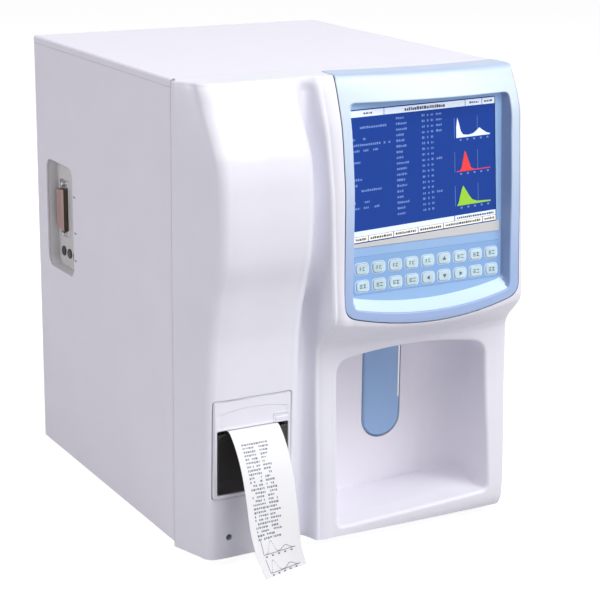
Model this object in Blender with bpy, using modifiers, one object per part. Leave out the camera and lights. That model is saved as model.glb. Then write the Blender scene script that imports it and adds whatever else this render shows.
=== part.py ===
"""Hematology analyzer: a bench-top blood counter, built as an assembly of separate pieces.

Metres, +Z up, +X to the right, +Y to the rear. Sizes are worked out in a frame whose Y is zero at the
seam between the front housing and the side covers; the parent empty moves it to the middle of the box.
"""
import math

import bmesh
import bpy
from mathutils import Matrix, Vector

MM = 0.001

# Driving sizes of the cabinet
BODY_WIDTH = 322 * MM
BODY_HEIGHT = 437 * MM
BODY_DEPTH = 322 * MM
COVER_FOOT = 13.5 * MM
FRONT_FOOT = 10 * MM
FRONT_PROUD = 1 * MM
FRONT_HALF = BODY_WIDTH / 2 + FRONT_PROUD
FRONT_HEIGHT = BODY_HEIGHT - FRONT_FOOT
COVER_WALL = 2 * MM
FRONT_WALL = 3 * MM
FIT_GAP = 0.3 * MM
OVERRUN = 20 * MM
EDGE_RADIUS = 2.5 * MM
FLANGE_WIDTH = 14 * MM
TOP_LIP = 7 * MM

# Sculpted front: a column at the left, a groove, and the screen module over the sample bay
COLUMN_REACH = 79.5 * MM
COLUMN_CORNER_INSET = 10.8 * MM
COLUMN_WIDTH = 85.2 * MM
GROOVE_WIDTH = 16 * MM
GROOVE_WALL = 9 * MM
COLUMN_CORNER_X = COLUMN_CORNER_INSET - FRONT_HALF
COLUMN_RIGHT_X = COLUMN_CORNER_X + COLUMN_WIDTH
GROOVE_X = COLUMN_RIGHT_X + GROOVE_WIDTH
MODULE_LEFT_X = GROOVE_X + GROOVE_WALL
MODULE_WIDTH = FRONT_HALF - MODULE_LEFT_X
MODULE_REACH = 76.6 * MM
MODULE_CROWN = 12 * MM
MODULE_CORNER = 7.5 * MM
MODULE_LEFT_CORNER = 4 * MM
CHIN_BOW = 10 * MM
BASE_SWEEP = 6.5 * MM
CORNER_DEPTH = 13 * MM
CORNER_WIDTH = 12 * MM
SEAM_LAND = 4 * MM

# Height share of the front against depth share of the reach named after each table
COLUMN_FACE_SHARES = (
    (0.0, 0.61), (0.21, 0.63), (0.31, 0.642), (0.385, 0.66), (0.47, 0.692), (0.51, 0.73), (0.58, 0.818),
    (0.65, 0.943), (0.695, 0.981), (0.75, 1.0), (0.80, 0.994), (0.855, 0.943), (0.895, 0.818),
    (0.95, 0.629), (0.985, 0.53), (1.0, 0.45))
GROOVE_SHARES = (
    (0.0, 0.415), (0.515, 0.415), (0.567, 0.528), (0.646, 0.642), (0.72, 0.654), (0.79, 0.591),
    (0.85, 0.503), (0.91, 0.44), (0.97, 0.43), (0.99, 0.46), (1.0, 0.43))
MODULE_FOLD_SHARES = (
    (0.0, 0.679), (0.16, 0.64), (0.315, 0.6), (0.421, 0.594), (0.436, 0.62), (0.45, 0.685), (0.464, 0.777),
    (0.478, 0.868), (0.49, 0.94), (0.501, 0.985), (0.515, 1.0), (0.574, 0.974), (0.677, 0.933),
    (0.759, 0.897), (0.838, 0.816), (0.897, 0.739), (0.944, 0.64), (0.984, 0.543), (0.994, 0.51),
    (1.0, 0.46))
CROWN_SHARES = ((0.0, 0.1), (0.42, 0.1), (0.5, 0.55), (0.6, 0.6), (0.8, 0.85), (0.95, 1.0), (1.0, 1.0))
BOW_SHARES = ((0.0, 0.0), (0.4, 0.0), (0.47, 0.8), (0.52, 1.0), (0.56, 0.7), (0.66, 0.0), (1.0, 0.0))
SWEEP_SHARES = ((0.0, 1.0), (0.2, 0.4), (0.42, -0.9), (0.5, 0.0), (1.0, 0.0))
ROW_SHARES = (
    0.0, 0.1, 0.24, 0.34, 0.405, 0.424, 0.438, 0.452, 0.466, 0.48, 0.491, 0.502, 0.517, 0.545, 0.58, 0.615,
    0.65, 0.69, 0.73, 0.765, 0.8, 0.835, 0.865, 0.895, 0.92, 0.945, 0.968, 0.984, 0.993, 0.998, 1.0)
GROOVE_BLEND_SHARES = ((0.28, 0.15), (0.5, 0.42), (0.72, 0.78))
MODULE_WALL_SHARES = ((0.39, 0.1), (0.72, 0.45), (0.93, 0.86))
MODULE_FACE_SHARES = (0.0, 0.08, 0.18, 0.3, 0.42, 0.54, 0.66, 0.78, 0.9, 1.0)
CORNER_STEP_SHARES = (0.0, 0.25, 0.5, 0.75, 1.0)

# Screen bezel, recess, display and keypad
BEZEL_PROUD = 0.8 * MM
BEZEL_WALL = 4 * MM
BEZEL_LEFT_SHARES = (0.0813, 0.0616)
BEZEL_RIGHT_SHARES = (0.9828, 0.9655)
BEZEL_END_SHARE = 0.5129
BEZEL_LEFT_TOP = MODULE_LEFT_X + BEZEL_LEFT_SHARES[0] * MODULE_WIDTH
BEZEL_LEFT_BOTTOM = MODULE_LEFT_X + BEZEL_LEFT_SHARES[1] * MODULE_WIDTH
BEZEL_RIGHT_TOP = MODULE_LEFT_X + BEZEL_RIGHT_SHARES[0] * MODULE_WIDTH
BEZEL_RIGHT_BOTTOM = MODULE_LEFT_X + BEZEL_RIGHT_SHARES[1] * MODULE_WIDTH
BEZEL_END_Z = FRONT_FOOT + BEZEL_END_SHARE * FRONT_HEIGHT
BEZEL_BOW = 13 * MM
BEZEL_CORNER = 12 * MM
BEZEL_REAR_Y = -26 * MM
RECESS_LEFT_SHARES = (0.1207, 0.0936)
RECESS_RIGHT_SHARES = (0.9335, 0.9163)
RECESS_HEIGHT_SHARES = (0.5253, 0.945)
RECESS_LEFT_TOP = MODULE_LEFT_X + RECESS_LEFT_SHARES[0] * MODULE_WIDTH
RECESS_LEFT_BOTTOM = MODULE_LEFT_X + RECESS_LEFT_SHARES[1] * MODULE_WIDTH
RECESS_RIGHT_TOP = MODULE_LEFT_X + RECESS_RIGHT_SHARES[0] * MODULE_WIDTH
RECESS_RIGHT_BOTTOM = MODULE_LEFT_X + RECESS_RIGHT_SHARES[1] * MODULE_WIDTH
RECESS_TOP_Z = FRONT_FOOT + RECESS_HEIGHT_SHARES[1] * FRONT_HEIGHT
RECESS_END_Z = FRONT_FOOT + RECESS_HEIGHT_SHARES[0] * FRONT_HEIGHT
RECESS_HEIGHT = RECESS_TOP_Z - RECESS_END_Z
RECESS_BOW = 9 * MM
RECESS_CORNER = 5 * MM
RECESS_SIDE_DRAFT = 3 * MM
RECESS_LOWER_DRAFT = 6.3 * MM
SCREEN_TOP_Y = -53 * MM
SCREEN_TILT = math.radians(5.0)
SCREEN_FLOOR = 3 * MM
SCREEN_CENTRE_SHARE = 0.5074
SCREEN_HEIGHT_SHARE = 0.6473
SCREEN_RISE_SHARE = 0.6401
SCREEN_MARGIN = 6.5 * MM
SCREEN_CENTRE_X = MODULE_LEFT_X + SCREEN_CENTRE_SHARE * MODULE_WIDTH
SCREEN_WIDTH = RECESS_RIGHT_TOP - RECESS_LEFT_TOP - 2 * SCREEN_MARGIN
SCREEN_HEIGHT = SCREEN_HEIGHT_SHARE * RECESS_HEIGHT
SCREEN_CENTRE_Z = RECESS_END_Z + SCREEN_RISE_SHARE * RECESS_HEIGHT
SCREEN_THICK = 7 * MM
SCREEN_RIM = 3 * MM
SCREEN_SET = 0.6 * MM
KEYPAD_MARGIN = 5.5 * MM
KEYPAD_HEIGHT_SHARE = 0.187
KEYPAD_RISE_SHARE = 0.1504
KEYPAD_WIDTH = RECESS_RIGHT_BOTTOM - RECESS_LEFT_BOTTOM - 2 * KEYPAD_MARGIN
KEYPAD_HEIGHT = KEYPAD_HEIGHT_SHARE * RECESS_HEIGHT
KEYPAD_CENTRE_Z = RECESS_END_Z + KEYPAD_RISE_SHARE * RECESS_HEIGHT
KEYPAD_RIM = 1.8 * MM
KEYPAD_THICK = 2 * MM
KEY_COLUMNS = 9
KEY_ROWS = 2
KEY_GAP = 0.5 * MM
KEY_ROW_SHARE = 0.4655
KEY_WIDTH_SHARE = 0.725
KEY_HEIGHT_SHARE = 0.609
KEY_DROP = 1.5 * MM
KEY_PITCH_X = (KEYPAD_WIDTH - KEY_GAP) / KEY_COLUMNS
KEY_PITCH_Z = KEY_ROW_SHARE * KEYPAD_HEIGHT
KEY_CENTRE_Z = KEYPAD_CENTRE_Z - KEY_DROP
KEY_WIDTH = KEY_WIDTH_SHARE * KEY_PITCH_X
KEY_HEIGHT = KEY_HEIGHT_SHARE * KEY_PITCH_Z
KEY_CORNER = 3 * MM
KEY_PROUD = 1.3 * MM
KEY_TRAVEL = 0.8 * MM

# Sample bay
BAY_SIDE_SHARES = (0.1108, 0.8966)
BAY_SHOULDER_SHARE = 0.3911
BAY_ARCH_RISE = 8 * MM
BAY_LEFT = MODULE_LEFT_X + BAY_SIDE_SHARES[0] * MODULE_WIDTH
BAY_RIGHT = MODULE_LEFT_X + BAY_SIDE_SHARES[1] * MODULE_WIDTH
BAY_FLOOR_Z = 19 * MM
BAY_SHOULDER_Z = FRONT_FOOT + BAY_SHOULDER_SHARE * FRONT_HEIGHT
BAY_CROWN_Z = BAY_SHOULDER_Z + BAY_ARCH_RISE
BAY_CORNER = 13 * MM
BAY_BOTTOM_CORNER = 7 * MM
BAY_REAR_Y = 22 * MM
BAY_REAR_CORNER = 25 * MM
BAY_WALL = 2.5 * MM
BAY_FLOOR_RISE = 4 * MM

# Aspirate key and its switch
PADDLE_CENTRE_SHARE = 0.5433
PADDLE_HEADROOM = 6 * MM
PADDLE_FLOOR_GAP = 51 * MM
PIVOT_DROP = 7 * MM
SWITCH_RISE = 30 * MM
PADDLE_CENTRE_X = MODULE_LEFT_X + PADDLE_CENTRE_SHARE * MODULE_WIDTH
PADDLE_WIDTH = 41.4 * MM
PADDLE_BOTTOM_Z = BAY_FLOOR_Z + PADDLE_FLOOR_GAP
PADDLE_TOP_Z = BAY_SHOULDER_Z - PADDLE_HEADROOM
PADDLE_THICK = 4 * MM
PADDLE_PROUD = 1.2 * MM
PADDLE_GAP = 0.9 * MM
PIVOT_Z = PADDLE_TOP_Z - PIVOT_DROP
PIVOT_OFFSET = 5.5 * MM
PIVOT_RADIUS = 1.5 * MM
PIVOT_CLEARANCE = 0.3 * MM
PIVOT_BOSS = 7 * MM
BRACKET_WALL = 2.5 * MM
BRACKET_HEIGHT = 16 * MM
SWITCH_Z = PADDLE_BOTTOM_Z + SWITCH_RISE
SWITCH_SIZE = 14 * MM
SWITCH_GAP = 3.4 * MM

# Sample probe and its lift
PROBE_OFFSET = 1.9 * MM
PROBE_DROP = 66 * MM
LIFT_FLOOR_GAP = 5 * MM
LIFT_HEADROOM = 45 * MM
LIFT_MARGIN = 9.5 * MM
ROD_OFFSET = 16.2 * MM
SCREW_OFFSET = 18.8 * MM
CARRIAGE_RISE = 38 * MM
PROBE_X = PADDLE_CENTRE_X + PROBE_OFFSET
PROBE_Y = -8 * MM
PROBE_TIP_Z = BAY_CROWN_Z - PROBE_DROP
PROBE_RADIUS = 0.9 * MM
LIFT_FLOOR_Z = BAY_CROWN_Z + LIFT_FLOOR_GAP
LIFT_TOP_Z = BODY_HEIGHT - LIFT_HEADROOM
LIFT_PLATE = 3 * MM
LIFT_FRONT_Y = -32 * MM
ROD_RADIUS = 3 * MM
ROD_X = PROBE_X - ROD_OFFSET
SCREW_X = PROBE_X + SCREW_OFFSET
LIFT_LEFT = ROD_X - LIFT_MARGIN
LIFT_RIGHT = SCREW_X + LIFT_MARGIN
LIFT_AXIS_Y = 5 * MM
SLIDE_CLEARANCE = 0.5 * MM
CARRIAGE_Z = LIFT_FLOOR_Z + CARRIAGE_RISE
CARRIAGE_HEIGHT = 18 * MM
CARRIAGE_MARGIN = 7 * MM
MOTOR_SIZE = 30 * MM
MOTOR_HEIGHT = 24 * MM
WIPER_SIZE = 18 * MM
WIPER_DROP = 14 * MM

# Recorder
RECORDER_INSET = 5.2 * MM
RECORDER_WIDTH = 78 * MM
WINDOW_MARGIN = 3.65 * MM
PAPER_OFFSET = 0.5 * MM
RECORDER_LEFT = COLUMN_CORNER_X + RECORDER_INSET
RECORDER_RIGHT = RECORDER_LEFT + RECORDER_WIDTH
RECORDER_BOTTOM_Z = 67.5 * MM
RECORDER_TOP_Z = 160 * MM
RECORDER_DEPTH = 62 * MM
RECORDER_FACE_Y = -51.4 * MM
RECORDER_WALL = 3 * MM
WINDOW_LEFT = RECORDER_LEFT + WINDOW_MARGIN
WINDOW_RIGHT = RECORDER_RIGHT - WINDOW_MARGIN
WINDOW_BOTTOM_Z = 72 * MM
WINDOW_TOP_Z = 132 * MM
DOOR_THICK = 2.4 * MM
DOOR_TOP_Z = 128.5 * MM
DOOR_GAP = 0.5 * MM
DOOR_HINGE_RISE = 3.2 * MM
HINGE_PIN_RADIUS = 1 * MM
HINGE_PIN_REACH = 1.8 * MM
PAPER_WIDTH = 49.5 * MM
PAPER_CENTRE_X = (RECORDER_LEFT + RECORDER_RIGHT) / 2 - PAPER_OFFSET
PAPER_THICK = 0.3 * MM
PAPER_EXIT_Z = 131.2 * MM
ROLL_RADIUS = 19 * MM
ROLL_BORE = 6.5 * MM
ROLL_Y = -17 * MM
ROLL_Z = WINDOW_BOTTOM_Z + FIT_GAP + ROLL_RADIUS
PLATEN_RADIUS = 5.5 * MM
PLATEN_Y = -41 * MM
PLATEN_SHAFT = 2 * MM
GEAR_WIDTH = 3 * MM
GEAR_TEETH = 16
GEAR_TOOTH = 1.4 * MM
HEAD_HEIGHT = 12 * MM
HEAD_DEPTH = 14 * MM
LATCH_WIDTH = 13 * MM
LATCH_HEIGHT = 5 * MM
LATCH_PROUD = 0.6 * MM
LATCH_TRAVEL = 2.5 * MM
PAPER_END_Y = -110 * MM
PAPER_END_Z = 19 * MM
PAPER_DRIFT = 15 * MM
PAPER_DROP_SHARES = (
    (0.0, 0.0), (0.12, 0.001), (0.19, 0.012), (0.27, 0.11), (0.36, 0.24), (0.54, 0.42), (0.68, 0.63),
    (0.8, 0.83), (1.0, 1.0))
PAPER_STEPS = 14

# Status lamp
LAMP_INSET = 21.5 * MM
LAMP_X = COLUMN_CORNER_X + LAMP_INSET
LAMP_Z = 29.8 * MM
LAMP_RADIUS = 2.5 * MM
LAMP_LENGTH = 9 * MM

# Connector window in the left cover
PORT_WIDTH = 68 * MM
PORT_MARGIN = 25 * MM
PORT_REAR_Y = BODY_DEPTH - PORT_MARGIN
PORT_FRONT_Y = PORT_REAR_Y - PORT_WIDTH
PORT_BOTTOM_Z = 207 * MM
PORT_TOP_Z = 317 * MM
PORT_CORNER = 10 * MM
PORT_DEPTH = 26 * MM
PORT_WALL = 2 * MM
DSUB_HEIGHT = 53 * MM
DSUB_WIDTH = 12.5 * MM
DSUB_FLANGE = 1.2 * MM
DSUB_SHELL = 6 * MM
DSUB_SHELL_HEIGHT = 39 * MM
DSUB_SHELL_WIDTH = 8.5 * MM
DSUB_INSET = 29 * MM
DSUB_Y = PORT_REAR_Y - DSUB_INSET
DSUB_Z = 276 * MM
POST_RADIUS = 2.6 * MM
POST_LENGTH = 4.8 * MM
SERIAL_INSET = 51 * MM
SERIAL_Y = PORT_REAR_Y - SERIAL_INSET
ROUND_PORT_RADIUS = 6 * MM
ROUND_PORT_Z = 226 * MM
ROUND_PORT_DEPTH = 3 * MM
ROUND_PORT_PITCH = 18 * MM

# Rear panel and what it carries
REAR_WALL = 1.5 * MM
FAN_INSET = 66 * MM
FAN_DROP = 107 * MM
FAN_X = BODY_WIDTH / 2 - FAN_INSET
FAN_Z = BODY_HEIGHT - FAN_DROP
FAN_SIZE = 60 * MM
FAN_DEPTH = 15 * MM
FAN_BORE = 28 * MM
FAN_HUB = 11 * MM
FAN_BLADES = 7
FAN_SLOTS = 7
FAN_SLOT_WIDTH = 4 * MM
FAN_BLADE_THICK = 1 * MM
FAN_BLADE_LENGTH = 10.2 * MM
FAN_BLADE_PITCH = math.radians(40.0)
INLET_X = FAN_X
INLET_Z = 70 * MM
INLET_WIDTH = 28 * MM
INLET_HEIGHT = 24 * MM
INLET_FLANGE_WIDTH = 50 * MM
INLET_FLANGE_HEIGHT = 31 * MM
INLET_DEPTH = 24 * MM
INLET_FLANGE = 2.5 * MM
INLET_WALL = 1.6 * MM
INLET_PIN_PITCH = 7 * MM
INLET_PIN_THICK = 2 * MM
INLET_PIN_HEIGHT = 4 * MM
INLET_PIN_RISE = 3 * MM
ROCKER_PITCH = 37 * MM
ROCKER_X = INLET_X - ROCKER_PITCH
ROCKER_WIDTH = 13 * MM
ROCKER_HEIGHT = 19.5 * MM
ROCKER_FRAME = 2.5 * MM
ROCKER_DEPTH = 14 * MM
ROCKER_SWING = 6 * MM
ROCKER_TILT = math.radians(8.0)
FITTING_INSET = 21 * MM
FITTING_X = FITTING_INSET - BODY_WIDTH / 2
FITTING_Z = 68 * MM
FITTING_PITCH = 22 * MM
FITTING_COUNT = 4
FITTING_RADIUS = 5 * MM
FITTING_BARB = 3 * MM
FITTING_REACH = 10 * MM
FITTING_BORE = 1.5 * MM

# Base and feet
BASE_THICK = 2 * MM
BASE_Z = 14 * MM
BASE_FRONT_Y = -27 * MM
FOOT_RADIUS = 12 * MM
FOOT_INSET_X = 48 * MM
FOOT_INSET_Y = 45 * MM

# Fluidics, electronics and the plate that carries them
PLATE_SHARE = 0.4658
PLATE_HEADROOM = 25 * MM
PLATE_Y = PLATE_SHARE * BODY_DEPTH
PLATE_WALL = 2 * MM
PLATE_TOP_Z = BODY_HEIGHT - PLATE_HEADROOM
SYRINGE_INSET = 56 * MM
SYRINGE_DROP = 150 * MM
SYRINGE_X = SYRINGE_INSET - BODY_WIDTH / 2
SYRINGE_Z = PLATE_TOP_Z - SYRINGE_DROP
SYRINGE_BLOCK_WIDTH = 70 * MM
SYRINGE_BLOCK_HEIGHT = 24 * MM
SYRINGE_BLOCK_DEPTH = 34 * MM
SYRINGE_PITCH = 32 * MM
SYRINGE_RADIUS = 9 * MM
SYRINGE_WALL = 1.6 * MM
SYRINGE_LENGTH = 70 * MM
PLUNGER_LENGTH = 78 * MM
PLUNGER_TRAVEL = 30 * MM
PLUNGER_ROD = 3 * MM
PLUNGER_HEAD = 6 * MM
BATH_OFFSET = 90 * MM
BATH_DROP = 157 * MM
BATH_X = SYRINGE_X + BATH_OFFSET
BATH_Z = PLATE_TOP_Z - BATH_DROP
BATH_PITCH = 30 * MM
BATH_RADIUS = 11 * MM
BATH_WALL = 2 * MM
BATH_HEIGHT = 45 * MM
BATH_FLOOR = 3 * MM
BATH_BRACKET = 3 * MM
BOARD_WIDTH = 240 * MM
BOARD_HEIGHT = 180 * MM
BOARD_THICK = 1.6 * MM
BOARD_DROP = 122 * MM
BOARD_Z = PLATE_TOP_Z - BOARD_DROP
BOARD_STANDOFF = 6 * MM
CHIP_SIZE = 28 * MM
CHIP_HEIGHT = 4 * MM
SUPPLY_WIDTH = 150 * MM
SUPPLY_DEPTH = 95 * MM
SUPPLY_HEIGHT = 50 * MM
SUPPLY_X = 30 * MM
SUPPLY_GAP = 17.5 * MM
SUPPLY_Y = PLATE_Y + SUPPLY_DEPTH / 2 + SUPPLY_GAP

# The front end of the printed strip and the rear fittings set the box's length
REAR_REACH = BODY_DEPTH + FITTING_REACH
CENTRE_Y = (PAPER_END_Y + REAR_REACH) / 2

SEGMENTS = 24
SMALL_SEGMENTS = 12

MATERIALS = {
    "housing_white": ((0.86, 0.86, 0.90), 0.42, 0.0),
    "cover_paint": ((0.82, 0.82, 0.87), 0.5, 0.0),
    "bezel_blue": ((0.36, 0.53, 0.80), 0.35, 0.0),
    "key_rubber": ((0.70, 0.80, 0.90), 0.55, 0.0),
    "display_glass": ((0.05, 0.12, 0.45), 0.15, 0.0),
    "paddle_blue": ((0.22, 0.40, 0.66), 0.4, 0.0),
    "smoked_plastic": ((0.05, 0.04, 0.04), 0.15, 0.0),
    "paper": ((0.95, 0.95, 0.93), 0.8, 0.0),
    "steel": ((0.62, 0.63, 0.65), 0.3, 1.0),
    "aluminium": ((0.75, 0.76, 0.78), 0.4, 1.0),
    "rubber": ((0.03, 0.03, 0.03), 0.8, 0.0),
    "black_plastic": ((0.04, 0.04, 0.045), 0.5, 0.0),
    "port_beige": ((0.55, 0.45, 0.35), 0.45, 0.0),
    "circuit_green": ((0.04, 0.22, 0.10), 0.5, 0.0),
    "clear_acrylic": ((0.75, 0.82, 0.85), 0.1, 0.0),
    "grey_plastic": ((0.45, 0.46, 0.48), 0.5, 0.0),
    "lamp_dark": ((0.03, 0.04, 0.03), 0.2, 0.0),
}


def clear_scene():
    """Remove what the file holds."""
    for obj in list(bpy.data.objects):
        bpy.data.objects.remove(obj, do_unlink=True)


def new_collection(name):
    """Make a collection under the scene's own."""
    collection = bpy.data.collections.new(name)
    bpy.context.scene.collection.children.link(collection)
    return collection


clear_scene()
PARTS = new_collection("hematology_analyzer")
CUTTERS = new_collection("cutters")


def new_material(name):
    """Make one Principled material from the table above."""
    colour, roughness, metallic = MATERIALS[name]
    material = bpy.data.materials.new(name)
    material.use_nodes = True
    shader = material.node_tree.nodes["Principled BSDF"]
    shader.inputs["Base Color"].default_value = (*colour, 1.0)
    shader.inputs["Roughness"].default_value = roughness
    shader.inputs["Metallic"].default_value = metallic
    return material


MATERIAL = {name: new_material(name) for name in MATERIALS}

ROOT = bpy.data.objects.new("cabinet_frame", None)
ROOT.location = (0.0, -CENTRE_Y, 0.0)
PARTS.objects.link(ROOT)


def add_part(name, mesh, material, smooth=None, pivot=(0.0, 0.0, 0.0)):
    """Put a mesh in the scene as a named piece whose origin is its pivot."""
    mesh.transform(Matrix.Translation(-Vector(pivot)))
    mesh.materials.clear()
    mesh.materials.append(MATERIAL[material])
    if smooth:
        mesh.shade_smooth()
        mesh.set_sharp_from_angle(angle=math.radians(smooth))
    obj = bpy.data.objects.new(name, mesh)
    obj.location = pivot
    obj.parent = ROOT
    PARTS.objects.link(obj)
    return obj


def add_cutter(mesh):
    """Put a mesh in the scene as a hidden Boolean operand."""
    obj = bpy.data.objects.new("cutter", mesh)
    obj.parent = ROOT
    obj.hide_render = True
    obj.display_type = "WIRE"
    CUTTERS.objects.link(obj)
    return obj


def boolean(obj, mesh, operation):
    """Cut, join or intersect a piece with a mesh given in the cabinet's frame."""
    modifier = obj.modifiers.new(operation.lower(), "BOOLEAN")
    modifier.operation = operation
    modifier.solver = "EXACT"
    modifier.object = add_cutter(mesh)


def cut(obj, *meshes):
    """Take meshes out of a piece."""
    for mesh in meshes:
        boolean(obj, mesh, "DIFFERENCE")


def join(obj, *meshes):
    """Add meshes to a piece."""
    for mesh in meshes:
        boolean(obj, mesh, "UNION")


def mesh_from(bm, name="mesh"):
    """Turn a bmesh into a mesh with outward faces."""
    bmesh.ops.recalc_face_normals(bm, faces=bm.faces)
    mesh = bpy.data.meshes.new(name)
    bm.to_mesh(mesh)
    bm.free()
    return mesh


def box(low, high, bevel=0.0, segments=2):
    """A box between two corners, with rounded edges where asked."""
    bm = bmesh.new()
    bmesh.ops.create_cube(bm, size=1.0)
    size = [b - a for a, b in zip(low, high)]
    middle = [(a + b) / 2 for a, b in zip(low, high)]
    bmesh.ops.scale(bm, vec=size, verts=bm.verts)
    bmesh.ops.translate(bm, vec=middle, verts=bm.verts)
    if bevel:
        bmesh.ops.bevel(bm, geom=bm.edges[:], offset=bevel, segments=segments, affect="EDGES", profile=0.5)
    return mesh_from(bm)


AXIS_TURN = {
    "X": Matrix.Rotation(math.pi / 2, 4, "Y"),
    "Y": Matrix.Rotation(-math.pi / 2, 4, "X"),
    "Z": Matrix.Identity(4),
}


def cylinder(radius, start, end, centre, axis="Z", segments=SEGMENTS, radius_end=None):
    """A cylinder or cone along an axis, from start to end on it."""
    bm = bmesh.new()
    tip = radius if radius_end is None else radius_end
    bmesh.ops.create_cone(
        bm, cap_ends=True, segments=segments, radius1=radius, radius2=tip, depth=end - start)
    bmesh.ops.translate(bm, vec=(0.0, 0.0, (start + end) / 2), verts=bm.verts)
    bmesh.ops.transform(bm, matrix=AXIS_TURN[axis], verts=bm.verts)
    bmesh.ops.translate(bm, vec=on_axis(axis, 0.0, centre), verts=bm.verts)
    return mesh_from(bm)


def on_axis(axis, along, centre):
    """The point at a distance along an axis through a centre given in the other two directions."""
    if axis == "X":
        return (along, centre[0], centre[1])
    if axis == "Y":
        return (centre[0], along, centre[1])
    return (centre[0], centre[1], along)


def turned(profile, axis, centre, segments=SEGMENTS):
    """A turned solid: radius and place pairs, from the top down, swept by a Screw modifier."""
    mesh = bpy.data.meshes.new("profile")
    points = [(radius, 0.0, place) for radius, place in profile]
    mesh.from_pydata(points, [(i, i + 1) for i in range(len(points) - 1)], [])
    obj = bpy.data.objects.new("profile", mesh)
    CUTTERS.objects.link(obj)
    screw = obj.modifiers.new("turn", "SCREW")
    screw.steps = segments
    screw.render_steps = segments
    screw.use_merge_vertices = True
    screw.merge_threshold = 0.01 * MM
    result = baked(obj)
    result.transform(AXIS_TURN[axis])
    result.transform(Matrix.Translation(on_axis(axis, 0.0, centre)))
    return result


def baked(obj):
    """The evaluated mesh of a helper object, which is then removed."""
    bpy.context.view_layer.update()
    mesh = bpy.data.meshes.new_from_object(obj.evaluated_get(bpy.context.evaluated_depsgraph_get()))
    mesh.transform(obj.matrix_world)
    bpy.data.objects.remove(obj, do_unlink=True)
    bm = bmesh.new()
    bm.from_mesh(mesh)
    bmesh.ops.remove_doubles(bm, verts=bm.verts, dist=0.01 * MM)
    bpy.data.meshes.remove(mesh)
    return mesh_from(bm)


PLANE_TURN = {
    "XY": Matrix.Identity(4),
    "XZ": Matrix(((1, 0, 0, 0), (0, 0, 1, 0), (0, 1, 0, 0), (0, 0, 0, 1))),
    "YZ": Matrix(((0, 0, 1, 0), (1, 0, 0, 0), (0, 1, 0, 0), (0, 0, 0, 1))),
}


def prism(outlines, start, end, plane):
    """A flat outline, with any holes after it, given thickness from start to end across its plane."""
    curve = bpy.data.curves.new("outline", "CURVE")
    curve.dimensions = "2D"
    curve.fill_mode = "BOTH"
    curve.extrude = abs(end - start) / 2
    for outline in outlines:
        spline = curve.splines.new("POLY")
        spline.points.add(len(outline) - 1)
        for point, (u, v) in zip(spline.points, outline):
            point.co = (u, v, 0.0, 1.0)
        spline.use_cyclic_u = True
    obj = bpy.data.objects.new("outline", curve)
    CUTTERS.objects.link(obj)
    mesh = baked(obj)
    mesh.transform(Matrix.Translation((0.0, 0.0, (start + end) / 2)))
    mesh.transform(PLANE_TURN[plane])
    bm = bmesh.new()
    bm.from_mesh(mesh)
    return mesh_from(bm)


def arc(centre, radius, start, end, steps):
    """Points on a circle between two angles in degrees."""
    turns = [math.radians(start + (end - start) * i / steps) for i in range(steps + 1)]
    return [(centre[0] + radius * math.cos(a), centre[1] + radius * math.sin(a)) for a in turns]


def rounded_rectangle(left, right, bottom, top, radius, steps=4):
    """The outline of a rectangle with round corners."""
    return (
        arc((right - radius, bottom + radius), radius, -90, 0, steps)
        + arc((right - radius, top - radius), radius, 0, 90, steps)
        + arc((left + radius, top - radius), radius, 90, 180, steps)
        + arc((left + radius, bottom + radius), radius, 180, 270, steps))


def round_corners(points, radii, steps=4):
    """The outline of a polygon whose corners are rounded with quadratic curves."""
    outline = []
    count = len(points)
    for i, (corner, radius) in enumerate(zip(points, radii)):
        corner = Vector(corner)
        before = Vector(points[i - 1]) - corner
        after = Vector(points[(i + 1) % count]) - corner
        if not radius:
            outline.append(tuple(corner))
            continue
        first = corner + before.normalized() * radius
        last = corner + after.normalized() * radius
        for k in range(steps + 1):
            t = k / steps
            outline.append(tuple(first * (1 - t) ** 2 + corner * 2 * t * (1 - t) + last * t ** 2))
    return outline


def follow(shares, t):
    """Read a table of share pairs with a smooth curve that doesn't overshoot."""
    xs = [x for x, _ in shares]
    ys = [y for _, y in shares]
    slopes = [(ys[i + 1] - ys[i]) / (xs[i + 1] - xs[i]) for i in range(len(xs) - 1)]
    t = min(max(t, xs[0]), xs[-1])
    i = max(k for k in range(len(xs) - 1) if xs[k] <= t)

    def tangent(k):
        if k == 0:
            return slopes[0]
        if k == len(xs) - 1:
            return slopes[-1]
        if slopes[k - 1] * slopes[k] <= 0:
            return 0.0
        return 2 * slopes[k - 1] * slopes[k] / (slopes[k - 1] + slopes[k])

    h = xs[i + 1] - xs[i]
    s = (t - xs[i]) / h
    return (
        ys[i] * (1 + 2 * s) * (1 - s) ** 2 + tangent(i) * h * s * (1 - s) ** 2
        + ys[i + 1] * s * s * (3 - 2 * s) + tangent(i + 1) * h * s * s * (s - 1))


# The sculpted front surface

def module_share(x):
    """Minus one at the module's left fold, one at its right side."""
    middle = (MODULE_LEFT_X + FRONT_HALF) / 2
    half = (FRONT_HALF - MODULE_LEFT_X) / 2
    return (x - middle) / half


def module_depth(x, t):
    """How far the module, or the base under it, stands in front of the seam."""
    s = module_share(x)
    depth = MODULE_REACH * follow(MODULE_FOLD_SHARES, t)
    depth += MODULE_CROWN * follow(CROWN_SHARES, t) * (1 - s * s)
    return depth - BASE_SWEEP * follow(SWEEP_SHARES, t) * (1 + s) / 2


def bow_drop(x, t):
    """How far the chin sags at x below its height at the module's sides."""
    s = min(max(module_share(x), -1.0), 1.0)
    return CHIN_BOW * follow(BOW_SHARES, t) * (1 - s * s)


def height_of(t):
    """Height above the table of a share of the front's height."""
    return FRONT_FOOT + FRONT_HEIGHT * t


def top_inset(t):
    """How far the sides draw in at the rounded top edge."""
    below = min(FRONT_HEIGHT * (1 - t), EDGE_RADIUS)
    return EDGE_RADIUS - math.sqrt(max(EDGE_RADIUS ** 2 - (EDGE_RADIUS - below) ** 2, 0.0))


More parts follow.
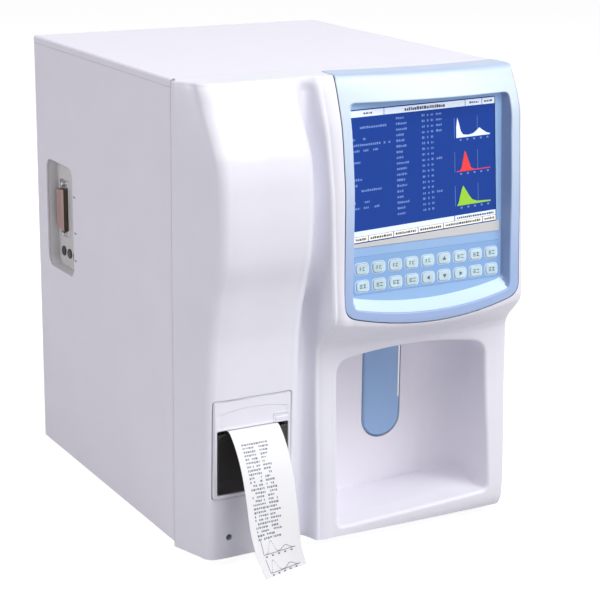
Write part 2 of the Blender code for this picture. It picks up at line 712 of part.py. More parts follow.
def curve_points(start, control, end, shares):
    """Points on a quadratic curve."""
    a, b, c = Vector(start), Vector(control), Vector(end)
    return [tuple(a * (1 - t) ** 2 + b * 2 * t * (1 - t) + c * t ** 2) for t in shares]


def front_section(t):
    """The front's outline in plan at a height share, from the left seam to the right one."""
    face = COLUMN_REACH * follow(COLUMN_FACE_SHARES, t)
    groove = COLUMN_REACH * follow(GROOVE_SHARES, t)
    fold = module_depth(MODULE_LEFT_X, t)
    inset = top_inset(t)
    side = FRONT_HALF - inset
    points = [(-side, -FIT_GAP), (-side, -SEAM_LAND)]
    points += curve_points(
        (COLUMN_CORNER_X + inset - FRONT_PROUD, -(face - CORNER_DEPTH)), (COLUMN_CORNER_X + inset, -face),
        (COLUMN_CORNER_X + CORNER_WIDTH, -face), CORNER_STEP_SHARES)
    points.append(((COLUMN_CORNER_X + COLUMN_RIGHT_X) / 2, -face))
    points.append((COLUMN_RIGHT_X, -face))
    for x_share, blend_share in GROOVE_BLEND_SHARES:
        x = COLUMN_RIGHT_X + (GROOVE_X - COLUMN_RIGHT_X) * x_share
        points.append((x, -(face + (groove - face) * blend_share)))
    points.append((GROOVE_X, -groove))
    for x_share, blend_share in MODULE_WALL_SHARES:
        x = GROOVE_X + (MODULE_LEFT_X - GROOVE_X) * x_share
        points.append((x, -(groove + (fold - groove) * blend_share)))
    left = MODULE_LEFT_X + MODULE_LEFT_CORNER
    right = FRONT_HALF - MODULE_CORNER
    for x_share in MODULE_FACE_SHARES:
        x = left + (right - left) * x_share
        points.append((x, -module_depth(x, t)))
    edge = module_depth(FRONT_HALF, t)
    points += curve_points(
        points[-1], (side, -edge), (side, -(edge - MODULE_CORNER)), CORNER_STEP_SHARES[1:])
    points += [(side, -SEAM_LAND), (side, -FIT_GAP)]
    return points


def front_surface():
    """The open front surface, lofted through sections that change all the way up, with its flat top."""
    bm = bmesh.new()
    rows = []
    for t in ROW_SHARES:
        row = []
        for x, y in front_section(t):
            drop = bow_drop(x, t) if x > MODULE_LEFT_X else 0.0
            row.append(bm.verts.new((x, y, height_of(t) - drop)))
        rows.append(row)
    for low, high in zip(rows, rows[1:]):
        for i in range(len(low) - 1):
            bm.faces.new((low[i], low[i + 1], high[i + 1], high[i]))
    bm.faces.new(rows[-1])
    return bm


def slab(front, back, xs, zs):
    """A closed block between two surfaces given as y of x and z."""
    bm = bmesh.new()
    near = [[bm.verts.new((x, front(x, z), z)) for x in xs] for z in zs]
    far = [[bm.verts.new((x, back(x, z), z)) for x in xs] for z in zs]
    for r in range(len(zs) - 1):
        for c in range(len(xs) - 1):
            bm.faces.new((near[r][c], near[r][c + 1], near[r + 1][c + 1], near[r + 1][c]))
            bm.faces.new((far[r][c], far[r + 1][c], far[r + 1][c + 1], far[r][c + 1]))
    ring = [(0, c) for c in range(len(xs))] + [(r, len(xs) - 1) for r in range(1, len(zs))]
    ring += [(len(zs) - 1, c) for c in range(len(xs) - 2, -1, -1)]
    ring += [(r, 0) for r in range(len(zs) - 2, 0, -1)]
    for (a, b), (c, d) in zip(ring, ring[1:] + ring[:1]):
        bm.faces.new((near[a][b], far[a][b], far[c][d], near[c][d]))
    return mesh_from(bm)


def loft(sections):
    """A closed solid through rings of points that all have the same count."""
    bm = bmesh.new()
    rings = [[bm.verts.new(point) for point in section] for section in sections]
    count = len(rings[0])
    for low, high in zip(rings, rings[1:]):
        for i in range(count):
            k = (i + 1) % count
            bm.faces.new((low[i], low[k], high[k], high[i]))
    bm.faces.new(rings[0])
    bm.faces.new(rings[-1])
    return mesh_from(bm)


def share_at(x, z):
    """The height share whose surface row passes through x and z, under the chin's sag."""
    t = (z - FRONT_FOOT) / FRONT_HEIGHT
    for _ in range(12):
        t = (z + bow_drop(x, min(max(t, 0.0), 1.0)) - FRONT_FOOT) / FRONT_HEIGHT
    return min(max(t, 0.0), 1.0)


def module_y(x, z):
    """The y of the front surface over the module and the base."""
    return -module_depth(x, share_at(x, z))


# Outlines shared by the housing and the pieces that fit it

def bowed(left, right, end_z, bow, steps=10):
    """A shallow arc from right to left that sags in the middle."""
    points = []
    for i in range(1, steps):
        s = 1 - 2 * i / steps
        points.append(((left + right) / 2 + s * (right - left) / 2, end_z - bow * (1 - s * s)))
    return points


def grown(outline, margin):
    """An outline moved outward by a margin, for outlines that run clockwise or the other way."""
    area = sum(a[0] * b[1] - b[0] * a[1] for a, b in zip(outline, outline[1:] + outline[:1]))
    sign = 1.0 if area > 0 else -1.0
    result = []
    count = len(outline)
    for i in range(count):
        point = Vector(outline[i])
        before = (point - Vector(outline[i - 1])).normalized()
        after = (Vector(outline[(i + 1) % count]) - point).normalized()
        normal = Vector((before.y + after.y, -before.x - after.x)).normalized() * sign
        reach = margin / max(normal.dot(Vector((after.y, -after.x)) * sign), 0.5)
        result.append(tuple(point + normal * reach))
    return result


def bezel_outline():
    """The blue bezel from the front; its top runs past the cabinet's top edge."""
    top = BODY_HEIGHT + OVERRUN
    slope_left = (BEZEL_LEFT_TOP - BEZEL_LEFT_BOTTOM) / (BODY_HEIGHT - BEZEL_END_Z)
    slope_right = (BEZEL_RIGHT_TOP - BEZEL_RIGHT_BOTTOM) / (BODY_HEIGHT - BEZEL_END_Z)
    corners = [
        (BEZEL_LEFT_TOP + slope_left * OVERRUN, top), (BEZEL_LEFT_BOTTOM, BEZEL_END_Z),
        (BEZEL_RIGHT_BOTTOM, BEZEL_END_Z), (BEZEL_RIGHT_TOP + slope_right * OVERRUN, top)]
    arc_points = bowed(BEZEL_LEFT_BOTTOM, BEZEL_RIGHT_BOTTOM, BEZEL_END_Z, BEZEL_BOW)[::-1]
    points = corners[:2] + arc_points + corners[2:]
    radii = [0.0, BEZEL_CORNER] + [0.0] * len(arc_points) + [BEZEL_CORNER, 0.0]
    return round_corners(points, radii)


def recess_outline(side, lower):
    """The recess round the display and the keypad, drawn in toward its floor at the sides and below."""
    left = [(RECESS_LEFT_TOP + side, RECESS_TOP_Z), (RECESS_LEFT_BOTTOM + side, RECESS_END_Z + lower)]
    right = [(RECESS_RIGHT_BOTTOM - side, RECESS_END_Z + lower), (RECESS_RIGHT_TOP - side, RECESS_TOP_Z)]
    arc_points = bowed(left[1][0], right[0][0], RECESS_END_Z + lower, RECESS_BOW)[::-1]
    points = left + arc_points + right
    radii = [RECESS_CORNER] * 2 + [0.0] * len(arc_points) + [RECESS_CORNER] * 2
    return round_corners(points, radii)


def bay_outline(inset=0.0, rise=0.0):
    """The bay's mouth: flat floor, round lower corners and an arched top."""
    left, right = BAY_LEFT + inset, BAY_RIGHT - inset
    bottom = BAY_FLOOR_Z + rise
    arch = bowed(right, left, BAY_SHOULDER_Z, BAY_SHOULDER_Z - BAY_CROWN_Z, 6)
    points = [(left, BAY_SHOULDER_Z), (left, bottom), (right, bottom), (right, BAY_SHOULDER_Z)] + arch[::-1]
    radii = [BAY_CORNER, BAY_BOTTOM_CORNER, BAY_BOTTOM_CORNER, BAY_CORNER] + [0.0] * len(arch)
    return round_corners(points, radii)


def screen_y(z):
    """The y of the recess floor's front face at a height."""
    return SCREEN_TOP_Y - (RECESS_TOP_Z - z) * math.tan(SCREEN_TILT)


def tilted(mesh, y, z):
    """Lean a mesh built flat at y zero and height zero to the screen's slope and set it at y and z."""
    mesh.transform(Matrix.Rotation(-SCREEN_TILT, 4, "X"))
    mesh.transform(Matrix.Translation((0.0, y, z)))
    return mesh


# Cabinet

def make_front_housing():
    """The moulded front with its column, groove, module and chin, and its openings."""
    bm = front_surface()
    bmesh.ops.recalc_face_normals(bm, faces=bm.faces)
    mesh = bpy.data.meshes.new("front_housing")
    bm.to_mesh(mesh)
    bm.free()
    housing = add_part("front_housing", mesh, "housing_white", smooth=35)
    shell = housing.modifiers.new("wall", "SOLIDIFY")
    shell.thickness = FRONT_WALL
    shell.offset = -1.0
    cut(housing,
        prism([grown(bezel_outline(), FIT_GAP)], -OVERRUN - COLUMN_REACH - MODULE_CROWN,
              BEZEL_REAR_Y + FIT_GAP, "XZ"),
        prism([bay_outline()], -OVERRUN - MODULE_REACH, -FIT_GAP, "XZ"),
        box((RECORDER_LEFT, -COLUMN_REACH, RECORDER_BOTTOM_Z), (RECORDER_RIGHT, 0.0, RECORDER_TOP_Z)),
        cylinder(LAMP_RADIUS + FIT_GAP, -COLUMN_REACH, 0.0, (LAMP_X, LAMP_Z), "Y", SMALL_SEGMENTS))
    return housing


def side_cover(name, side):
    """A folded sheet cover: a plate with flanges turned in at front and rear."""
    outer = side * BODY_WIDTH / 2
    inner = outer - side * COVER_WALL
    flange = outer - side * FLANGE_WIDTH
    outline = [
        (outer, 0.0), (outer, BODY_DEPTH), (flange, BODY_DEPTH), (flange, BODY_DEPTH - COVER_WALL),
        (inner, BODY_DEPTH - COVER_WALL), (inner, COVER_WALL), (flange, COVER_WALL), (flange, 0.0)]
    top = BODY_HEIGHT - TOP_LIP - FIT_GAP
    return add_part(name, prism([outline], COVER_FOOT, top, "XY"), "cover_paint", smooth=35)


def make_covers():
    """Left, right and top covers."""
    left = side_cover("left_side_cover", -1)
    window = rounded_rectangle(PORT_FRONT_Y, PORT_REAR_Y, PORT_BOTTOM_Z, PORT_TOP_Z, PORT_CORNER)
    cut(left, prism([window], -BODY_WIDTH / 2 - OVERRUN, -BODY_WIDTH / 2 + FLANGE_WIDTH, "YZ"))
    side_cover("right_side_cover", 1)
    half = BODY_WIDTH / 2
    top = add_part("top_cover", box(
        (-half, 0.0, BODY_HEIGHT - TOP_LIP), (half, BODY_DEPTH, BODY_HEIGHT)), "cover_paint", smooth=35)
    soften = top.modifiers.new("soften", "BEVEL")
    soften.width = EDGE_RADIUS
    soften.segments = 3
    soften.limit_method = "WEIGHT"
    weights = top.data.attributes.new("bevel_weight_edge", "FLOAT", "EDGE")
    for edge in top.data.edges:
        ends = [top.data.vertices[k].co for k in edge.vertices]
        upper = all(end.z > BODY_HEIGHT - TOP_LIP / 2 for end in ends)
        front = all(end.y < COVER_WALL for end in ends)
        weights.data[edge.index].value = 1.0 if upper and not front else 0.0
    cut(top, box(
        (-half + COVER_WALL, -OVERRUN, BODY_HEIGHT - TOP_LIP - OVERRUN),
        (half - COVER_WALL, BODY_DEPTH - COVER_WALL, BODY_HEIGHT - COVER_WALL)))


def fan_slots():
    """Vertical slots through the rear panel, shorter toward the fan's sides."""
    meshes = []
    pitch = 2 * FAN_BORE / FAN_SLOTS
    for i in range(FAN_SLOTS):
        offset = (i - (FAN_SLOTS - 1) / 2) * pitch
        half = math.sqrt(FAN_BORE ** 2 - offset ** 2) - FAN_SLOT_WIDTH / 2
        outline = rounded_rectangle(
            FAN_X + offset - FAN_SLOT_WIDTH / 2, FAN_X + offset + FAN_SLOT_WIDTH / 2,
            FAN_Z - half, FAN_Z + half, FAN_SLOT_WIDTH / 2, 2)
        meshes.append(prism([outline], REAR_Y - OVERRUN, BODY_DEPTH + OVERRUN, "XZ"))
    return meshes


REAR_Y = BODY_DEPTH - COVER_WALL - FIT_GAP - REAR_WALL
REAR_FACE_Y = REAR_Y + REAR_WALL


def make_rear_panel():
    """The sheet that closes the back, inside the covers' flanges."""
    half = BODY_WIDTH / 2 - COVER_WALL - FIT_GAP
    top = BODY_HEIGHT - TOP_LIP - FIT_GAP
    panel = add_part("rear_panel", box(
        (-half, REAR_Y, BASE_Z + BASE_THICK + FIT_GAP), (half, REAR_FACE_Y, top)), "cover_paint")
    cut(panel, *fan_slots())
    cut(panel, box(
        (INLET_X - INLET_WIDTH / 2, 0.0, INLET_Z - INLET_HEIGHT / 2),
        (INLET_X + INLET_WIDTH / 2, BODY_DEPTH + OVERRUN, INLET_Z + INLET_HEIGHT / 2)))
    cut(panel, box(
        (ROCKER_X - ROCKER_WIDTH / 2, 0.0, INLET_Z - ROCKER_HEIGHT / 2),
        (ROCKER_X + ROCKER_WIDTH / 2, BODY_DEPTH + OVERRUN, INLET_Z + ROCKER_HEIGHT / 2)))
    for x in fitting_places():
        cut(panel, cylinder(
            FITTING_RADIUS - FITTING_BARB / 2, REAR_Y - OVERRUN, BODY_DEPTH + OVERRUN, (x, FITTING_Z), "Y",
            SMALL_SEGMENTS))


def fitting_places():
    """Where the fluid fittings stand along the rear panel."""
    return [FITTING_X + FITTING_PITCH * i for i in range(FITTING_COUNT)]


def make_base():
    """Base plate and rubber feet."""
    half = BODY_WIDTH / 2 - COVER_WALL - 2 * FIT_GAP
    rear = BODY_DEPTH - COVER_WALL - FIT_GAP
    narrow = -COLUMN_CORNER_X - FRONT_WALL - EDGE_RADIUS
    outline = [
        (-half, COVER_WALL + FIT_GAP), (-narrow, COVER_WALL + FIT_GAP), (-narrow, BASE_FRONT_Y),
        (narrow, BASE_FRONT_Y), (narrow, COVER_WALL + FIT_GAP), (half, COVER_WALL + FIT_GAP),
        (half, rear), (-half, rear)]
    add_part("base_plate", prism([outline], BASE_Z, BASE_Z + BASE_THICK, "XY"), "steel")
    places = (("left", -BODY_WIDTH / 2 + FOOT_INSET_X), ("right", BODY_WIDTH / 2 - FOOT_INSET_X))
    for side, x in places:
        for end, y in (("front", FOOT_INSET_Y), ("rear", BODY_DEPTH - FOOT_INSET_Y)):
            foot = turned([
                (0.0, BASE_Z - FIT_GAP), (FOOT_RADIUS, BASE_Z - FIT_GAP),
                (FOOT_RADIUS, EDGE_RADIUS), (FOOT_RADIUS - EDGE_RADIUS, 0.0), (0.0, 0.0)], "Z", (x, y))
            add_part("foot_%s_%s" % (end, side), foot, "rubber", smooth=35)


# Screen module

def make_screen_bezel():
    """The blue bezel: it follows the module's crown, wraps onto the top and holds the recess."""
    left, right = BEZEL_LEFT_BOTTOM - OVERRUN / 4, FRONT_HALF - FRONT_PROUD / 2
    steps = 12
    xs = [left + (right - left) * i / steps for i in range(steps + 1)]
    low = BEZEL_END_Z - BEZEL_BOW - EDGE_RADIUS
    rows = [height_of(t) for t in ROW_SHARES if height_of(t) > BEZEL_END_Z]
    zs = [low] + rows + [BODY_HEIGHT + BEZEL_PROUD]
    wrap_z = RECESS_TOP_Z + SCREEN_FLOOR

    def front(x, z):
        return module_y(x, min(z, BODY_HEIGHT)) - BEZEL_PROUD * (1 if z <= BODY_HEIGHT else 0)

    def back(x, z):
        return BEZEL_REAR_Y if z > wrap_z else max(screen_y(z) + SCREEN_FLOOR, front(x, z) + BEZEL_WALL)

    bezel = add_part("screen_bezel", slab(front, back, xs, zs), "bezel_blue", smooth=35)
    boolean(bezel, prism([bezel_outline()], -COLUMN_REACH - MODULE_CROWN - OVERRUN, BEZEL_REAR_Y + OVERRUN,
                         "XZ"), "INTERSECT")
    mouth = [(x, -COLUMN_REACH - MODULE_CROWN, z) for x, z in recess_outline(0.0, 0.0)]
    floor = [(x, screen_y(z), z) for x, z in recess_outline(RECESS_SIDE_DRAFT, RECESS_LOWER_DRAFT)]
    cut(bezel, loft([mouth, floor]))
    cut(bezel, tilted(box(
        (SCREEN_CENTRE_X - SCREEN_WIDTH / 2, -OVERRUN, -SCREEN_HEIGHT / 2),
        (SCREEN_CENTRE_X + SCREEN_WIDTH / 2, OVERRUN, SCREEN_HEIGHT / 2)),
        screen_y(SCREEN_CENTRE_Z), SCREEN_CENTRE_Z))
    cut(bezel, tilted(box(
        (SCREEN_CENTRE_X - KEYPAD_WIDTH / 2 + KEYPAD_RIM, -OVERRUN, -KEYPAD_HEIGHT / 2 + KEYPAD_RIM),
        (SCREEN_CENTRE_X + KEYPAD_WIDTH / 2 - KEYPAD_RIM, OVERRUN, KEYPAD_HEIGHT / 2 - KEYPAD_RIM)),
        screen_y(KEYPAD_CENTRE_Z), KEYPAD_CENTRE_Z))


def make_display():
    """The display panel, seated behind the bezel's window."""
    floor = SCREEN_FLOOR + FIT_GAP
    panel = add_part("lcd_panel", tilted(box(
        (SCREEN_CENTRE_X - SCREEN_WIDTH / 2 - SCREEN_RIM, floor, -SCREEN_HEIGHT / 2 - SCREEN_RIM),
        (SCREEN_CENTRE_X + SCREEN_WIDTH / 2 + SCREEN_RIM, floor + SCREEN_THICK,
         SCREEN_HEIGHT / 2 + SCREEN_RIM)), screen_y(SCREEN_CENTRE_Z), SCREEN_CENTRE_Z), "display_glass")
    join(panel, tilted(box(
        (SCREEN_CENTRE_X - SCREEN_WIDTH / 2 + FIT_GAP, SCREEN_SET, -SCREEN_HEIGHT / 2 + FIT_GAP),
        (SCREEN_CENTRE_X + SCREEN_WIDTH / 2 - FIT_GAP, floor + SCREEN_THICK / 2,
         SCREEN_HEIGHT / 2 - FIT_GAP)), screen_y(SCREEN_CENTRE_Z), SCREEN_CENTRE_Z))


def key_places():
    """Row, column, x and slope height of each key over the middle of the keypad panel."""
    for row in range(KEY_ROWS):
        for column in range(KEY_COLUMNS):
            x = SCREEN_CENTRE_X + (column - (KEY_COLUMNS - 1) / 2) * KEY_PITCH_X
            rise = ((KEY_ROWS - 1) / 2 - row) * KEY_PITCH_Z
            yield row, column, x, KEY_CENTRE_Z - KEYPAD_CENTRE_Z + rise


def make_keypad():
    """The keypad panel and its keys, each on its own guide hole."""
    anchor = (screen_y(KEYPAD_CENTRE_Z), KEYPAD_CENTRE_Z)
    outline = rounded_rectangle(
        SCREEN_CENTRE_X - KEYPAD_WIDTH / 2, SCREEN_CENTRE_X + KEYPAD_WIDTH / 2, -KEYPAD_HEIGHT / 2,
        KEYPAD_HEIGHT / 2, KEY_CORNER)
    holes = []
    for _, _, x, z in key_places():
        holes.append(rounded_rectangle(
            x - KEY_WIDTH / 2 - KEY_GAP, x + KEY_WIDTH / 2 + KEY_GAP, z - KEY_HEIGHT / 2 - KEY_GAP,
            z + KEY_HEIGHT / 2 + KEY_GAP, KEY_CORNER, 3))
    panel_back = -FIT_GAP
    panel_front = panel_back - KEYPAD_THICK
    add_part("keypad_panel", tilted(prism([outline] + holes, panel_front, panel_back, "XZ"), *anchor),
             "bezel_blue")
    for row, column, x, z in key_places():
        cap = prism([rounded_rectangle(
            x - KEY_WIDTH / 2, x + KEY_WIDTH / 2, z - KEY_HEIGHT / 2, z + KEY_HEIGHT / 2, KEY_CORNER, 3)],
            panel_front - KEY_PROUD, panel_back - KEY_TRAVEL, "XZ")
        pivot = Matrix.Rotation(-SCREEN_TILT, 4, "X") @ Vector((x, panel_front, z))
        pivot += Vector((0.0, anchor[0], anchor[1]))
        add_part("key_%d_%d" % (row + 1, column + 1), tilted(cap, *anchor), "key_rubber", smooth=35,
                 pivot=tuple(pivot))


# Sample bay, aspirate key and probe

def bay_sections(margin):
    """Rings of the bay from its mouth to the back wall, whose upright corners are round."""
    front = -MODULE_REACH - OVERRUN * (1 if margin else 2)
    rings = [(front, 0.0, 0.0), (BAY_REAR_Y - BAY_REAR_CORNER, 0.0, BAY_FLOOR_RISE / 2)]
    steps = 5
    for i in range(1, steps + 1):
        turn = math.radians(90 * i / steps)
        rings.append((
            BAY_REAR_Y - BAY_REAR_CORNER * (1 - math.sin(turn)) + (margin if i == steps else 0.0),
            BAY_REAR_CORNER * (1 - math.cos(turn)), BAY_FLOOR_RISE * (0.5 + 0.5 * i / steps)))
    sections = []
    for y, inset, rise in rings:
        outline = bay_outline(inset, rise)
        if margin:
            outline = grown(outline, margin)
        sections.append([(x, y, z) for x, z in outline])
    return sections


def paddle_outline(margin):
    """The aspirate key's outline: straight sides and a half-round bottom."""
    radius = PADDLE_WIDTH / 2 + margin
    centre = (PADDLE_CENTRE_X, PADDLE_BOTTOM_Z + PADDLE_WIDTH / 2)
    points = arc(centre, radius, 180, 360, 14)
    return points + [(centre[0] + radius, PADDLE_TOP_Z + margin), (centre[0] - radius, PADDLE_TOP_Z + margin)]


def make_sample_bay():
    """The bay tub behind the front's arch, with the key's slot and the probe's way in."""
    bay = add_part("sample_bay", loft(bay_sections(BAY_WALL)), "housing_white", smooth=35)
    cut(bay, loft(bay_sections(0.0)))
    steps = 12
    left, right = BAY_LEFT - OVERRUN, BAY_RIGHT + OVERRUN / 2
    xs = [left + (right - left) * i / steps for i in range(steps + 1)]
    zs = [height_of(t) for t in ROW_SHARES if height_of(t) < LIFT_FLOOR_Z + OVERRUN / 2]
    cut(bay, slab(
        lambda x, z: -MODULE_REACH - 2 * OVERRUN,
        lambda x, z: module_y(min(max(x, MODULE_LEFT_X), FRONT_HALF), z) + FRONT_WALL + 2 * FIT_GAP, xs, zs))
    cut(bay, prism([paddle_outline(PADDLE_GAP)], BAY_REAR_Y - BAY_WALL, BAY_REAR_Y + BAY_WALL + FIT_GAP,
                   "XZ"))
    join(bay, key_ears())
    reach = PADDLE_WIDTH / 2 + PADDLE_GAP + BRACKET_WALL + 2 * FIT_GAP
    cut(bay, cylinder(PIVOT_RADIUS + PIVOT_CLEARANCE, PADDLE_CENTRE_X - reach, PADDLE_CENTRE_X + reach,
                      key_pivot(), "X", SMALL_SEGMENTS))
    half = WIPER_SIZE / 2 + FIT_GAP
    cut(bay, box((PROBE_X - half, PROBE_Y - half, BAY_SHOULDER_Z),
                 (PROBE_X + half, PROBE_Y + half, BAY_CROWN_Z + OVERRUN)))


def key_pivot():
    """The aspirate key's hinge: a place behind the bay's back wall, in y and z."""
    return BAY_REAR_Y - PADDLE_PROUD + PADDLE_THICK + PIVOT_OFFSET, PIVOT_Z


def key_ears():
    """The bracket moulded on the bay's back: two ears joined behind the key's pivot."""
    inner = PADDLE_WIDTH / 2 + PADDLE_GAP + FIT_GAP
    outer = inner + 2 * BRACKET_WALL
    start = BAY_REAR_Y + BAY_WALL / 2
    back = key_pivot()[0] + PIVOT_BOSS / 2 + 2 * BRACKET_WALL
    outline = [
        (-outer, start), (-outer, back), (outer, back), (outer, start), (inner, start),
        (inner, back - BRACKET_WALL), (-inner, back - BRACKET_WALL), (-inner, start)]
    outline = [(PADDLE_CENTRE_X + x, y) for x, y in outline]
    return prism([outline], PIVOT_Z - BRACKET_HEIGHT / 2, PIVOT_Z + BRACKET_HEIGHT / 2, "XY")


def make_aspirate_key():
    """The rocking paddle on the bay's back wall, with its trunnions, and the switch it presses."""
    front = BAY_REAR_Y - PADDLE_PROUD
    rear = front + PADDLE_THICK
    pivot = key_pivot()
    half = PADDLE_WIDTH / 2
    paddle = add_part("aspirate_key", prism([paddle_outline(0.0)], front, rear, "XZ"), "paddle_blue",
                      smooth=35, pivot=(PADDLE_CENTRE_X, pivot[0], pivot[1]))
    boss = PIVOT_BOSS / 2
    join(paddle, box((PADDLE_CENTRE_X - half + FIT_GAP, front + PADDLE_THICK / 2, PIVOT_Z - boss),
                     (PADDLE_CENTRE_X + half - FIT_GAP, pivot[0] + boss, PIVOT_Z + boss)))
    reach = half + PADDLE_GAP + BRACKET_WALL
    join(paddle, cylinder(PIVOT_RADIUS, PADDLE_CENTRE_X - reach, PADDLE_CENTRE_X + reach, pivot, "X",
                          SMALL_SEGMENTS))
    make_key_switch(rear)


def make_key_switch(rear):
    """The switch that the paddle presses, on a strap across the back of the bay."""
    outer = PADDLE_WIDTH / 2 + PADDLE_GAP + SWITCH_SIZE / 2
    body_front = rear + SWITCH_GAP
    half = SWITCH_SIZE / 2
    switch = add_part("key_switch", box(
        (PADDLE_CENTRE_X - half, body_front, SWITCH_Z - half),
        (PADDLE_CENTRE_X + half, body_front + SWITCH_SIZE, SWITCH_Z + half)), "black_plastic")
    strap = SWITCH_SIZE / 4
    join(switch, box(
        (PADDLE_CENTRE_X - outer, body_front + strap, SWITCH_Z - strap),
        (PADDLE_CENTRE_X + outer, body_front + 2 * strap, SWITCH_Z + strap)))
    for side in (-1, 1):
        edge = sorted((PADDLE_CENTRE_X + side * outer, PADDLE_CENTRE_X + side * (outer - strap)))
        join(switch, box(
            (edge[0], BAY_REAR_Y + BAY_WALL + FIT_GAP, SWITCH_Z - strap),
            (edge[1], body_front + 2 * strap, SWITCH_Z + strap)))


def make_probe_lift():
    """The probe, its carriage, lead screw, wash block, and the frame with its guide rod and motor."""
    floor_top = LIFT_FLOOR_Z + LIFT_PLATE
    upright_y = LIFT_AXIS_Y + MOTOR_SIZE / 2
    rear = PLATE_Y - FIT_GAP
    frame = add_part("lift_frame", box(
        (LIFT_LEFT, LIFT_FRONT_Y, LIFT_FLOOR_Z), (LIFT_RIGHT, rear, floor_top)), "aluminium")
    join(frame, box((LIFT_LEFT, upright_y, LIFT_FLOOR_Z), (LIFT_RIGHT, upright_y + LIFT_PLATE,
                                                            LIFT_TOP_Z + LIFT_PLATE)))
    join(frame, box((LIFT_LEFT, LIFT_FRONT_Y / 2, LIFT_TOP_Z), (LIFT_RIGHT, upright_y + LIFT_PLATE / 2,
                                                                LIFT_TOP_Z + LIFT_PLATE)))
    cut(frame, cylinder(PROBE_RADIUS + SLIDE_CLEARANCE, LIFT_FLOOR_Z - OVERRUN, LIFT_FLOOR_Z + OVERRUN,
                        (PROBE_X, PROBE_Y), "Z", SMALL_SEGMENTS))
    join(frame, cylinder(
        ROD_RADIUS, floor_top - FIT_GAP, LIFT_TOP_Z + FIT_GAP, (ROD_X, LIFT_AXIS_Y), "Z", SMALL_SEGMENTS))
    add_part("lead_screw", cylinder(
        ROD_RADIUS, floor_top + FIT_GAP, LIFT_TOP_Z + LIFT_PLATE, (SCREW_X, LIFT_AXIS_Y), "Z",
        SMALL_SEGMENTS), "steel", smooth=35, pivot=(SCREW_X, LIFT_AXIS_Y, floor_top))
    half = MOTOR_SIZE / 2
    motor_z = LIFT_TOP_Z + LIFT_PLATE
    join(frame, box(
        (SCREW_X - half, LIFT_AXIS_Y - half, motor_z - FIT_GAP),
        (SCREW_X + half, LIFT_AXIS_Y + half, motor_z + MOTOR_HEIGHT), EDGE_RADIUS, 1))
    cut(frame, cylinder(ROD_RADIUS + SLIDE_CLEARANCE, LIFT_TOP_Z - OVERRUN, motor_z + MOTOR_HEIGHT / 4,
                        (SCREW_X, LIFT_AXIS_Y), "Z", SMALL_SEGMENTS))
    carriage = add_part("probe_carriage", box(
        (ROD_X - CARRIAGE_MARGIN, PROBE_Y - CARRIAGE_MARGIN, CARRIAGE_Z),
        (SCREW_X + CARRIAGE_MARGIN, LIFT_AXIS_Y + CARRIAGE_MARGIN, CARRIAGE_Z + CARRIAGE_HEIGHT)),
        "grey_plastic", pivot=(PROBE_X, PROBE_Y, CARRIAGE_Z))
    top = CARRIAGE_Z + CARRIAGE_HEIGHT
    for x in (ROD_X, SCREW_X):
        cut(carriage, cylinder(ROD_RADIUS + SLIDE_CLEARANCE, CARRIAGE_Z - OVERRUN, top + OVERRUN,
                               (x, LIFT_AXIS_Y), "Z", SMALL_SEGMENTS))
    cut(carriage, cylinder(PROBE_RADIUS + FIT_GAP, CARRIAGE_Z - OVERRUN, top + OVERRUN,
                           (PROBE_X, PROBE_Y), "Z", SMALL_SEGMENTS))
    profile = [
        (0.0, top + CARRIAGE_MARGIN), (PROBE_RADIUS, top + CARRIAGE_MARGIN),
        (PROBE_RADIUS, PROBE_TIP_Z + 2 * PROBE_RADIUS), (PROBE_RADIUS / 3, PROBE_TIP_Z), (0.0, PROBE_TIP_Z)]
    add_part("sample_probe", turned(profile, "Z", (PROBE_X, PROBE_Y), SMALL_SEGMENTS), "steel", smooth=35,
             pivot=(PROBE_X, PROBE_Y, CARRIAGE_Z))
    half = WIPER_SIZE / 2
    wiper = add_part("probe_wiper", box(
        (PROBE_X - half, PROBE_Y - half, LIFT_FLOOR_Z - FIT_GAP - WIPER_DROP),
        (PROBE_X + half, PROBE_Y + half, LIFT_FLOOR_Z - FIT_GAP)), "clear_acrylic")
    cut(wiper, cylinder(PROBE_RADIUS + SLIDE_CLEARANCE, LIFT_FLOOR_Z - 2 * OVERRUN, LIFT_FLOOR_Z + OVERRUN,
                        (PROBE_X, PROBE_Y), "Z", SMALL_SEGMENTS))


# Recorder

def recorder_box(margin, front, rear):
    """A block the size of the recorder's case less a margin."""
    return box((RECORDER_LEFT + margin, front, RECORDER_BOTTOM_Z + margin),
               (RECORDER_RIGHT - margin, rear, RECORDER_TOP_Z - margin))


def platen_place():
    """Height of the platen's axis, just under the paper."""
    return PAPER_EXIT_Z - PAPER_THICK / 2 - FIT_GAP - PLATEN_RADIUS


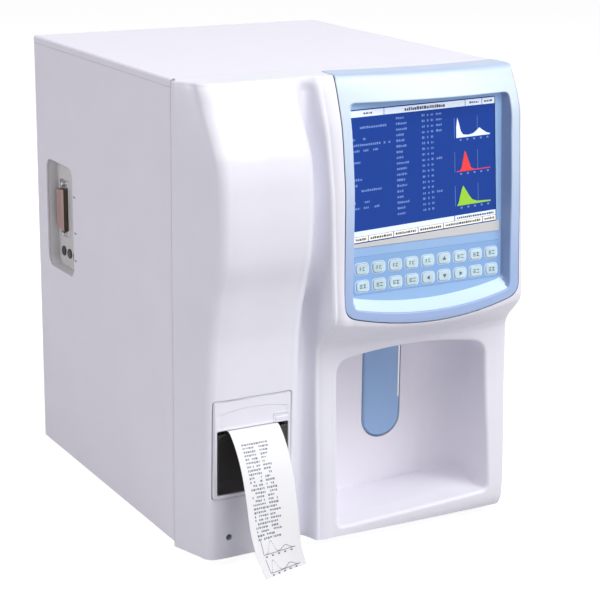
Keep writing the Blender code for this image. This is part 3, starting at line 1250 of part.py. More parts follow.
def make_recorder_case():
    """The recorder's case: face, paper well, and bearings for the roller and the door."""
    rear = RECORDER_FACE_Y + RECORDER_DEPTH
    case = add_part("recorder_case", recorder_box(FIT_GAP, RECORDER_FACE_Y, rear), "housing_white")
    well_top = PAPER_EXIT_Z + HEAD_HEIGHT + 2 * FIT_GAP
    well = box((WINDOW_LEFT, RECORDER_FACE_Y + RECORDER_WALL, WINDOW_BOTTOM_Z),
               (WINDOW_RIGHT, rear - RECORDER_WALL, well_top))
    mouth = box((WINDOW_LEFT, RECORDER_FACE_Y - OVERRUN, WINDOW_BOTTOM_Z),
                (WINDOW_RIGHT, RECORDER_FACE_Y + 2 * RECORDER_WALL, WINDOW_TOP_Z))
    cut(case, well, mouth)
    latch_left = WINDOW_RIGHT - LATCH_WIDTH - FIT_GAP
    cut(case, box((latch_left, RECORDER_FACE_Y - OVERRUN, WINDOW_TOP_Z - OVERRUN / 4),
                  (WINDOW_RIGHT + FIT_GAP, RECORDER_FACE_Y + RECORDER_WALL + FIT_GAP,
                   WINDOW_TOP_Z + LATCH_HEIGHT + LATCH_TRAVEL + FIT_GAP)))
    reach = HINGE_PIN_REACH + FIT_GAP
    for radius, y, z in (
            (PLATEN_SHAFT + FIT_GAP, PLATEN_Y, platen_place()),
            (HINGE_PIN_RADIUS + FIT_GAP, door_axis_y(), WINDOW_BOTTOM_Z + DOOR_HINGE_RISE)):
        cut(case, cylinder(radius, WINDOW_LEFT - reach, WINDOW_RIGHT + reach, (y, z), "X", SMALL_SEGMENTS))


def door_axis_y():
    """The door's hinge runs in the middle of its own thickness."""
    return RECORDER_FACE_Y + DOOR_THICK / 2


def make_recorder_door():
    """The smoked door, hinged along its lower edge on two pins moulded with it."""
    axis = (door_axis_y(), WINDOW_BOTTOM_Z + DOOR_HINGE_RISE)
    door = add_part("recorder_door", box(
        (WINDOW_LEFT + DOOR_GAP, RECORDER_FACE_Y, WINDOW_BOTTOM_Z + DOOR_GAP),
        (WINDOW_RIGHT - DOOR_GAP, RECORDER_FACE_Y + DOOR_THICK, DOOR_TOP_Z)), "smoked_plastic",
        pivot=((WINDOW_LEFT + WINDOW_RIGHT) / 2, axis[0], axis[1]))
    join(door, cylinder(
        HINGE_PIN_RADIUS, WINDOW_LEFT - HINGE_PIN_REACH, WINDOW_RIGHT + HINGE_PIN_REACH, axis, "X",
        SMALL_SEGMENTS))


def make_recorder_latch():
    """The slide that frees the door."""
    right = WINDOW_RIGHT
    left = right - LATCH_WIDTH + FIT_GAP
    add_part("recorder_latch", box(
        (left, RECORDER_FACE_Y - LATCH_PROUD, WINDOW_TOP_Z), (right, RECORDER_FACE_Y + RECORDER_WALL,
                                                              WINDOW_TOP_Z + LATCH_HEIGHT)),
        "housing_white", pivot=((left + right) / 2, RECORDER_FACE_Y, WINDOW_TOP_Z))


def gear_outline(radius, tooth, teeth, centre):
    """A simple toothed outline, four points to a tooth."""
    points = []
    for i in range(teeth):
        for share, reach in ((0.0, -tooth / 2), (0.2, -tooth / 2), (0.4, tooth / 2), (0.8, tooth / 2)):
            turn = 2 * math.pi * (i + share) / teeth
            points.append((centre[0] + (radius + reach) * math.cos(turn),
                           centre[1] + (radius + reach) * math.sin(turn)))
    return points


def make_recorder_works():
    """Platen roller on its geared shaft, print head, and the paper roll lying in the well."""
    z = platen_place()
    left = WINDOW_LEFT + FIT_GAP
    right = WINDOW_RIGHT - FIT_GAP
    gear_left = right - GEAR_WIDTH
    roller_left = PAPER_CENTRE_X - PAPER_WIDTH / 2 - FIT_GAP
    roller_right = PAPER_CENTRE_X + PAPER_WIDTH / 2 + FIT_GAP
    roller = add_part("platen_roller", cylinder(
        PLATEN_RADIUS, roller_left, roller_right, (PLATEN_Y, z), "X", SEGMENTS), "rubber", smooth=35,
        pivot=(PAPER_CENTRE_X, PLATEN_Y, z))
    reach = HINGE_PIN_REACH
    join(roller, cylinder(PLATEN_SHAFT, WINDOW_LEFT - reach, WINDOW_RIGHT + reach, (PLATEN_Y, z), "X",
                          SMALL_SEGMENTS))
    join(roller, prism(
        [gear_outline(PLATEN_RADIUS - GEAR_TOOTH / 2, GEAR_TOOTH, GEAR_TEETH, (PLATEN_Y, z))], gear_left,
        right - FIT_GAP, "YZ"))
    head_bottom = PAPER_EXIT_Z + PAPER_THICK / 2 + FIT_GAP
    add_part("print_head", box(
        (left, PLATEN_Y - HEAD_DEPTH / 2 + 2 * FIT_GAP, head_bottom),
        (right, PLATEN_Y + HEAD_DEPTH / 2 + 2 * FIT_GAP, head_bottom + HEAD_HEIGHT)), "black_plastic")
    roll = add_part("paper_roll", cylinder(
        ROLL_RADIUS, roller_left, roller_right, (ROLL_Y, ROLL_Z), "X", SEGMENTS), "paper", smooth=35,
        pivot=(PAPER_CENTRE_X, ROLL_Y, ROLL_Z))
    cut(roll, cylinder(ROLL_BORE, left, right, (ROLL_Y, ROLL_Z), "X", SMALL_SEGMENTS))


def paper_route():
    """Centre line of the printed strip: out over the roller, then curling down to the table."""
    start_y = PLATEN_Y + PLATEN_RADIUS / 2
    points = []
    for i in range(PAPER_STEPS + 1):
        share = i / PAPER_STEPS
        y = start_y + (PAPER_END_Y - start_y) * share
        z = PAPER_EXIT_Z - (PAPER_EXIT_Z - PAPER_END_Z) * follow(PAPER_DROP_SHARES, share)
        points.append((PAPER_DRIFT * follow(PAPER_DROP_SHARES, share), y, z))
    return points


def make_paper_strip():
    """The printed strip, a loft along its curl that drifts to the right as it falls."""
    route = paper_route()
    sections = []
    for i, (drift, y, z) in enumerate(route):
        before = route[max(i - 1, 0)]
        after = route[min(i + 1, len(route) - 1)]
        run = Vector((after[1] - before[1], after[2] - before[2])).normalized()
        ny, nz = run.y * PAPER_THICK / 2, -run.x * PAPER_THICK / 2
        left = PAPER_CENTRE_X - PAPER_WIDTH / 2 + drift
        right = left + PAPER_WIDTH
        sections.append([(left, y + ny, z + nz), (right, y + ny, z + nz), (right, y - ny, z - nz),
                         (left, y - ny, z - nz)])
    add_part("paper_strip", loft(sections), "paper", smooth=35,
             pivot=(PAPER_CENTRE_X, RECORDER_FACE_Y, PAPER_EXIT_Z))


def make_status_lamp():
    """The lamp low on the column, a domed light pipe."""
    face = -COLUMN_REACH * COLUMN_FACE_SHARES[0][1]
    profile = [(0.0, LAMP_LENGTH), (LAMP_RADIUS, LAMP_LENGTH), (LAMP_RADIUS, LAMP_RADIUS / 2)]
    profile += [(LAMP_RADIUS * math.cos(a), LAMP_RADIUS / 2 * (1 - math.sin(a)))
                for a in (math.pi / 6, math.pi / 3)]
    profile.append((0.0, 0.0))
    mesh = turned(profile, "Y", (LAMP_X, LAMP_Z), SMALL_SEGMENTS)
    mesh.transform(Matrix.Translation((0.0, face - LAMP_RADIUS / 2, 0.0)))
    add_part("status_lamp", mesh, "lamp_dark", smooth=35)


# Connector recess

def make_port_tray():
    """The tray behind the left cover's window and the connectors on its floor."""
    outer = -BODY_WIDTH / 2 + COVER_WALL + FIT_GAP
    floor = outer + PORT_DEPTH
    rim = 2 * PORT_WALL
    outline = rounded_rectangle(
        PORT_FRONT_Y - rim, PORT_REAR_Y + rim, PORT_BOTTOM_Z - rim, PORT_TOP_Z + rim, PORT_CORNER)
    inner = rounded_rectangle(PORT_FRONT_Y, PORT_REAR_Y, PORT_BOTTOM_Z, PORT_TOP_Z, PORT_CORNER)
    tray = add_part("port_tray", prism([outline], outer, floor + PORT_WALL, "YZ"), "cover_paint", smooth=35)
    cut(tray, prism([inner], outer - OVERRUN, floor, "YZ"))
    make_dsub("parallel_port", DSUB_Y, DSUB_Z, DSUB_HEIGHT, DSUB_SHELL_HEIGHT, floor, "port_beige")
    upper_z = ROUND_PORT_Z + ROUND_PORT_PITCH
    for y, z in ((SERIAL_Y, ROUND_PORT_Z), (DSUB_Y, ROUND_PORT_Z), (SERIAL_Y, upper_z)):
        profile = [
            (0.0, floor + PORT_WALL / 2), (ROUND_PORT_RADIUS, floor + PORT_WALL / 2),
            (ROUND_PORT_RADIUS, floor - ROUND_PORT_DEPTH),
            (ROUND_PORT_RADIUS - 2 * DSUB_FLANGE, floor - ROUND_PORT_DEPTH),
            (ROUND_PORT_RADIUS - 2 * DSUB_FLANGE, floor - ROUND_PORT_DEPTH / 3),
            (0.0, floor - ROUND_PORT_DEPTH / 3)]
        join(tray, turned(profile, "X", (y, z), SMALL_SEGMENTS))


def make_dsub(name, y, z, height, shell_height, floor, material):
    """A connector standing on the tray's floor: flange, raised shell with its socket face, and posts."""
    face = floor - FIT_GAP
    flange = face - DSUB_FLANGE
    port = add_part(name, box(
        (flange, y - DSUB_WIDTH / 2, z - height / 2), (face, y + DSUB_WIDTH / 2, z + height / 2)), material)
    slant = DSUB_FLANGE
    half_w, half_h = DSUB_SHELL_WIDTH / 2, shell_height / 2
    outline = [(y - half_w, z - half_h), (y + half_w, z - half_h + slant), (y + half_w, z + half_h - slant),
               (y - half_w, z + half_h)]
    join(port, prism([outline], flange - DSUB_SHELL, flange + DSUB_FLANGE / 2, "YZ"))
    post_z = (height / 2 + shell_height / 2) / 2
    for side in (-1, 1):
        join(port, cylinder(
            POST_RADIUS, flange - POST_LENGTH, flange + DSUB_FLANGE / 2, (y, z + side * post_z), "X", 6))


# Rear panel fittings

def make_fan():
    """The exhaust fan: frame against the rear panel, rotor free in its bore."""
    rear = REAR_Y - FIT_GAP
    front = rear - FAN_DEPTH
    half = FAN_SIZE / 2
    frame = add_part("fan_frame", box(
        (FAN_X - half, front, FAN_Z - half), (FAN_X + half, rear, FAN_Z + half)), "black_plastic")
    cut(frame, cylinder(FAN_BORE, front - OVERRUN, rear + OVERRUN, (FAN_X, FAN_Z), "Y"))
    spoke = FAN_SLOT_WIDTH / 2
    for turn in (0.0, math.pi / 2):
        bar = box((-FAN_BORE - spoke, front, -spoke), (FAN_BORE + spoke, front + spoke, spoke))
        bar.transform(Matrix.Rotation(turn, 4, "Y"))
        bar.transform(Matrix.Translation((FAN_X, 0.0, FAN_Z)))
        join(frame, bar)
    hub_front = front + spoke + FIT_GAP
    hub_rear = rear - 2 * FIT_GAP
    rotor = add_part("fan_rotor", cylinder(FAN_HUB, hub_front, hub_rear, (FAN_X, FAN_Z), "Y", FAN_BLADES * 3),
                     "black_plastic", pivot=(FAN_X, hub_front, FAN_Z))
    blade_reach = FAN_BORE - 2 * FIT_GAP - spoke / 2
    for i in range(FAN_BLADES):
        blade = box((FAN_HUB - spoke / 2, -FAN_BLADE_LENGTH / 2, -FAN_BLADE_THICK / 2),
                    (blade_reach, FAN_BLADE_LENGTH / 2, FAN_BLADE_THICK / 2))
        blade.transform(Matrix.Rotation(FAN_BLADE_PITCH, 4, "X"))
        blade.transform(Matrix.Rotation(2 * math.pi * i / FAN_BLADES, 4, "Y"))
        blade.transform(Matrix.Translation((FAN_X, (hub_front + hub_rear) / 2, FAN_Z)))
        join(rotor, blade)


def make_mains():
    """Mains inlet and the rocker switch beside it."""
    half_w, half_h = INLET_FLANGE_WIDTH / 2, INLET_FLANGE_HEIGHT / 2
    face = REAR_FACE_Y + FIT_GAP
    inlet = add_part("mains_inlet", prism([rounded_rectangle(
        INLET_X - half_w, INLET_X + half_w, INLET_Z - half_h, INLET_Z + half_h, 2 * INLET_FLANGE)],
        face, face + INLET_FLANGE, "XZ"), "black_plastic", smooth=35)
    body_w, body_h = INLET_WIDTH / 2 - FIT_GAP, INLET_HEIGHT / 2 - FIT_GAP
    join(inlet, box((INLET_X - body_w, face + INLET_FLANGE - INLET_DEPTH, INLET_Z - body_h),
                    (INLET_X + body_w, face + INLET_FLANGE / 2, INLET_Z + body_h)))
    floor = face + INLET_FLANGE - INLET_DEPTH + 2 * INLET_WALL
    cut(inlet, box((INLET_X - body_w + INLET_WALL, floor, INLET_Z - body_h + 2 * INLET_WALL),
                   (INLET_X + body_w - INLET_WALL, face + OVERRUN, INLET_Z + body_h - 2 * INLET_WALL)))
    for offset, rise in ((-INLET_PIN_PITCH, 0.0), (0.0, INLET_PIN_RISE), (INLET_PIN_PITCH, 0.0)):
        x, z = INLET_X + offset, INLET_Z + rise
        join(inlet, box((x - INLET_PIN_THICK / 2, floor - INLET_WALL, z - INLET_PIN_HEIGHT / 2),
                        (x + INLET_PIN_THICK / 2, face - INLET_WALL, z + INLET_PIN_HEIGHT / 2)))
    make_rocker(inlet, face)


def make_rocker(inlet, face):
    """The switch's frame, one moulding with the inlet's flange, and its rocker."""
    frame_w, frame_h = ROCKER_WIDTH / 2 + ROCKER_FRAME / 2, ROCKER_HEIGHT / 2 + ROCKER_FRAME / 2
    wall = ROCKER_FRAME / 2
    body_w, body_h = ROCKER_WIDTH / 2 - FIT_GAP, ROCKER_HEIGHT / 2 - FIT_GAP
    join(inlet, box(
        (ROCKER_X - frame_w, face, INLET_Z - frame_h),
        (INLET_X - INLET_FLANGE_WIDTH / 4, face + INLET_FLANGE / 2, INLET_Z + frame_h)))
    join(inlet, box((ROCKER_X - body_w, face - ROCKER_DEPTH, INLET_Z - body_h),
                    (ROCKER_X + body_w, face + INLET_FLANGE / 4, INLET_Z + body_h)))
    cut(inlet, box((ROCKER_X - body_w + wall, face - ROCKER_DEPTH + wall, INLET_Z - body_h + wall),
                   (ROCKER_X + body_w - wall, face + OVERRUN, INLET_Z + body_h - wall)))
    key_w = body_w - wall - FIT_GAP
    key_h = body_h - wall - 4 * FIT_GAP
    rise = ROCKER_FRAME
    outline = [
        (-ROCKER_SWING / 2, -key_h / 2), (ROCKER_SWING - rise / 2, -key_h), (ROCKER_SWING + rise / 2, -key_h),
        (ROCKER_SWING + rise / 4, 0.0), (ROCKER_SWING + rise / 2, key_h), (ROCKER_SWING - rise / 2, key_h),
        (-ROCKER_SWING / 2, key_h / 2)]
    pivot = (ROCKER_X, face - ROCKER_SWING, INLET_Z)
    key = prism([outline], -key_w, key_w, "YZ")
    key.transform(Matrix.Rotation(ROCKER_TILT, 4, "X"))
    key.transform(Matrix.Translation(pivot))
    add_part("power_rocker", key, "black_plastic", pivot=pivot)


def make_fittings():
    """The fluid ports: one moulding with a flange and a row of barbed nipples through the rear panel."""
    face = REAR_FACE_Y + FIT_GAP
    neck = FITTING_RADIUS - FITTING_BARB / 2 - FIT_GAP
    stem = FITTING_RADIUS - FITTING_BARB
    length = REAR_REACH - face
    flange = face + length / 4
    places = fitting_places()
    edge = FITTING_RADIUS + FITTING_BARB / 2
    ports = add_part("fluid_ports", prism([rounded_rectangle(
        places[0] - edge, places[-1] + edge, FITTING_Z - edge, FITTING_Z + edge, FITTING_RADIUS)],
        face, flange, "XZ"), "grey_plastic", smooth=35)
    for x in places:
        profile = [
            (0.0, REAR_REACH), (stem, REAR_REACH), (stem + FITTING_BARB / 2, REAR_REACH - length / 3),
            (stem, REAR_REACH - length / 3), (stem, flange - length / 8), (neck, flange - length / 8),
            (neck, REAR_Y - length), (0.0, REAR_Y - length)]
        join(ports, turned(profile, "Y", (x, FITTING_Z), SMALL_SEGMENTS))
    for x in places:
        cut(ports, cylinder(FITTING_BORE, REAR_Y - length - OVERRUN, REAR_REACH + OVERRUN, (x, FITTING_Z),
                            "Y", SMALL_SEGMENTS))


# Works inside the cabinet

def make_chassis():
    """The upright plate that carries fluidics in front and the main board behind."""
    half = BODY_WIDTH / 2 - COVER_WALL - 2 * FIT_GAP
    add_part("chassis_plate", box(
        (-half, PLATE_Y, BASE_Z + BASE_THICK + FIT_GAP), (half, PLATE_Y + PLATE_WALL, PLATE_TOP_Z)), "steel")


def make_syringes():
    """Syringe block with two barrels, and the plunger pair that a drive raises and lowers."""
    face = PLATE_Y - FIT_GAP
    axis_y = face - SYRINGE_BLOCK_DEPTH / 2
    half = SYRINGE_BLOCK_WIDTH / 2
    block = add_part("syringe_block", box(
        (SYRINGE_X - half, face - SYRINGE_BLOCK_DEPTH, SYRINGE_Z),
        (SYRINGE_X + half, face, SYRINGE_Z + SYRINGE_BLOCK_HEIGHT)), "clear_acrylic")
    foot = SYRINGE_Z - SYRINGE_LENGTH
    places = [SYRINGE_X - SYRINGE_PITCH / 2, SYRINGE_X + SYRINGE_PITCH / 2]
    for x in places:
        join(block, cylinder(SYRINGE_RADIUS, foot, SYRINGE_Z + PLUNGER_HEAD, (x, axis_y), "Z"))
    for x in places:
        cut(block, cylinder(SYRINGE_RADIUS - SYRINGE_WALL, foot - OVERRUN, SYRINGE_Z + PLUNGER_HEAD / 2,
                            (x, axis_y), "Z"))
    top = foot + PLUNGER_TRAVEL
    bar_top = top - PLUNGER_LENGTH + PLUNGER_HEAD
    plungers = add_part("syringe_plungers", box(
        (places[0] - PLUNGER_HEAD, axis_y - PLUNGER_HEAD, top - PLUNGER_LENGTH),
        (places[1] + PLUNGER_HEAD, axis_y + PLUNGER_HEAD, bar_top)), "steel", smooth=35,
        pivot=(SYRINGE_X, axis_y, top - PLUNGER_LENGTH))
    for x in places:
        join(plungers, cylinder(PLUNGER_ROD, bar_top - PLUNGER_HEAD / 2, top, (x, axis_y), "Z",
                                SMALL_SEGMENTS))
        join(plungers, cylinder(SYRINGE_RADIUS - SYRINGE_WALL - FIT_GAP, top - PLUNGER_HEAD, top,
                                (x, axis_y), "Z"))


def make_baths():
    """Two counting baths on a bracket."""
    face = PLATE_Y - FIT_GAP
    axis_y = face - 2 * BATH_RADIUS
    places = [BATH_X - BATH_PITCH / 2, BATH_X + BATH_PITCH / 2]
    bracket = add_part("counting_baths", box(
        (places[0] - 2 * BATH_RADIUS, face - BATH_BRACKET, BATH_Z),
        (places[1] + 2 * BATH_RADIUS, face, BATH_Z + BATH_HEIGHT)), "clear_acrylic", smooth=35)
    join(bracket, box(
        (places[0] - BATH_RADIUS, axis_y - BATH_RADIUS / 2, BATH_Z),
        (places[1] + BATH_RADIUS, face - BATH_BRACKET / 2, BATH_Z + BATH_BRACKET)))
    for x in places:
        join(bracket, cylinder(BATH_RADIUS, BATH_Z - BATH_FLOOR, BATH_Z + BATH_HEIGHT, (x, axis_y), "Z"))
    for x in places:
        cut(bracket, cylinder(BATH_RADIUS - BATH_WALL, BATH_Z + BATH_FLOOR, BATH_Z + BATH_HEIGHT + OVERRUN,
                              (x, axis_y), "Z"))


def make_electronics():
    """Main board behind the chassis plate and the power supply on the base."""
    face = PLATE_Y + PLATE_WALL + FIT_GAP
    board = add_part("main_board", box(
        (-BOARD_WIDTH / 2, face + BOARD_STANDOFF, BOARD_Z - BOARD_HEIGHT / 2),
        (BOARD_WIDTH / 2, face + BOARD_STANDOFF + BOARD_THICK, BOARD_Z + BOARD_HEIGHT / 2)),
        "circuit_green")
    inset = 3 * BOARD_STANDOFF / 2
    for side in (-1, 1):
        for rise in (-1, 1):
            join(board, cylinder(
                BOARD_STANDOFF / 2, face, face + BOARD_STANDOFF + BOARD_THICK / 2,
                (side * (BOARD_WIDTH / 2 - inset), BOARD_Z + rise * (BOARD_HEIGHT / 2 - inset)), "Y", 6))
        join(board, box(
            (side * BOARD_WIDTH / 4 - CHIP_SIZE / 2, face + BOARD_STANDOFF + BOARD_THICK / 2,
             BOARD_Z - CHIP_SIZE / 2),
            (side * BOARD_WIDTH / 4 + CHIP_SIZE / 2, face + BOARD_STANDOFF + BOARD_THICK + CHIP_HEIGHT,
             BOARD_Z + CHIP_SIZE / 2)))
    foot = BASE_Z + BASE_THICK + FIT_GAP
    add_part("power_supply", box(
        (SUPPLY_X - SUPPLY_WIDTH / 2, SUPPLY_Y - SUPPLY_DEPTH / 2, foot),
        (SUPPLY_X + SUPPLY_WIDTH / 2, SUPPLY_Y + SUPPLY_DEPTH / 2, foot + SUPPLY_HEIGHT), EDGE_RADIUS / 2,
        1), "aluminium")


make_front_housing()
make_covers()
make_rear_panel()
make_base()
make_screen_bezel()
make_display()
make_keypad()
make_sample_bay()
make_aspirate_key()
make_probe_lift()
make_recorder_case()
make_recorder_door()
make_recorder_latch()
make_recorder_works()
make_paper_strip()
make_status_lamp()
make_port_tray()
make_fan()
make_mains()
make_fittings()
make_chassis()
make_syringes()
make_baths()
make_electronics()
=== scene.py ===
"""The looks of a bench-top blood counter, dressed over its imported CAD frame.

Metres, +Z up, the front faces -Y. Shapes are worked out in the seam frame, whose Y is zero at the seam
between the front housing and the covers; SEAM_Y, read from the frame, moves them into the row's frame.
"""
import math
import random

import bmesh
import bpy
import numpy as np
from mathutils import Matrix, Vector
from mathutils.geometry import delaunay_2d_cdt


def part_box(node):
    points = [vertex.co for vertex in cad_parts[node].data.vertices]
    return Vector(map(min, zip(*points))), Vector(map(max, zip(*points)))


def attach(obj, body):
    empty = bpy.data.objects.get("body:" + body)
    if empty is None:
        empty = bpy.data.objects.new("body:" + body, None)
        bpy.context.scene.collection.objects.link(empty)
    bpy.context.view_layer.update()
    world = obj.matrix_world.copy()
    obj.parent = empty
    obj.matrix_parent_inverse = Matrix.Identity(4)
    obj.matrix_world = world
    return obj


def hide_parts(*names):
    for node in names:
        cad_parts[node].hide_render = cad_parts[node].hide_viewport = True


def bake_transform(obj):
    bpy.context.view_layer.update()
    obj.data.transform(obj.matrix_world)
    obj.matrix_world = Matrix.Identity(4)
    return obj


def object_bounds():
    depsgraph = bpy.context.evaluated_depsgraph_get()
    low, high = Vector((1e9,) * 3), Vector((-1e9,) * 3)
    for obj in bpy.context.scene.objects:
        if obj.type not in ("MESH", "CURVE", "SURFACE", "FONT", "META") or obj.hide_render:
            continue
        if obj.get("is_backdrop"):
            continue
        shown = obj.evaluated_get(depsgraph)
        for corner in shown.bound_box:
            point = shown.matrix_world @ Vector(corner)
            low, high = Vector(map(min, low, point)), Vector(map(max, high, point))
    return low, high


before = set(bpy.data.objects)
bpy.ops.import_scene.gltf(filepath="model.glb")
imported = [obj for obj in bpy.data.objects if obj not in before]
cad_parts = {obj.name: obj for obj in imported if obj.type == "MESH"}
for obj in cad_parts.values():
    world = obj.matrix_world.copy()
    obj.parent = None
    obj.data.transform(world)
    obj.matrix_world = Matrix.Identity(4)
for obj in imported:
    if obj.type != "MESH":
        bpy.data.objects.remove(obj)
CAD_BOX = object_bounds()

MM = 0.001
CABINET = "cabinet"
FIT_GAP = 0.3 * MM
SEAM_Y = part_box("front_housing")[1].y + FIT_GAP
OFFSET = (0.0, SEAM_Y, 0.0)

# Front housing, as the CAD has it
BODY_WIDTH = 322 * MM
BODY_HEIGHT = 437 * MM
BODY_DEPTH = 322 * MM
FRONT_FOOT = 10 * MM
FRONT_HALF = BODY_WIDTH / 2 + 1 * MM
FRONT_HEIGHT = BODY_HEIGHT - FRONT_FOOT
FRONT_WALL = 3 * MM
EDGE_RADIUS = 2.5 * MM
COLUMN_REACH = 79.5 * MM
COLUMN_CORNER_X = -151.2 * MM
COLUMN_RIGHT_X = -66 * MM
GROOVE_X = -50 * MM
MODULE_LEFT_X = -41 * MM
MODULE_REACH = 76.6 * MM
MODULE_CROWN = 12 * MM
MODULE_CORNER = 5 * MM
MODULE_LEFT_CORNER = 4 * MM
CHIN_BOW = 10 * MM
BASE_SWEEP = 6.5 * MM
CORNER_DEPTH = 13 * MM
CORNER_WIDTH = 12 * MM
CORNER_LEAD = 1 * MM
SEAM_LAND = 4 * MM
SEAM_STEP = 2.4 * MM
SEAM_GAP = 2.5 * MM
SEAM_GAP_EDGE = 0.3 * MM
SEAM_GAP_FALL = 0.2 * MM
COLUMN_FACE_SHARES = (
    (0.0, 0.61), (0.21, 0.63), (0.31, 0.642), (0.385, 0.66), (0.47, 0.692), (0.51, 0.73), (0.58, 0.818),
    (0.65, 0.943), (0.695, 0.981), (0.75, 1.0), (0.80, 0.994), (0.855, 0.943), (0.895, 0.818),
    (0.95, 0.629), (0.985, 0.53), (1.0, 0.45))
GROOVE_SHARES = (
    (0.0, 0.415), (0.515, 0.415), (0.567, 0.528), (0.646, 0.642), (0.72, 0.654), (0.79, 0.591),
    (0.85, 0.503), (0.91, 0.44), (0.97, 0.43), (0.99, 0.46), (1.0, 0.43))
MODULE_FOLD_SHARES = (
    (0.0, 0.679), (0.16, 0.64), (0.315, 0.6), (0.421, 0.594), (0.436, 0.62), (0.45, 0.685), (0.464, 0.777),
    (0.478, 0.868), (0.49, 0.94), (0.501, 0.985), (0.515, 1.0), (0.574, 0.974), (0.677, 0.933),
    (0.759, 0.897), (0.838, 0.816), (0.897, 0.739), (0.944, 0.64), (0.984, 0.543), (0.994, 0.51),
    (1.0, 0.46))
CROWN_SHARES = ((0.0, 0.1), (0.42, 0.1), (0.5, 0.55), (0.6, 0.6), (0.8, 0.85), (0.95, 1.0), (1.0, 1.0))
BOW_SHARES = ((0.0, 0.0), (0.4, 0.0), (0.47, 0.8), (0.52, 1.0), (0.56, 0.7), (0.66, 0.0), (1.0, 0.0))
SWEEP_SHARES = (
    (0.0, -0.3), (0.012, -0.85), (0.03, -1.2), (0.07, -1.4), (0.14, -1.45), (0.3, -1.45), (0.42, -1.35),
    (0.47, -0.6), (0.51, -0.1), (0.75, -0.1), (0.85, -0.6), (0.925, -1.3), (1.0, -0.9))
GROOVE_BLEND_SHARES = ((0.28, 0.15), (0.5, 0.42), (0.72, 0.78))
MODULE_WALL_SHARES = ((0.39, 0.1), (0.72, 0.45), (0.93, 0.86))
MODULE_FACE_SHARES = (0.0, 0.08, 0.18, 0.3, 0.42, 0.54, 0.66, 0.78, 0.9, 1.0)
CORNER_STEP_SHARES = (0.0, 0.25, 0.5, 0.75, 1.0)
GRID = 3.2 * MM
OUTLINE_STEP = 3 * MM
NORMAL_STEP = 0.05 * MM
COLUMN_FACE_X = -138 * MM
CHIN_FOOT_Z = 186 * MM
CHIN_HEAD_Z = 236 * MM
SHOULDER_Z = 405 * MM
MOUTH_DEPTH = 5 * MM
RECORDER_MOUTH_EDGE = 1 * MM
LAMP_MOUTH_EDGE = 0.8 * MM
TOP_GRID_DEPTH = 60 * MM

# How much of the front's domain each side and corner takes up
LEFT_SIDE_REACH = 45 * MM
LEFT_CORNER_REACH = CORNER_WIDTH + 10.8 * MM
RIGHT_CORNER_REACH = 13 * MM
RIGHT_SIDE_REACH = 50 * MM
FIRST_PLACE = -FRONT_HALF - LEFT_SIDE_REACH
LAST_PLACE = FRONT_HALF - MODULE_CORNER + RIGHT_CORNER_REACH + RIGHT_SIDE_REACH + SEAM_LAND
TOP_EDGE_Z = BODY_HEIGHT - EDGE_RADIUS
ROLL_LENGTH = EDGE_RADIUS * math.pi / 2

# Bezel, recess, display and keypad
BEZEL_PROUD = 0.75 * MM
BEZEL_GAP = 0.8 * MM
# Heights of the bezel's painted highlight: it lightens the face between the first two and dims again between
# the last two, over the top edge.
BEZEL_PAINTED_HIGHLIGHT = (250 * MM, 425 * MM, 433 * MM, 437.2 * MM)
BEZEL_LEFT_TOP = -24.5 * MM
BEZEL_LEFT_BOTTOM = -31 * MM
BEZEL_RIGHT_TOP = 158.5 * MM
BEZEL_RIGHT_BOTTOM = 155 * MM
BEZEL_END_Z = 229 * MM
BEZEL_BOW = 13 * MM
BEZEL_CORNER = 12 * MM
BEZEL_REAR_Y = -26 * MM
BEZEL_REAR_CORNER = 6 * MM
BEZEL_EDGE = 0.8 * MM
BEZEL_DEPTH = 2.5 * MM
BEZEL_CARRY = 40 * MM
BEZEL_NOTCH_GAP = 1.2 * MM
BEZEL_GRID_X = (-32 * MM, 162 * MM)
BEZEL_GRID_Z = (214 * MM, 240 * MM, 400 * MM, 470 * MM)
# Bezel slots: painted shade in the gap and the window's reveal, the floor, a painted highlight on the lower
# wall, and painted shade on the right wall.
BEZEL_PAINTED_SHADE, BEZEL_FLOOR, BEZEL_PAINTED_LEDGE_HIGHLIGHT, BEZEL_PAINTED_WALL_SHADE = range(1, 5)
TOP_ROUND = 4 * MM
RECESS_LEFT_TOP = -16.5 * MM
RECESS_LEFT_BOTTOM = -22 * MM
RECESS_RIGHT_TOP = 148.5 * MM
RECESS_RIGHT_BOTTOM = 145 * MM
RECESS_TOP_Z = 413.5 * MM
RECESS_END_Z = 235 * MM
RECESS_BOW = 9 * MM
RECESS_CORNER = 6 * MM
RECESS_SIDE_DRAFT = 3 * MM
RECESS_LOWER_DRAFT = 7.6 * MM
RECESS_ROUND = 1.6 * MM
RECESS_GRID_X = (-26 * MM, 150 * MM)
RECESS_GRID_Z = (225 * MM, 415 * MM)
SCREEN_TOP_Y = -53 * MM
SCREEN_TILT = math.radians(5.0)
SCREEN_CENTRE_X = 62 * MM
SCREEN_WIDTH = 152 * MM
SCREEN_HEIGHT = 116 * MM
SCREEN_CENTRE_Z = 349 * MM
SCREEN_LEAN_LEFT = (-1.3 * MM, 0.8 * MM)
SCREEN_LEAN_RIGHT = (4.8 * MM, 3.2 * MM)
SCREEN_LIP = 5 * MM
SCREEN_REVEAL = 2.5 * MM
LIP_REAR = -0.3 * MM
LIP_FACE = 0.7 * MM
LIP_EDGE = 0.4 * MM
FIELD, PALE, CREAM, MARK, RED, GREEN, FAINT, LIP = range(8)
HEADER_HEIGHT = 5.6 * MM
HEADER_CELLS = ((0.0, 0.222), (0.226, 0.787), (0.791, 0.907), (0.911, 1.0))
HEADER_WORDS = (
    (0.085, 0.145, 1.6 * MM), (0.365, 0.645, 3 * MM), (0.82, 0.885, 1.8 * MM), (0.925, 0.985, 1.8 * MM))
FOOTER_HEIGHT = 4.7 * MM
FOOTER_WORD_RISE = 1.3 * MM
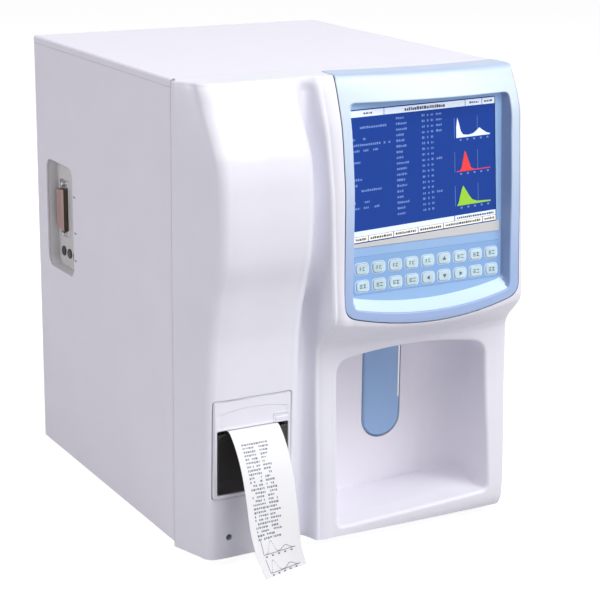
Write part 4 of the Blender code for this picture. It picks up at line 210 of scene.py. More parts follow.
FOOTER_WORD_HEIGHT = 2.2 * MM
STATUS_CELLS = ((0.0, 0.70), (0.706, 1.0))
STATUS_WORDS = (0.72, 0.985, 2 * MM)
CELL_MARGIN = 0.012
FOOTER_CELLS = ((0.0, 0.095), (0.1, 0.27), (0.275, 0.44), (0.445, 0.62), (0.625, 0.9), (0.905, 1.0))
SCREEN_ROWS = 18
SCREEN_ROW_HEIGHT = 2.1 * MM
SCREEN_FIRST_ROW = 6 * MM
FLAGGED_ROWS = (0, 1, 2, 3, 8, 14)
GLASS_DEPTH = -6 * MM
GLASS_FACE = -0.6 * MM
MARK_LEVEL = 0.06 * MM
SCREEN_ROW_PITCH = 4.97 * MM
LIST_RUNS = {
    1: [(9, 36)], 3: [(1, 4), (12, 15)], 4: [(0.5, 30), (33, 35), (38, 40)],
    5: [(0.5, 8), (12, 17), (22, 27)], 7: [(0.5, 9)], 10: [(0.5, 10)], 11: [(1, 5)], 12: [(9, 30)],
    14: [(1, 3), (12, 17)], 15: [(0.5, 7), (11, 16), (22, 27)]}
CURVE_LEFT = 109.5 * MM
CURVE_WIDTH = 36.5 * MM
CURVE_HEIGHT = 18 * MM
CURVES = (
    (34 * MM, PALE, (
        (0.0, 0.5), (0.03, 1.0), (0.08, 0.72), (0.13, 0.3), (0.2, 0.12), (0.35, 0.07), (0.5, 0.12),
        (0.62, 0.27), (0.68, 0.38), (0.76, 0.27), (0.9, 0.08), (1.0, 0.03))),
    (65 * MM, RED, ((0.08, 0.0), (0.14, 0.14), (0.24, 1.0), (0.27, 0.95), (0.42, 0.12), (0.55, 0.0))),
    (96 * MM, GREEN, (
        (0.0, 0.0), (0.04, 0.12), (0.13, 0.75), (0.18, 0.98), (0.24, 0.8), (0.36, 0.42), (0.45, 0.2),
        (0.6, 0.09), (1.0, 0.04))))
CURVE_STEPS = 60
CURVE_TICKS = 5
KEYPAD_WIDTH = 156 * MM
KEYPAD_HEIGHT = 33.5 * MM
KEYPAD_CENTRE_Z = 261.25 * MM
KEYPAD_CORNER = 3 * MM
FILM_REAR = -0.3 * MM
FILM_TOP = 0.6 * MM
FILM_EDGE = 0.3 * MM
FILM_LINE = 0.5 * MM
KEY_DROP = 0.2 * MM
KEY_TRIM = 0.3 * MM
KEY_CORNER = 3 * MM
# Round each key, a pale ring is a painted highlight and a darker ring inside it is painted shade at the key's
# foot.
KEY_HIGHLIGHT_RING_GROWTH = 1.8 * MM
KEY_SHADE_RING_GROWTH = 0.8 * MM
KEY_CAP_RISE = 1.3 * MM
KEY_EDGE = 0.9 * MM
LEGEND_RISE = 0.1 * MM
LEGEND_TURNS = {"up": 0, "left": 1, "down": 2, "right": 3}
ARROW_KEYS = {(1, 6): "up", (2, 5): "left", (2, 6): "down", (2, 7): "right"}
ARROW = ((-2.0, -1.2), (2.0, -1.2), (0.0, 2.2))
BRACKET_BARS = (
    (-2.8, -1.2, 1.0, 1.6), (-2.8, -2.2, -1.6, 1.0), (-2.2, -1.5, -0.4, 0.2), (0.2, 0.8, -1.6, 1.6),
    (0.8, 2.2, -1.6, -1.0), (0.8, 2.2, 1.0, 1.6))
LIST_BARS = (
    (-3.2, -0.6, -1.7, -1.7 + 0.7), (-3.2, -0.6, -0.35, -0.35 + 0.7), (-3.2, -0.6, 1.0, 1.0 + 0.7),
    (0.4, 3.2, -1.7, -1.0), (0.4, 3.2, 1.0, 1.7))
STEM_BAR = (1.4, 2.1, -1.0, 1.0)

# Sample bay
BAY_LEFT = -18.5 * MM
BAY_RIGHT = 143.5 * MM
BAY_RIGHT_TOP = 137 * MM
BAY_FLOOR_Z = 19 * MM
BAY_FLOOR_LIFT = 10.5 * MM
BAY_SHOULDER_Z = 177 * MM
BAY_CROWN_Z = 185 * MM
BAY_CORNER = 13 * MM
BAY_BOTTOM_CORNER = 7 * MM
BAY_REAR_Y = 22 * MM
BAY_REAR_CORNER = 25 * MM
BAY_REAR_CURVE = 38 * MM
BAY_REAR_DEPTH = 58 * MM
BAY_CREASE = 0.8 * MM
BAY_FLOOR_RISE = 4 * MM
BAY_EDGE = 4 * MM
PADDLE_CENTRE_X = 70.8 * MM
PADDLE_WIDTH = 41.4 * MM
PADDLE_BOTTOM_Z = 70 * MM
PADDLE_TOP_Z = 171 * MM
PADDLE_GAP = 0.9 * MM
PADDLE_PROUD = 1.2 * MM
PADDLE_THICK = 4 * MM
PADDLE_ROUND = 1.4 * MM
PADDLE_DISH = 1.6 * MM
BAY_MOUTH_BLENDS = (0.12, 0.3, 0.5, 0.7, 0.86)
BAY_TURN_STEPS = 14

# Recorder and lamp
RECORDER_LEFT = -146 * MM
RECORDER_RIGHT = -68 * MM
RECORDER_BOTTOM_Z = 67.5 * MM
RECORDER_TOP_Z = 160 * MM
LATCH_WIDTH = 13 * MM
LATCH_HEIGHT = 5 * MM
LID_STEP_Z = 147 * MM
LID_STEP_RISE = 4 * MM
LID_STEP_DEPTH = 0.5 * MM
LID_STEP_RUN = 0.9 * MM
LID_STEP_FADE = 2 * MM
FRAME_INSET = 0.5 * MM
FRAME_EDGE = 0.9 * MM
FRAME_DEPTH = 6 * MM
WINDOW_DEPTH = 12 * MM
WINDOW_STEP = 0.5 * MM
WINDOW_UNDERCUT = 1.5 * MM
LATCH_RIM = 0.6 * MM
RECORDER_DEPTH = 62 * MM
RECORDER_FACE_Y = -51.4 * MM
RECORDER_WALL = 3 * MM
WINDOW_LEFT = -142.35 * MM
WINDOW_RIGHT = -71.65 * MM
WINDOW_BOTTOM_Z = 72 * MM
WINDOW_TOP_Z = 132 * MM
DOOR_TOP_Z = 128.5 * MM
PAPER_WIDTH = 49.5 * MM
PAPER_CENTRE_X = -107.5 * MM
PAPER_THICK = 0.3 * MM
PAPER_CURL = 1.2 * MM
PRINT_LIFT = 0.06 * MM
PRINT_ROWS = 26
PRINT_START_SHARE = 0.2
PRINT_PITCH_SHARE = 0.0225
PRINT_COLUMNS = ((-0.74, (6, 7)), (-0.1, (3, 4, 5)))
PRINT_CURVES = ((0.86, 0.28), (0.975, 0.2))
PRINT_CURVE_STEPS = 40
PRINT_LEFT = -0.66
PRINT_SPAN = 1.4
PRINT_CURVE_HEIGHT = 11 * MM
PAPER_COURSE_Y = ((0.0, -38.2), (0.1, -52.0), (0.17, -59.5), (0.42, -80.0), (0.85, -97.0), (1.0, -101.5))
PAPER_COURSE_Z = ((0.0, 131.2), (0.1, 131.3), (0.17, 127.0), (0.42, 96.5), (0.85, 34.0), (1.0, 11.0))
PAPER_DRIFT = ((0.0, 0.0), (0.7, 0.0), (0.85, 1.5), (1.0, 7.2))
PAPER_TWIST = ((0.0, 0.0), (0.6, 1.5), (1.0, 15.5))
LAMP_X = -129.7 * MM
LAMP_Z = 29.8 * MM
LAMP_RADIUS = 2.5 * MM

# Connectors behind the left cover's window
PORT_FRONT_Y = 229 * MM
PORT_REAR_Y = 297 * MM
PORT_BOTTOM_Z = 207 * MM
PORT_TOP_Z = 317 * MM
PORT_CORNER = 10 * MM
PORT_FLANGE = 4 * MM
PORT_MOUTH_X = -158.7 * MM
PORT_FLOOR_X = -147.25 * MM
PORT_ROUND = 2 * MM
CONNECTOR_FACE_X = -153.3 * MM
CONNECTOR_FRONT_Y = 272 * MM
CONNECTOR_REAR_Y = 291.5 * MM
CONNECTOR_BOTTOM_Z = 244 * MM
CONNECTOR_TOP_Z = 288 * MM
ROUND_SOCKETS = ((287.5 * MM, 221 * MM), (272.5 * MM, 221 * MM), (257 * MM, 221 * MM))
ROUND_SOCKET_RADIUS = 5 * MM
FLANGE_PROUD = 1.2 * MM
SHELL_SLANT = 2.5 * MM
POST_OFFSET = 3.6 * MM
POST_RADIUS = 2.3 * MM
POST_PROUD = 4.5 * MM
CONTACT_RADIUS = 0.6 * MM
CONTACT_OFFSET = 1.6 * MM
CONTACT_PITCH = 2.75 * MM
CONTACT_ROWS = ((-1, 13), (1, 12))
SCREW_HEIGHTS = (34 * MM, 222 * MM, 410 * MM)
SCREW_INSET = 7 * MM
SCREW_RADIUS = 3 * MM
FAN_SCREW_RADIUS = 2.6 * MM
SCREW_PROFILE = ((1.0, 0.0), (1.0, 0.22), (0.93, 0.42), (0.7, 0.56), (0.42, 0.62))
FAN_SCREW_INSET = 4.5 * MM
COVER_MARKS = ((224 * MM, 290 * MM), (223 * MM, 254 * MM), (224 * MM, 226 * MM))

# Widths of the rolled edges on nodes that stay
SOFT_EDGES = {
    "left_side_cover": 0.7 * MM, "right_side_cover": 0.7 * MM, "rear_panel": 0.3 * MM,
    "mains_inlet": 0.4 * MM, "fan_frame": 0.6 * MM, "power_rocker": 0.5 * MM}

# Camera, fitted to the cabinet's straight edges
CAMERA_AZIMUTH = math.radians(29.143)
CAMERA_ELEVATION = math.radians(15.6)
CAMERA_ROLL = math.radians(0.625)
CAMERA_DISTANCE = 1640.6 * MM
CAMERA_TARGET = (-32.25 * MM, 0.0, 225.8 * MM)
CAMERA_FOCAL_PX = 1794.2
PHOTO_WIDTH_PX = 600
SENSOR_MM = 36.0

# Light
AMBIENT_STRENGTH = 0.16
LAMP_TARGET = (0.0, -0.05, 0.22)
LAMPS = (
    ("key", (1.5, -2.1, 1.9), 1.6, 36.0, (0.99, 1.0, 1.0)),
    ("upper", (0.35, -1.7, 3.0), 1.6, 51.0, (0.99, 1.0, 1.0)),
    ("fill", (-2.8, -0.1, 1.3), 1.8, 29.0, (1.0, 0.97, 1.0)),
    ("top", (-0.2, 1.0, 2.6), 1.5, 12.0, (0.98, 1.0, 1.0)),
    ("low", (0.2, -3.0, 0.5), 1.6, 15.0, (1.0, 0.95, 1.0)))
FLOOR_GLOW = 0.86
FLOOR_RADIUS = 8.0


def seam(point):
    """A point of the seam frame in the row's frame."""
    return Vector((point[0], point[1] + SEAM_Y, point[2]))


# Curves and surfaces, worked out on whole arrays of places at once

def follow(shares, t):
    """Read a table of share pairs with a smooth curve that doesn't overshoot."""
    xs = np.array([x for x, _ in shares])
    ys = np.array([y for _, y in shares])
    slopes = np.diff(ys) / np.diff(xs)
    product = slopes[:-1] * slopes[1:]
    total = np.where(product > 0, slopes[:-1] + slopes[1:], 1.0)
    inner = np.where(product > 0, 2 * product / total, 0.0)
    tangents = np.concatenate((slopes[:1], inner, slopes[-1:]))
    t = np.clip(t, xs[0], xs[-1])
    i = np.clip(np.searchsorted(xs, t, side="right") - 1, 0, len(xs) - 2)
    h = xs[i + 1] - xs[i]
    s = (t - xs[i]) / h
    return (
        ys[i] * (1 + 2 * s) * (1 - s) ** 2 + tangents[i] * h * s * (1 - s) ** 2
        + ys[i + 1] * s * s * (3 - 2 * s) + tangents[i + 1] * h * s * s * (s - 1))


def module_share(x):
    """Minus one at the module's left fold, one at its right side."""
    middle = (MODULE_LEFT_X + FRONT_HALF) / 2
    half = (FRONT_HALF - MODULE_LEFT_X) / 2
    return np.clip((x - middle) / half, -1.0, 1.0)


def module_depth(x, t):
    """How far the module, or the base under it, stands in front of the seam."""
    s = module_share(x)
    depth = MODULE_REACH * follow(MODULE_FOLD_SHARES, t)
    depth = depth + MODULE_CROWN * follow(CROWN_SHARES, t) * (1 - s * s)
    return depth - BASE_SWEEP * follow(SWEEP_SHARES, t) * (1 + s) / 2


def bow_drop(x, t):
    """How far the chin sags at x below its height at the module's sides."""
    s = module_share(x)
    return np.where(x > MODULE_LEFT_X, CHIN_BOW * follow(BOW_SHARES, t) * (1 - s * s), 0.0)


def share_at(x, z):
    """The height share whose row passes through x and z, under the chin's sag."""
    x = np.asarray(x, float)
    z = np.asarray(z, float)
    t = (z - FRONT_FOOT) / FRONT_HEIGHT
    for _ in range(20):
        t = (z + bow_drop(x, np.clip(t, 0.0, 1.0)) - FRONT_FOOT) / FRONT_HEIGHT
    return np.clip(t, 0.0, 1.0)


def module_y(x, z):
    """The y of the front surface over the module and the base."""
    return -module_depth(np.asarray(x, float), share_at(x, z))


def corner_weights(share):
    """The weights of a quadratic curve's start, corner and end at a share of its course."""
    return (1 - share) ** 2, 2 * share * (1 - share), share ** 2


def section_knots(t):
    """Knots of the front's plan section at height shares t: the domain place, x and y of each."""
    t = np.asarray(t, float)
    one = np.ones_like(t)
    face = COLUMN_REACH * follow(COLUMN_FACE_SHARES, t)
    groove = COLUMN_REACH * follow(GROOVE_SHARES, t)
    fold = module_depth(MODULE_LEFT_X * one, t)
    side = FRONT_HALF
    knots = []

    def add(place, x, y):
        knots.append((place, x * one, y * one))

    add(FIRST_PLACE, -side + SEAM_STEP, -FIT_GAP)
    add(FIRST_PLACE + SEAM_GAP - SEAM_GAP_EDGE, -side + SEAM_STEP, -SEAM_GAP)
    add(FIRST_PLACE + SEAM_GAP, -side, -SEAM_GAP - SEAM_GAP_FALL)
    add(FIRST_PLACE + SEAM_LAND, -side, -SEAM_LAND)
    start_x = COLUMN_CORNER_X - CORNER_LEAD
    start_y = -(face - CORNER_DEPTH)
    for share in (0.3, 0.65):
        place = -FRONT_HALF - LEFT_SIDE_REACH * (1 - share)
        add(place, -side + (start_x + side) * share, -SEAM_LAND + (start_y + SEAM_LAND) * share)
    for share in CORNER_STEP_SHARES:
        a, b, c = corner_weights(share)
        x = start_x * a + COLUMN_CORNER_X * b + (COLUMN_CORNER_X + CORNER_WIDTH) * c
        y = start_y * a - face * b - face * c
        add(-FRONT_HALF + LEFT_CORNER_REACH * share, x, y)
    add((COLUMN_CORNER_X + COLUMN_RIGHT_X) / 2, (COLUMN_CORNER_X + COLUMN_RIGHT_X) / 2, -face)
    add(COLUMN_RIGHT_X - 6 * MM, COLUMN_RIGHT_X - 6 * MM, -face)
    add(COLUMN_RIGHT_X, COLUMN_RIGHT_X, -(face + (groove - face) * 0.02))
    for x_share, blend_share in GROOVE_BLEND_SHARES:
        x = COLUMN_RIGHT_X + (GROOVE_X - COLUMN_RIGHT_X) * x_share
        add(x, x, -(face + (groove - face) * blend_share))
    add(GROOVE_X, GROOVE_X, -groove)
    for x_share, blend_share in MODULE_WALL_SHARES:
        x = GROOVE_X + (MODULE_LEFT_X - GROOVE_X) * x_share
        add(x, x, -(groove + (fold - groove) * blend_share))
    left = MODULE_LEFT_X + MODULE_LEFT_CORNER
    right = FRONT_HALF - MODULE_CORNER
    for x_share in MODULE_FACE_SHARES:
        x = left + (right - left) * x_share
        add(x, x, -module_depth(x * one, t))
    edge = module_depth(FRONT_HALF * one, t)
    face_end = -module_depth(right * one, t)
    for share in CORNER_STEP_SHARES[1:]:
        a, b, c = corner_weights(share)
        add(right + RIGHT_CORNER_REACH * share, right * a + side * b + side * c,
            face_end * a - edge * b - (edge - MODULE_CORNER) * c)
    end = right + RIGHT_CORNER_REACH
    for share in (0.33, 0.66):
        add(end + RIGHT_SIDE_REACH * share, side, -(edge - MODULE_CORNER) * (1 - share) - SEAM_LAND * share)
    add(end + RIGHT_SIDE_REACH, side, -SEAM_LAND)
    add(end + RIGHT_SIDE_REACH + SEAM_LAND, side, -FIT_GAP)
    places = np.array([k[0] for k in knots])
    return places, np.stack([k[1] for k in knots]), np.stack([k[2] for k in knots])


def front_point(place, t):
    """Points of the front surface for arrays of domain places and height shares."""
    place = np.asarray(place, float)
    t = np.asarray(t, float)
    knots, xs, ys = section_knots(t)
    i = np.clip(np.searchsorted(knots, place, side="right") - 1, 0, len(knots) - 2)
    span = np.arange(len(t))

    def value(table, k):
        return table[np.clip(k, 0, len(knots) - 1), span]

    def tangent(table, k):
        before = np.clip(k - 1, 0, len(knots) - 1)
        after = np.clip(k + 1, 0, len(knots) - 1)
        h0 = np.maximum(knots[k] - knots[before], 1e-9)
        h1 = np.maximum(knots[after] - knots[k], 1e-9)
        d0 = (value(table, k) - value(table, before)) / h0
        d1 = (value(table, after) - value(table, k)) / h1
        inner = (d0 * h1 + d1 * h0) / (h0 + h1)
        return np.where(k == before, d1, np.where(k == after, d0, inner))

    h = knots[i + 1] - knots[i]
    s = (np.clip(place, knots[0], knots[-1]) - knots[i]) / h
    out = []
    for table in (xs, ys):
        out.append(
            value(table, i) * (1 + 2 * s) * (1 - s) ** 2 + tangent(table, i) * h * s * (1 - s) ** 2
            + value(table, i + 1) * s * s * (3 - 2 * s) + tangent(table, i + 1) * h * s * s * (s - 1))
    z = FRONT_FOOT + FRONT_HEIGHT * t - bow_drop(out[0], t)
    return np.stack((np.clip(out[0], -FRONT_HALF, FRONT_HALF), out[1], z), axis=1)


# Outlines

def arc(centre, radius, start, end, steps):
    """Points on a circle between two angles in degrees."""
    turns = np.radians(np.linspace(start, end, steps + 1))
    return [(centre[0] + radius * math.cos(a), centre[1] + radius * math.sin(a)) for a in turns]


def rounded_rectangle(left, right, bottom, top, radius, steps=6):
    """The outline of a rectangle with round corners."""
    return (
        arc((right - radius, bottom + radius), radius, -90, 0, steps)
        + arc((right - radius, top - radius), radius, 0, 90, steps)
        + arc((left + radius, top - radius), radius, 90, 180, steps)
        + arc((left + radius, bottom + radius), radius, 180, 270, steps))


def round_corners(points, radii, steps=8):
    """The outline of a polygon whose corners are rounded with quadratic curves."""
    outline = []
    count = len(points)
    for i, (corner, radius) in enumerate(zip(points, radii)):
        corner = Vector(corner)
        before = Vector(points[i - 1]) - corner
        after = Vector(points[(i + 1) % count]) - corner
        if not radius:
            outline.append(tuple(corner))
            continue
        first = corner + before.normalized() * radius
        last = corner + after.normalized() * radius
        for k in range(steps + 1):
            t = k / steps
            outline.append(tuple(first * (1 - t) ** 2 + corner * 2 * t * (1 - t) + last * t ** 2))
    return outline


def bowed(left, right, end_z, bow, steps=12):
    """A shallow arc from left to right that sags in the middle."""
    points = []
    for i in range(1, steps):
        s = 2 * i / steps - 1
        points.append(((left + right) / 2 + s * (right - left) / 2, end_z - bow * (1 - s * s)))
    return points


def resampled(outline, spacing):
    """The outline with its long edges split to about the spacing."""
    points = []
    for a, b in zip(outline, outline[1:] + outline[:1]):
        steps = max(1, round(math.dist(a, b) / spacing))
        points += [(a[0] + (b[0] - a[0]) * k / steps, a[1] + (b[1] - a[1]) * k / steps)
                   for k in range(steps)]
    return points


def split_plan(outline):
    """Edge numbers and shares that split an outline's edges, for every outline of the same make."""
    plan = []
    for i, (a, b) in enumerate(zip(outline, outline[1:] + outline[:1])):
        steps = max(1, round(math.dist(a, b) / OUTLINE_STEP))
        plan += [(i, k / steps) for k in range(steps)]
    return plan


def on_plan(outline, plan):
    """An outline's points at a plan's places."""
    points = []
    for i, s in plan:
        a, b = outline[i], outline[(i + 1) % len(outline)]
        points.append((a[0] + (b[0] - a[0]) * s, a[1] + (b[1] - a[1]) * s))
    return points


def counter_clockwise(outline):
    """The outline, turned so that it runs counter-clockwise."""
    area = sum(a[0] * b[1] - b[0] * a[1] for a, b in zip(outline, outline[1:] + outline[:1]))
    return outline if area > 0 else outline[::-1]


def grown(outline, margin):
    """A counter-clockwise outline moved outward by a margin."""
    result = []
    count = len(outline)
    for i in range(count):
        point = Vector(outline[i])
        before = (point - Vector(outline[i - 1])).normalized()
        after = (Vector(outline[(i + 1) % count]) - point).normalized()
        normal = Vector((before.y + after.y, -before.x - after.x)).normalized()
        reach = margin / max(normal.dot(Vector((after.y, -after.x))), 0.5)
        result.append(tuple(point + normal * reach))
    return result


def bezel_ends(height):
    """The ends of the bezel's left and right sides, carried on to an unrolled height."""
    slope_left = (BEZEL_LEFT_TOP - BEZEL_LEFT_BOTTOM) / (BODY_HEIGHT - BEZEL_END_Z)
    slope_right = (BEZEL_RIGHT_TOP - BEZEL_RIGHT_BOTTOM) / (BODY_HEIGHT - BEZEL_END_Z)
    rise = height - BODY_HEIGHT
    return (BEZEL_LEFT_TOP + slope_left * rise, height), (BEZEL_RIGHT_TOP + slope_right * rise, height)


def bezel_outline():
    """The bezel's outer outline over the unrolled front: x, and height carried on along the top."""
    left, right = bezel_ends(BODY_HEIGHT + BEZEL_CARRY)
    arc_points = bowed(BEZEL_LEFT_BOTTOM, BEZEL_RIGHT_BOTTOM, BEZEL_END_Z, BEZEL_BOW)
    points = [left, (BEZEL_LEFT_BOTTOM, BEZEL_END_Z)] + arc_points
    points += [(BEZEL_RIGHT_BOTTOM, BEZEL_END_Z), right]
    radii = [0.0, BEZEL_CORNER] + [0.0] * len(arc_points) + [BEZEL_CORNER, 0.0]
    return counter_clockwise(round_corners(points, radii))


def recess_outline(side, lower):
    """The recess round the display and the keypad, drawn in at the sides and below."""
    end_z = RECESS_END_Z + lower
    left = [(RECESS_LEFT_TOP + side, RECESS_TOP_Z), (RECESS_LEFT_BOTTOM + side, end_z)]
    right = [(RECESS_RIGHT_BOTTOM - side, end_z), (RECESS_RIGHT_TOP - side, RECESS_TOP_Z)]
    arc_points = bowed(left[1][0], right[0][0], end_z, RECESS_BOW)
    points = left + arc_points + right
    radii = [RECESS_CORNER] * 2 + [0.0] * len(arc_points) + [RECESS_CORNER] * 2
    return counter_clockwise(round_corners(points, radii))


def bay_outline(share=0.0, rise=0.0):
    """The bay's mouth, or its section where a share of its rear corners has been turned."""
    left = BAY_LEFT + BAY_REAR_CORNER * share
    right = BAY_RIGHT - BAY_REAR_CURVE * share
    right_top = BAY_RIGHT_TOP - BAY_REAR_CURVE * share
    bottom = BAY_FLOOR_Z + rise
    lifted = bottom + BAY_FLOOR_LIFT * (1 - share)
    arch = bowed(left, right_top, BAY_SHOULDER_Z, BAY_SHOULDER_Z - BAY_CROWN_Z)[::-1]
    points = [(left, BAY_SHOULDER_Z), (left, bottom), (right, lifted), (right_top, BAY_SHOULDER_Z)] + arch
    radii = [BAY_CORNER, BAY_BOTTOM_CORNER, BAY_BOTTOM_CORNER, BAY_CORNER] + [0.0] * len(arch)
    return counter_clockwise(round_corners(points, radii))


def paddle_outline(margin):
    """The aspirate key's outline: straight sides and a half-round bottom."""
    radius = PADDLE_WIDTH / 2 + margin
    centre = (PADDLE_CENTRE_X, PADDLE_BOTTOM_Z + PADDLE_WIDTH / 2)
    points = arc(centre, radius, 180, 360, 28)
    top = PADDLE_TOP_Z + margin
    return counter_clockwise(points + [(centre[0] + radius, top), (centre[0] - radius, top)])


# A mesh under construction, with smoothing groups

class Shape:
    """Points, faces and the smoothing group and material index of each face."""

    def __init__(self):
        self.points = []
        self.faces = []
        self.groups = []
        self.slots = []
        self.normals = {}

    def add_points(self, points):
        """Add points; returns their indices."""
        start = len(self.points)
        self.points += [tuple(float(v) for v in p) for p in points]
        return list(range(start, len(self.points)))

    def add_face(self, face, group, slot=0):
        """Add one face."""
        if len(set(face)) > 2:
            self.faces.append(tuple(face))
            self.groups.append(group)
            self.slots.append(slot)

    def strip(self, low, high, group, slot=0, closed=True):
        """Quads between two rows of indices."""
        count = len(low)
        for i in range(count if closed else count - 1):
            k = (i + 1) % count
            self.add_face((low[i], low[k], high[k], high[i]), group, slot)

    def rings(self, rows, group, slot=0, closed=True):
        """Strips through a list of rows of points; returns the index rows."""
        indices = [row if isinstance(row[0], int) else self.add_points(row) for row in rows]
        for low, high in zip(indices, indices[1:]):
            self.strip(low, high, group, slot, closed)
        return indices

    def add_triangles(self, points, faces, group, slot=0):
        """Add points and the triangles between them; returns the points' indices."""
        indices = self.add_points(points)
        for a, b, c in faces:
            self.add_face((indices[a], indices[b], indices[c]), group, slot)
        return indices

    def carry_normals(self, group, loop, normals):
        """Give a group the normals that a loop's points have on the surface beside it."""
        for i in loop:
            self.normals[(group, i)] = normals[i]

    def build(self, name, *finishes):
        """Make the object with per-group vertex normals, moved into the row's frame."""
        mesh = bpy.data.meshes.new(name)
        points = np.array(self.points, float) + np.array(OFFSET, float)
        mesh.from_pydata(points.tolist(), [], self.faces)
        mesh.polygons.foreach_set("material_index", self.slots)
        for finish in finishes:
            mesh.materials.append(FINISH[finish])
        normals = self.corner_normals(points)
        mesh.polygons.foreach_set("use_smooth", [True] * len(self.faces))
        mesh.update()
        mesh.normals_split_custom_set(normals)
        obj = bpy.data.objects.new(name, mesh)
        bpy.context.scene.collection.objects.link(obj)
        return obj

    def corner_normals(self, points):
        """One normal per face corner: smooth inside a group, broken between groups."""
        keys = {}
        flat = []
        for face, group in zip(self.faces, self.groups):
            corner = points[list(face)]
            normal = np.zeros(3)
            for a, b in zip(corner, np.roll(corner, -1, axis=0)):
                normal += np.cross(a, b)
            flat.append(normal)
            for v in face:
                keys.setdefault((group, v), np.zeros(3))
                keys[(group, v)] += normal
        result = []
        for face, group, normal in zip(self.faces, self.groups, flat):
            for v in face:
                given = self.normals.get((group, v))
                n = given if given is not None else (normal if group is None else keys[(group, v)])
                length = np.linalg.norm(n)
                result.append(tuple(n / length) if length > 0 else (0.0, 0.0, 1.0))
        return result


def inside(points, outline):
    """Which of an array of 2D points lie inside an outline."""
    x, y = points[:, 0], points[:, 1]
    result = np.zeros(len(points), bool)
    for (x0, y0), (x1, y1) in zip(outline, outline[1:] + outline[:1]):
        crosses = (y0 > y) != (y1 > y)
        with np.errstate(divide="ignore", invalid="ignore"):
            at = (x1 - x0) * (y - y0) / (y1 - y0) + x0
        result ^= crosses & (x < at)
    return result


def clearance(points, outline):
    """The distance of each 2D point from an outline."""
    best = np.full(len(points), 1e9)
    for a, b in zip(outline, outline[1:] + outline[:1]):
        a, b = np.array(a), np.array(b)
        d = b - a
        length = max(float(d @ d), 1e-18)
        s = np.clip(((points - a) @ d) / length, 0.0, 1.0)
        best = np.minimum(best, np.linalg.norm(points - (a + s[:, None] * d), axis=1))
    return best


def triangulated(outer, holes, us, vs, keep=0.55):
    """Triangles of a flat region: its 2D points, faces, and the indices of each outline's points."""
    loops = [outer] + holes
    grid = np.array([(u, v) for u in us for v in vs])
    spacing = keep * min(np.median(np.diff(us)), np.median(np.diff(vs)))
    ok = inside(grid, outer) & (clearance(grid, outer) > spacing)
    for hole in holes:
        ok &= ~inside(grid, hole) & (clearance(grid, hole) > spacing)
    grid = grid[ok]
    verts, edges, starts = [], [], []
    for loop in loops:
        start = len(verts)
        starts.append(start)
        verts += loop
        edges += [(start + i, start + (i + 1) % len(loop)) for i in range(len(loop))]
    verts += [tuple(p) for p in grid]
    scale = 100.0
    out, _, faces, origin, _, _ = delaunay_2d_cdt(
        [Vector((p[0] * scale, p[1] * scale)) for p in verts], edges, [], 0, 1e-5)
    points = np.array([(p.x / scale, p.y / scale) for p in out])
    place = {}
    for index, sources in enumerate(origin):
        for source in sources:
            place[source] = index
    corners = np.array(faces)
    middle = points[corners].mean(axis=1)
    ok = inside(middle, outer)
    for hole in holes:
        ok &= ~inside(middle, hole)
    rows = [[place[start + i] for i in range(len(loop))] for start, loop in zip(starts, loops)]
    return points, corners[ok], rows


def surface_normals(surface, us, vs):
    """Outward unit normals of a surface given as a function of two arrays."""
    du = surface(us + NORMAL_STEP, vs) - surface(us - NORMAL_STEP, vs)
    dv = surface(us, vs + NORMAL_STEP) - surface(us, vs - NORMAL_STEP)
    n = np.cross(du, dv)
    return n / np.maximum(np.linalg.norm(n, axis=1), 1e-12)[:, None]


def add_patch(shape, outer, holes, us, vs, surface, group, slot=0):
    """A trimmed piece of a surface; returns the index loops of its outlines and the normals by index."""
    points, faces, rows = triangulated(outer, holes, us, vs)
    placed = surface(points[:, 0], points[:, 1])
    normals = surface_normals(surface, points[:, 0], points[:, 1])
    indices = shape.add_triangles(placed, faces, group, slot)
    for i, n in zip(indices, normals):
        shape.normals[(group, i)] = n
    loops = [[indices[i] for i in row] for row in rows]
    return loops, dict(zip(indices, normals))


def rolled_rows(start, corner, end, steps):
    """Rows of points that roll from a start, by way of a corner, to an end."""
    rows = []
    for k in range(1, steps + 1):
        a, b, c = corner_weights(k / steps)
        rows.append(start * a + corner * b + end * c)
    return rows


# Materials

def new_nodes(name):
    """A new material, its node tree and its Principled shader."""
    material = bpy.data.materials.new(name)
    material.use_nodes = True
    tree = material.node_tree
    return material, tree, tree.nodes["Principled BSDF"]


def add_node(tree, kind, **values):
    """A node with some of its inputs set by name."""
    node = tree.nodes.new(kind)
    for key, value in values.items():
        node.inputs[key.replace("_", " ")].default_value = value
    return node


def noise(tree, scale, detail=2.0, roughness=0.5, stretch=None):
    """Noise over the object's own metres; returns its factor."""
    coordinates = tree.nodes.new("ShaderNodeTexCoord")
    texture = add_node(tree, "ShaderNodeTexNoise", Scale=scale, Detail=detail, Roughness=roughness)
    source = coordinates.outputs["Object"]
    if stretch:
        mapping = add_node(tree, "ShaderNodeMapping", Scale=stretch)
        tree.links.new(source, mapping.inputs["Vector"])
        source = mapping.outputs["Vector"]
    tree.links.new(source, texture.inputs["Vector"])
    return texture.outputs["Fac"]


def ranged(tree, source, low, high, start=0.35, end=0.65):
    """A factor spread over a range of values."""
    node = add_node(tree, "ShaderNodeMapRange", From_Min=start, From_Max=end, To_Min=low, To_Max=high)
    tree.links.new(source, node.inputs["Value"])
    return node.outputs["Result"]


def reckoned(tree, operation, first, second):
    """The result of a Math node over two sockets, or over a socket and a number."""
    node = tree.nodes.new("ShaderNodeMath")
    node.operation = operation
    tree.links.new(first, node.inputs[0])
    if isinstance(second, float):
        node.inputs[1].default_value = second
    else:
        tree.links.new(second, node.inputs[1])
    return node.outputs[0]


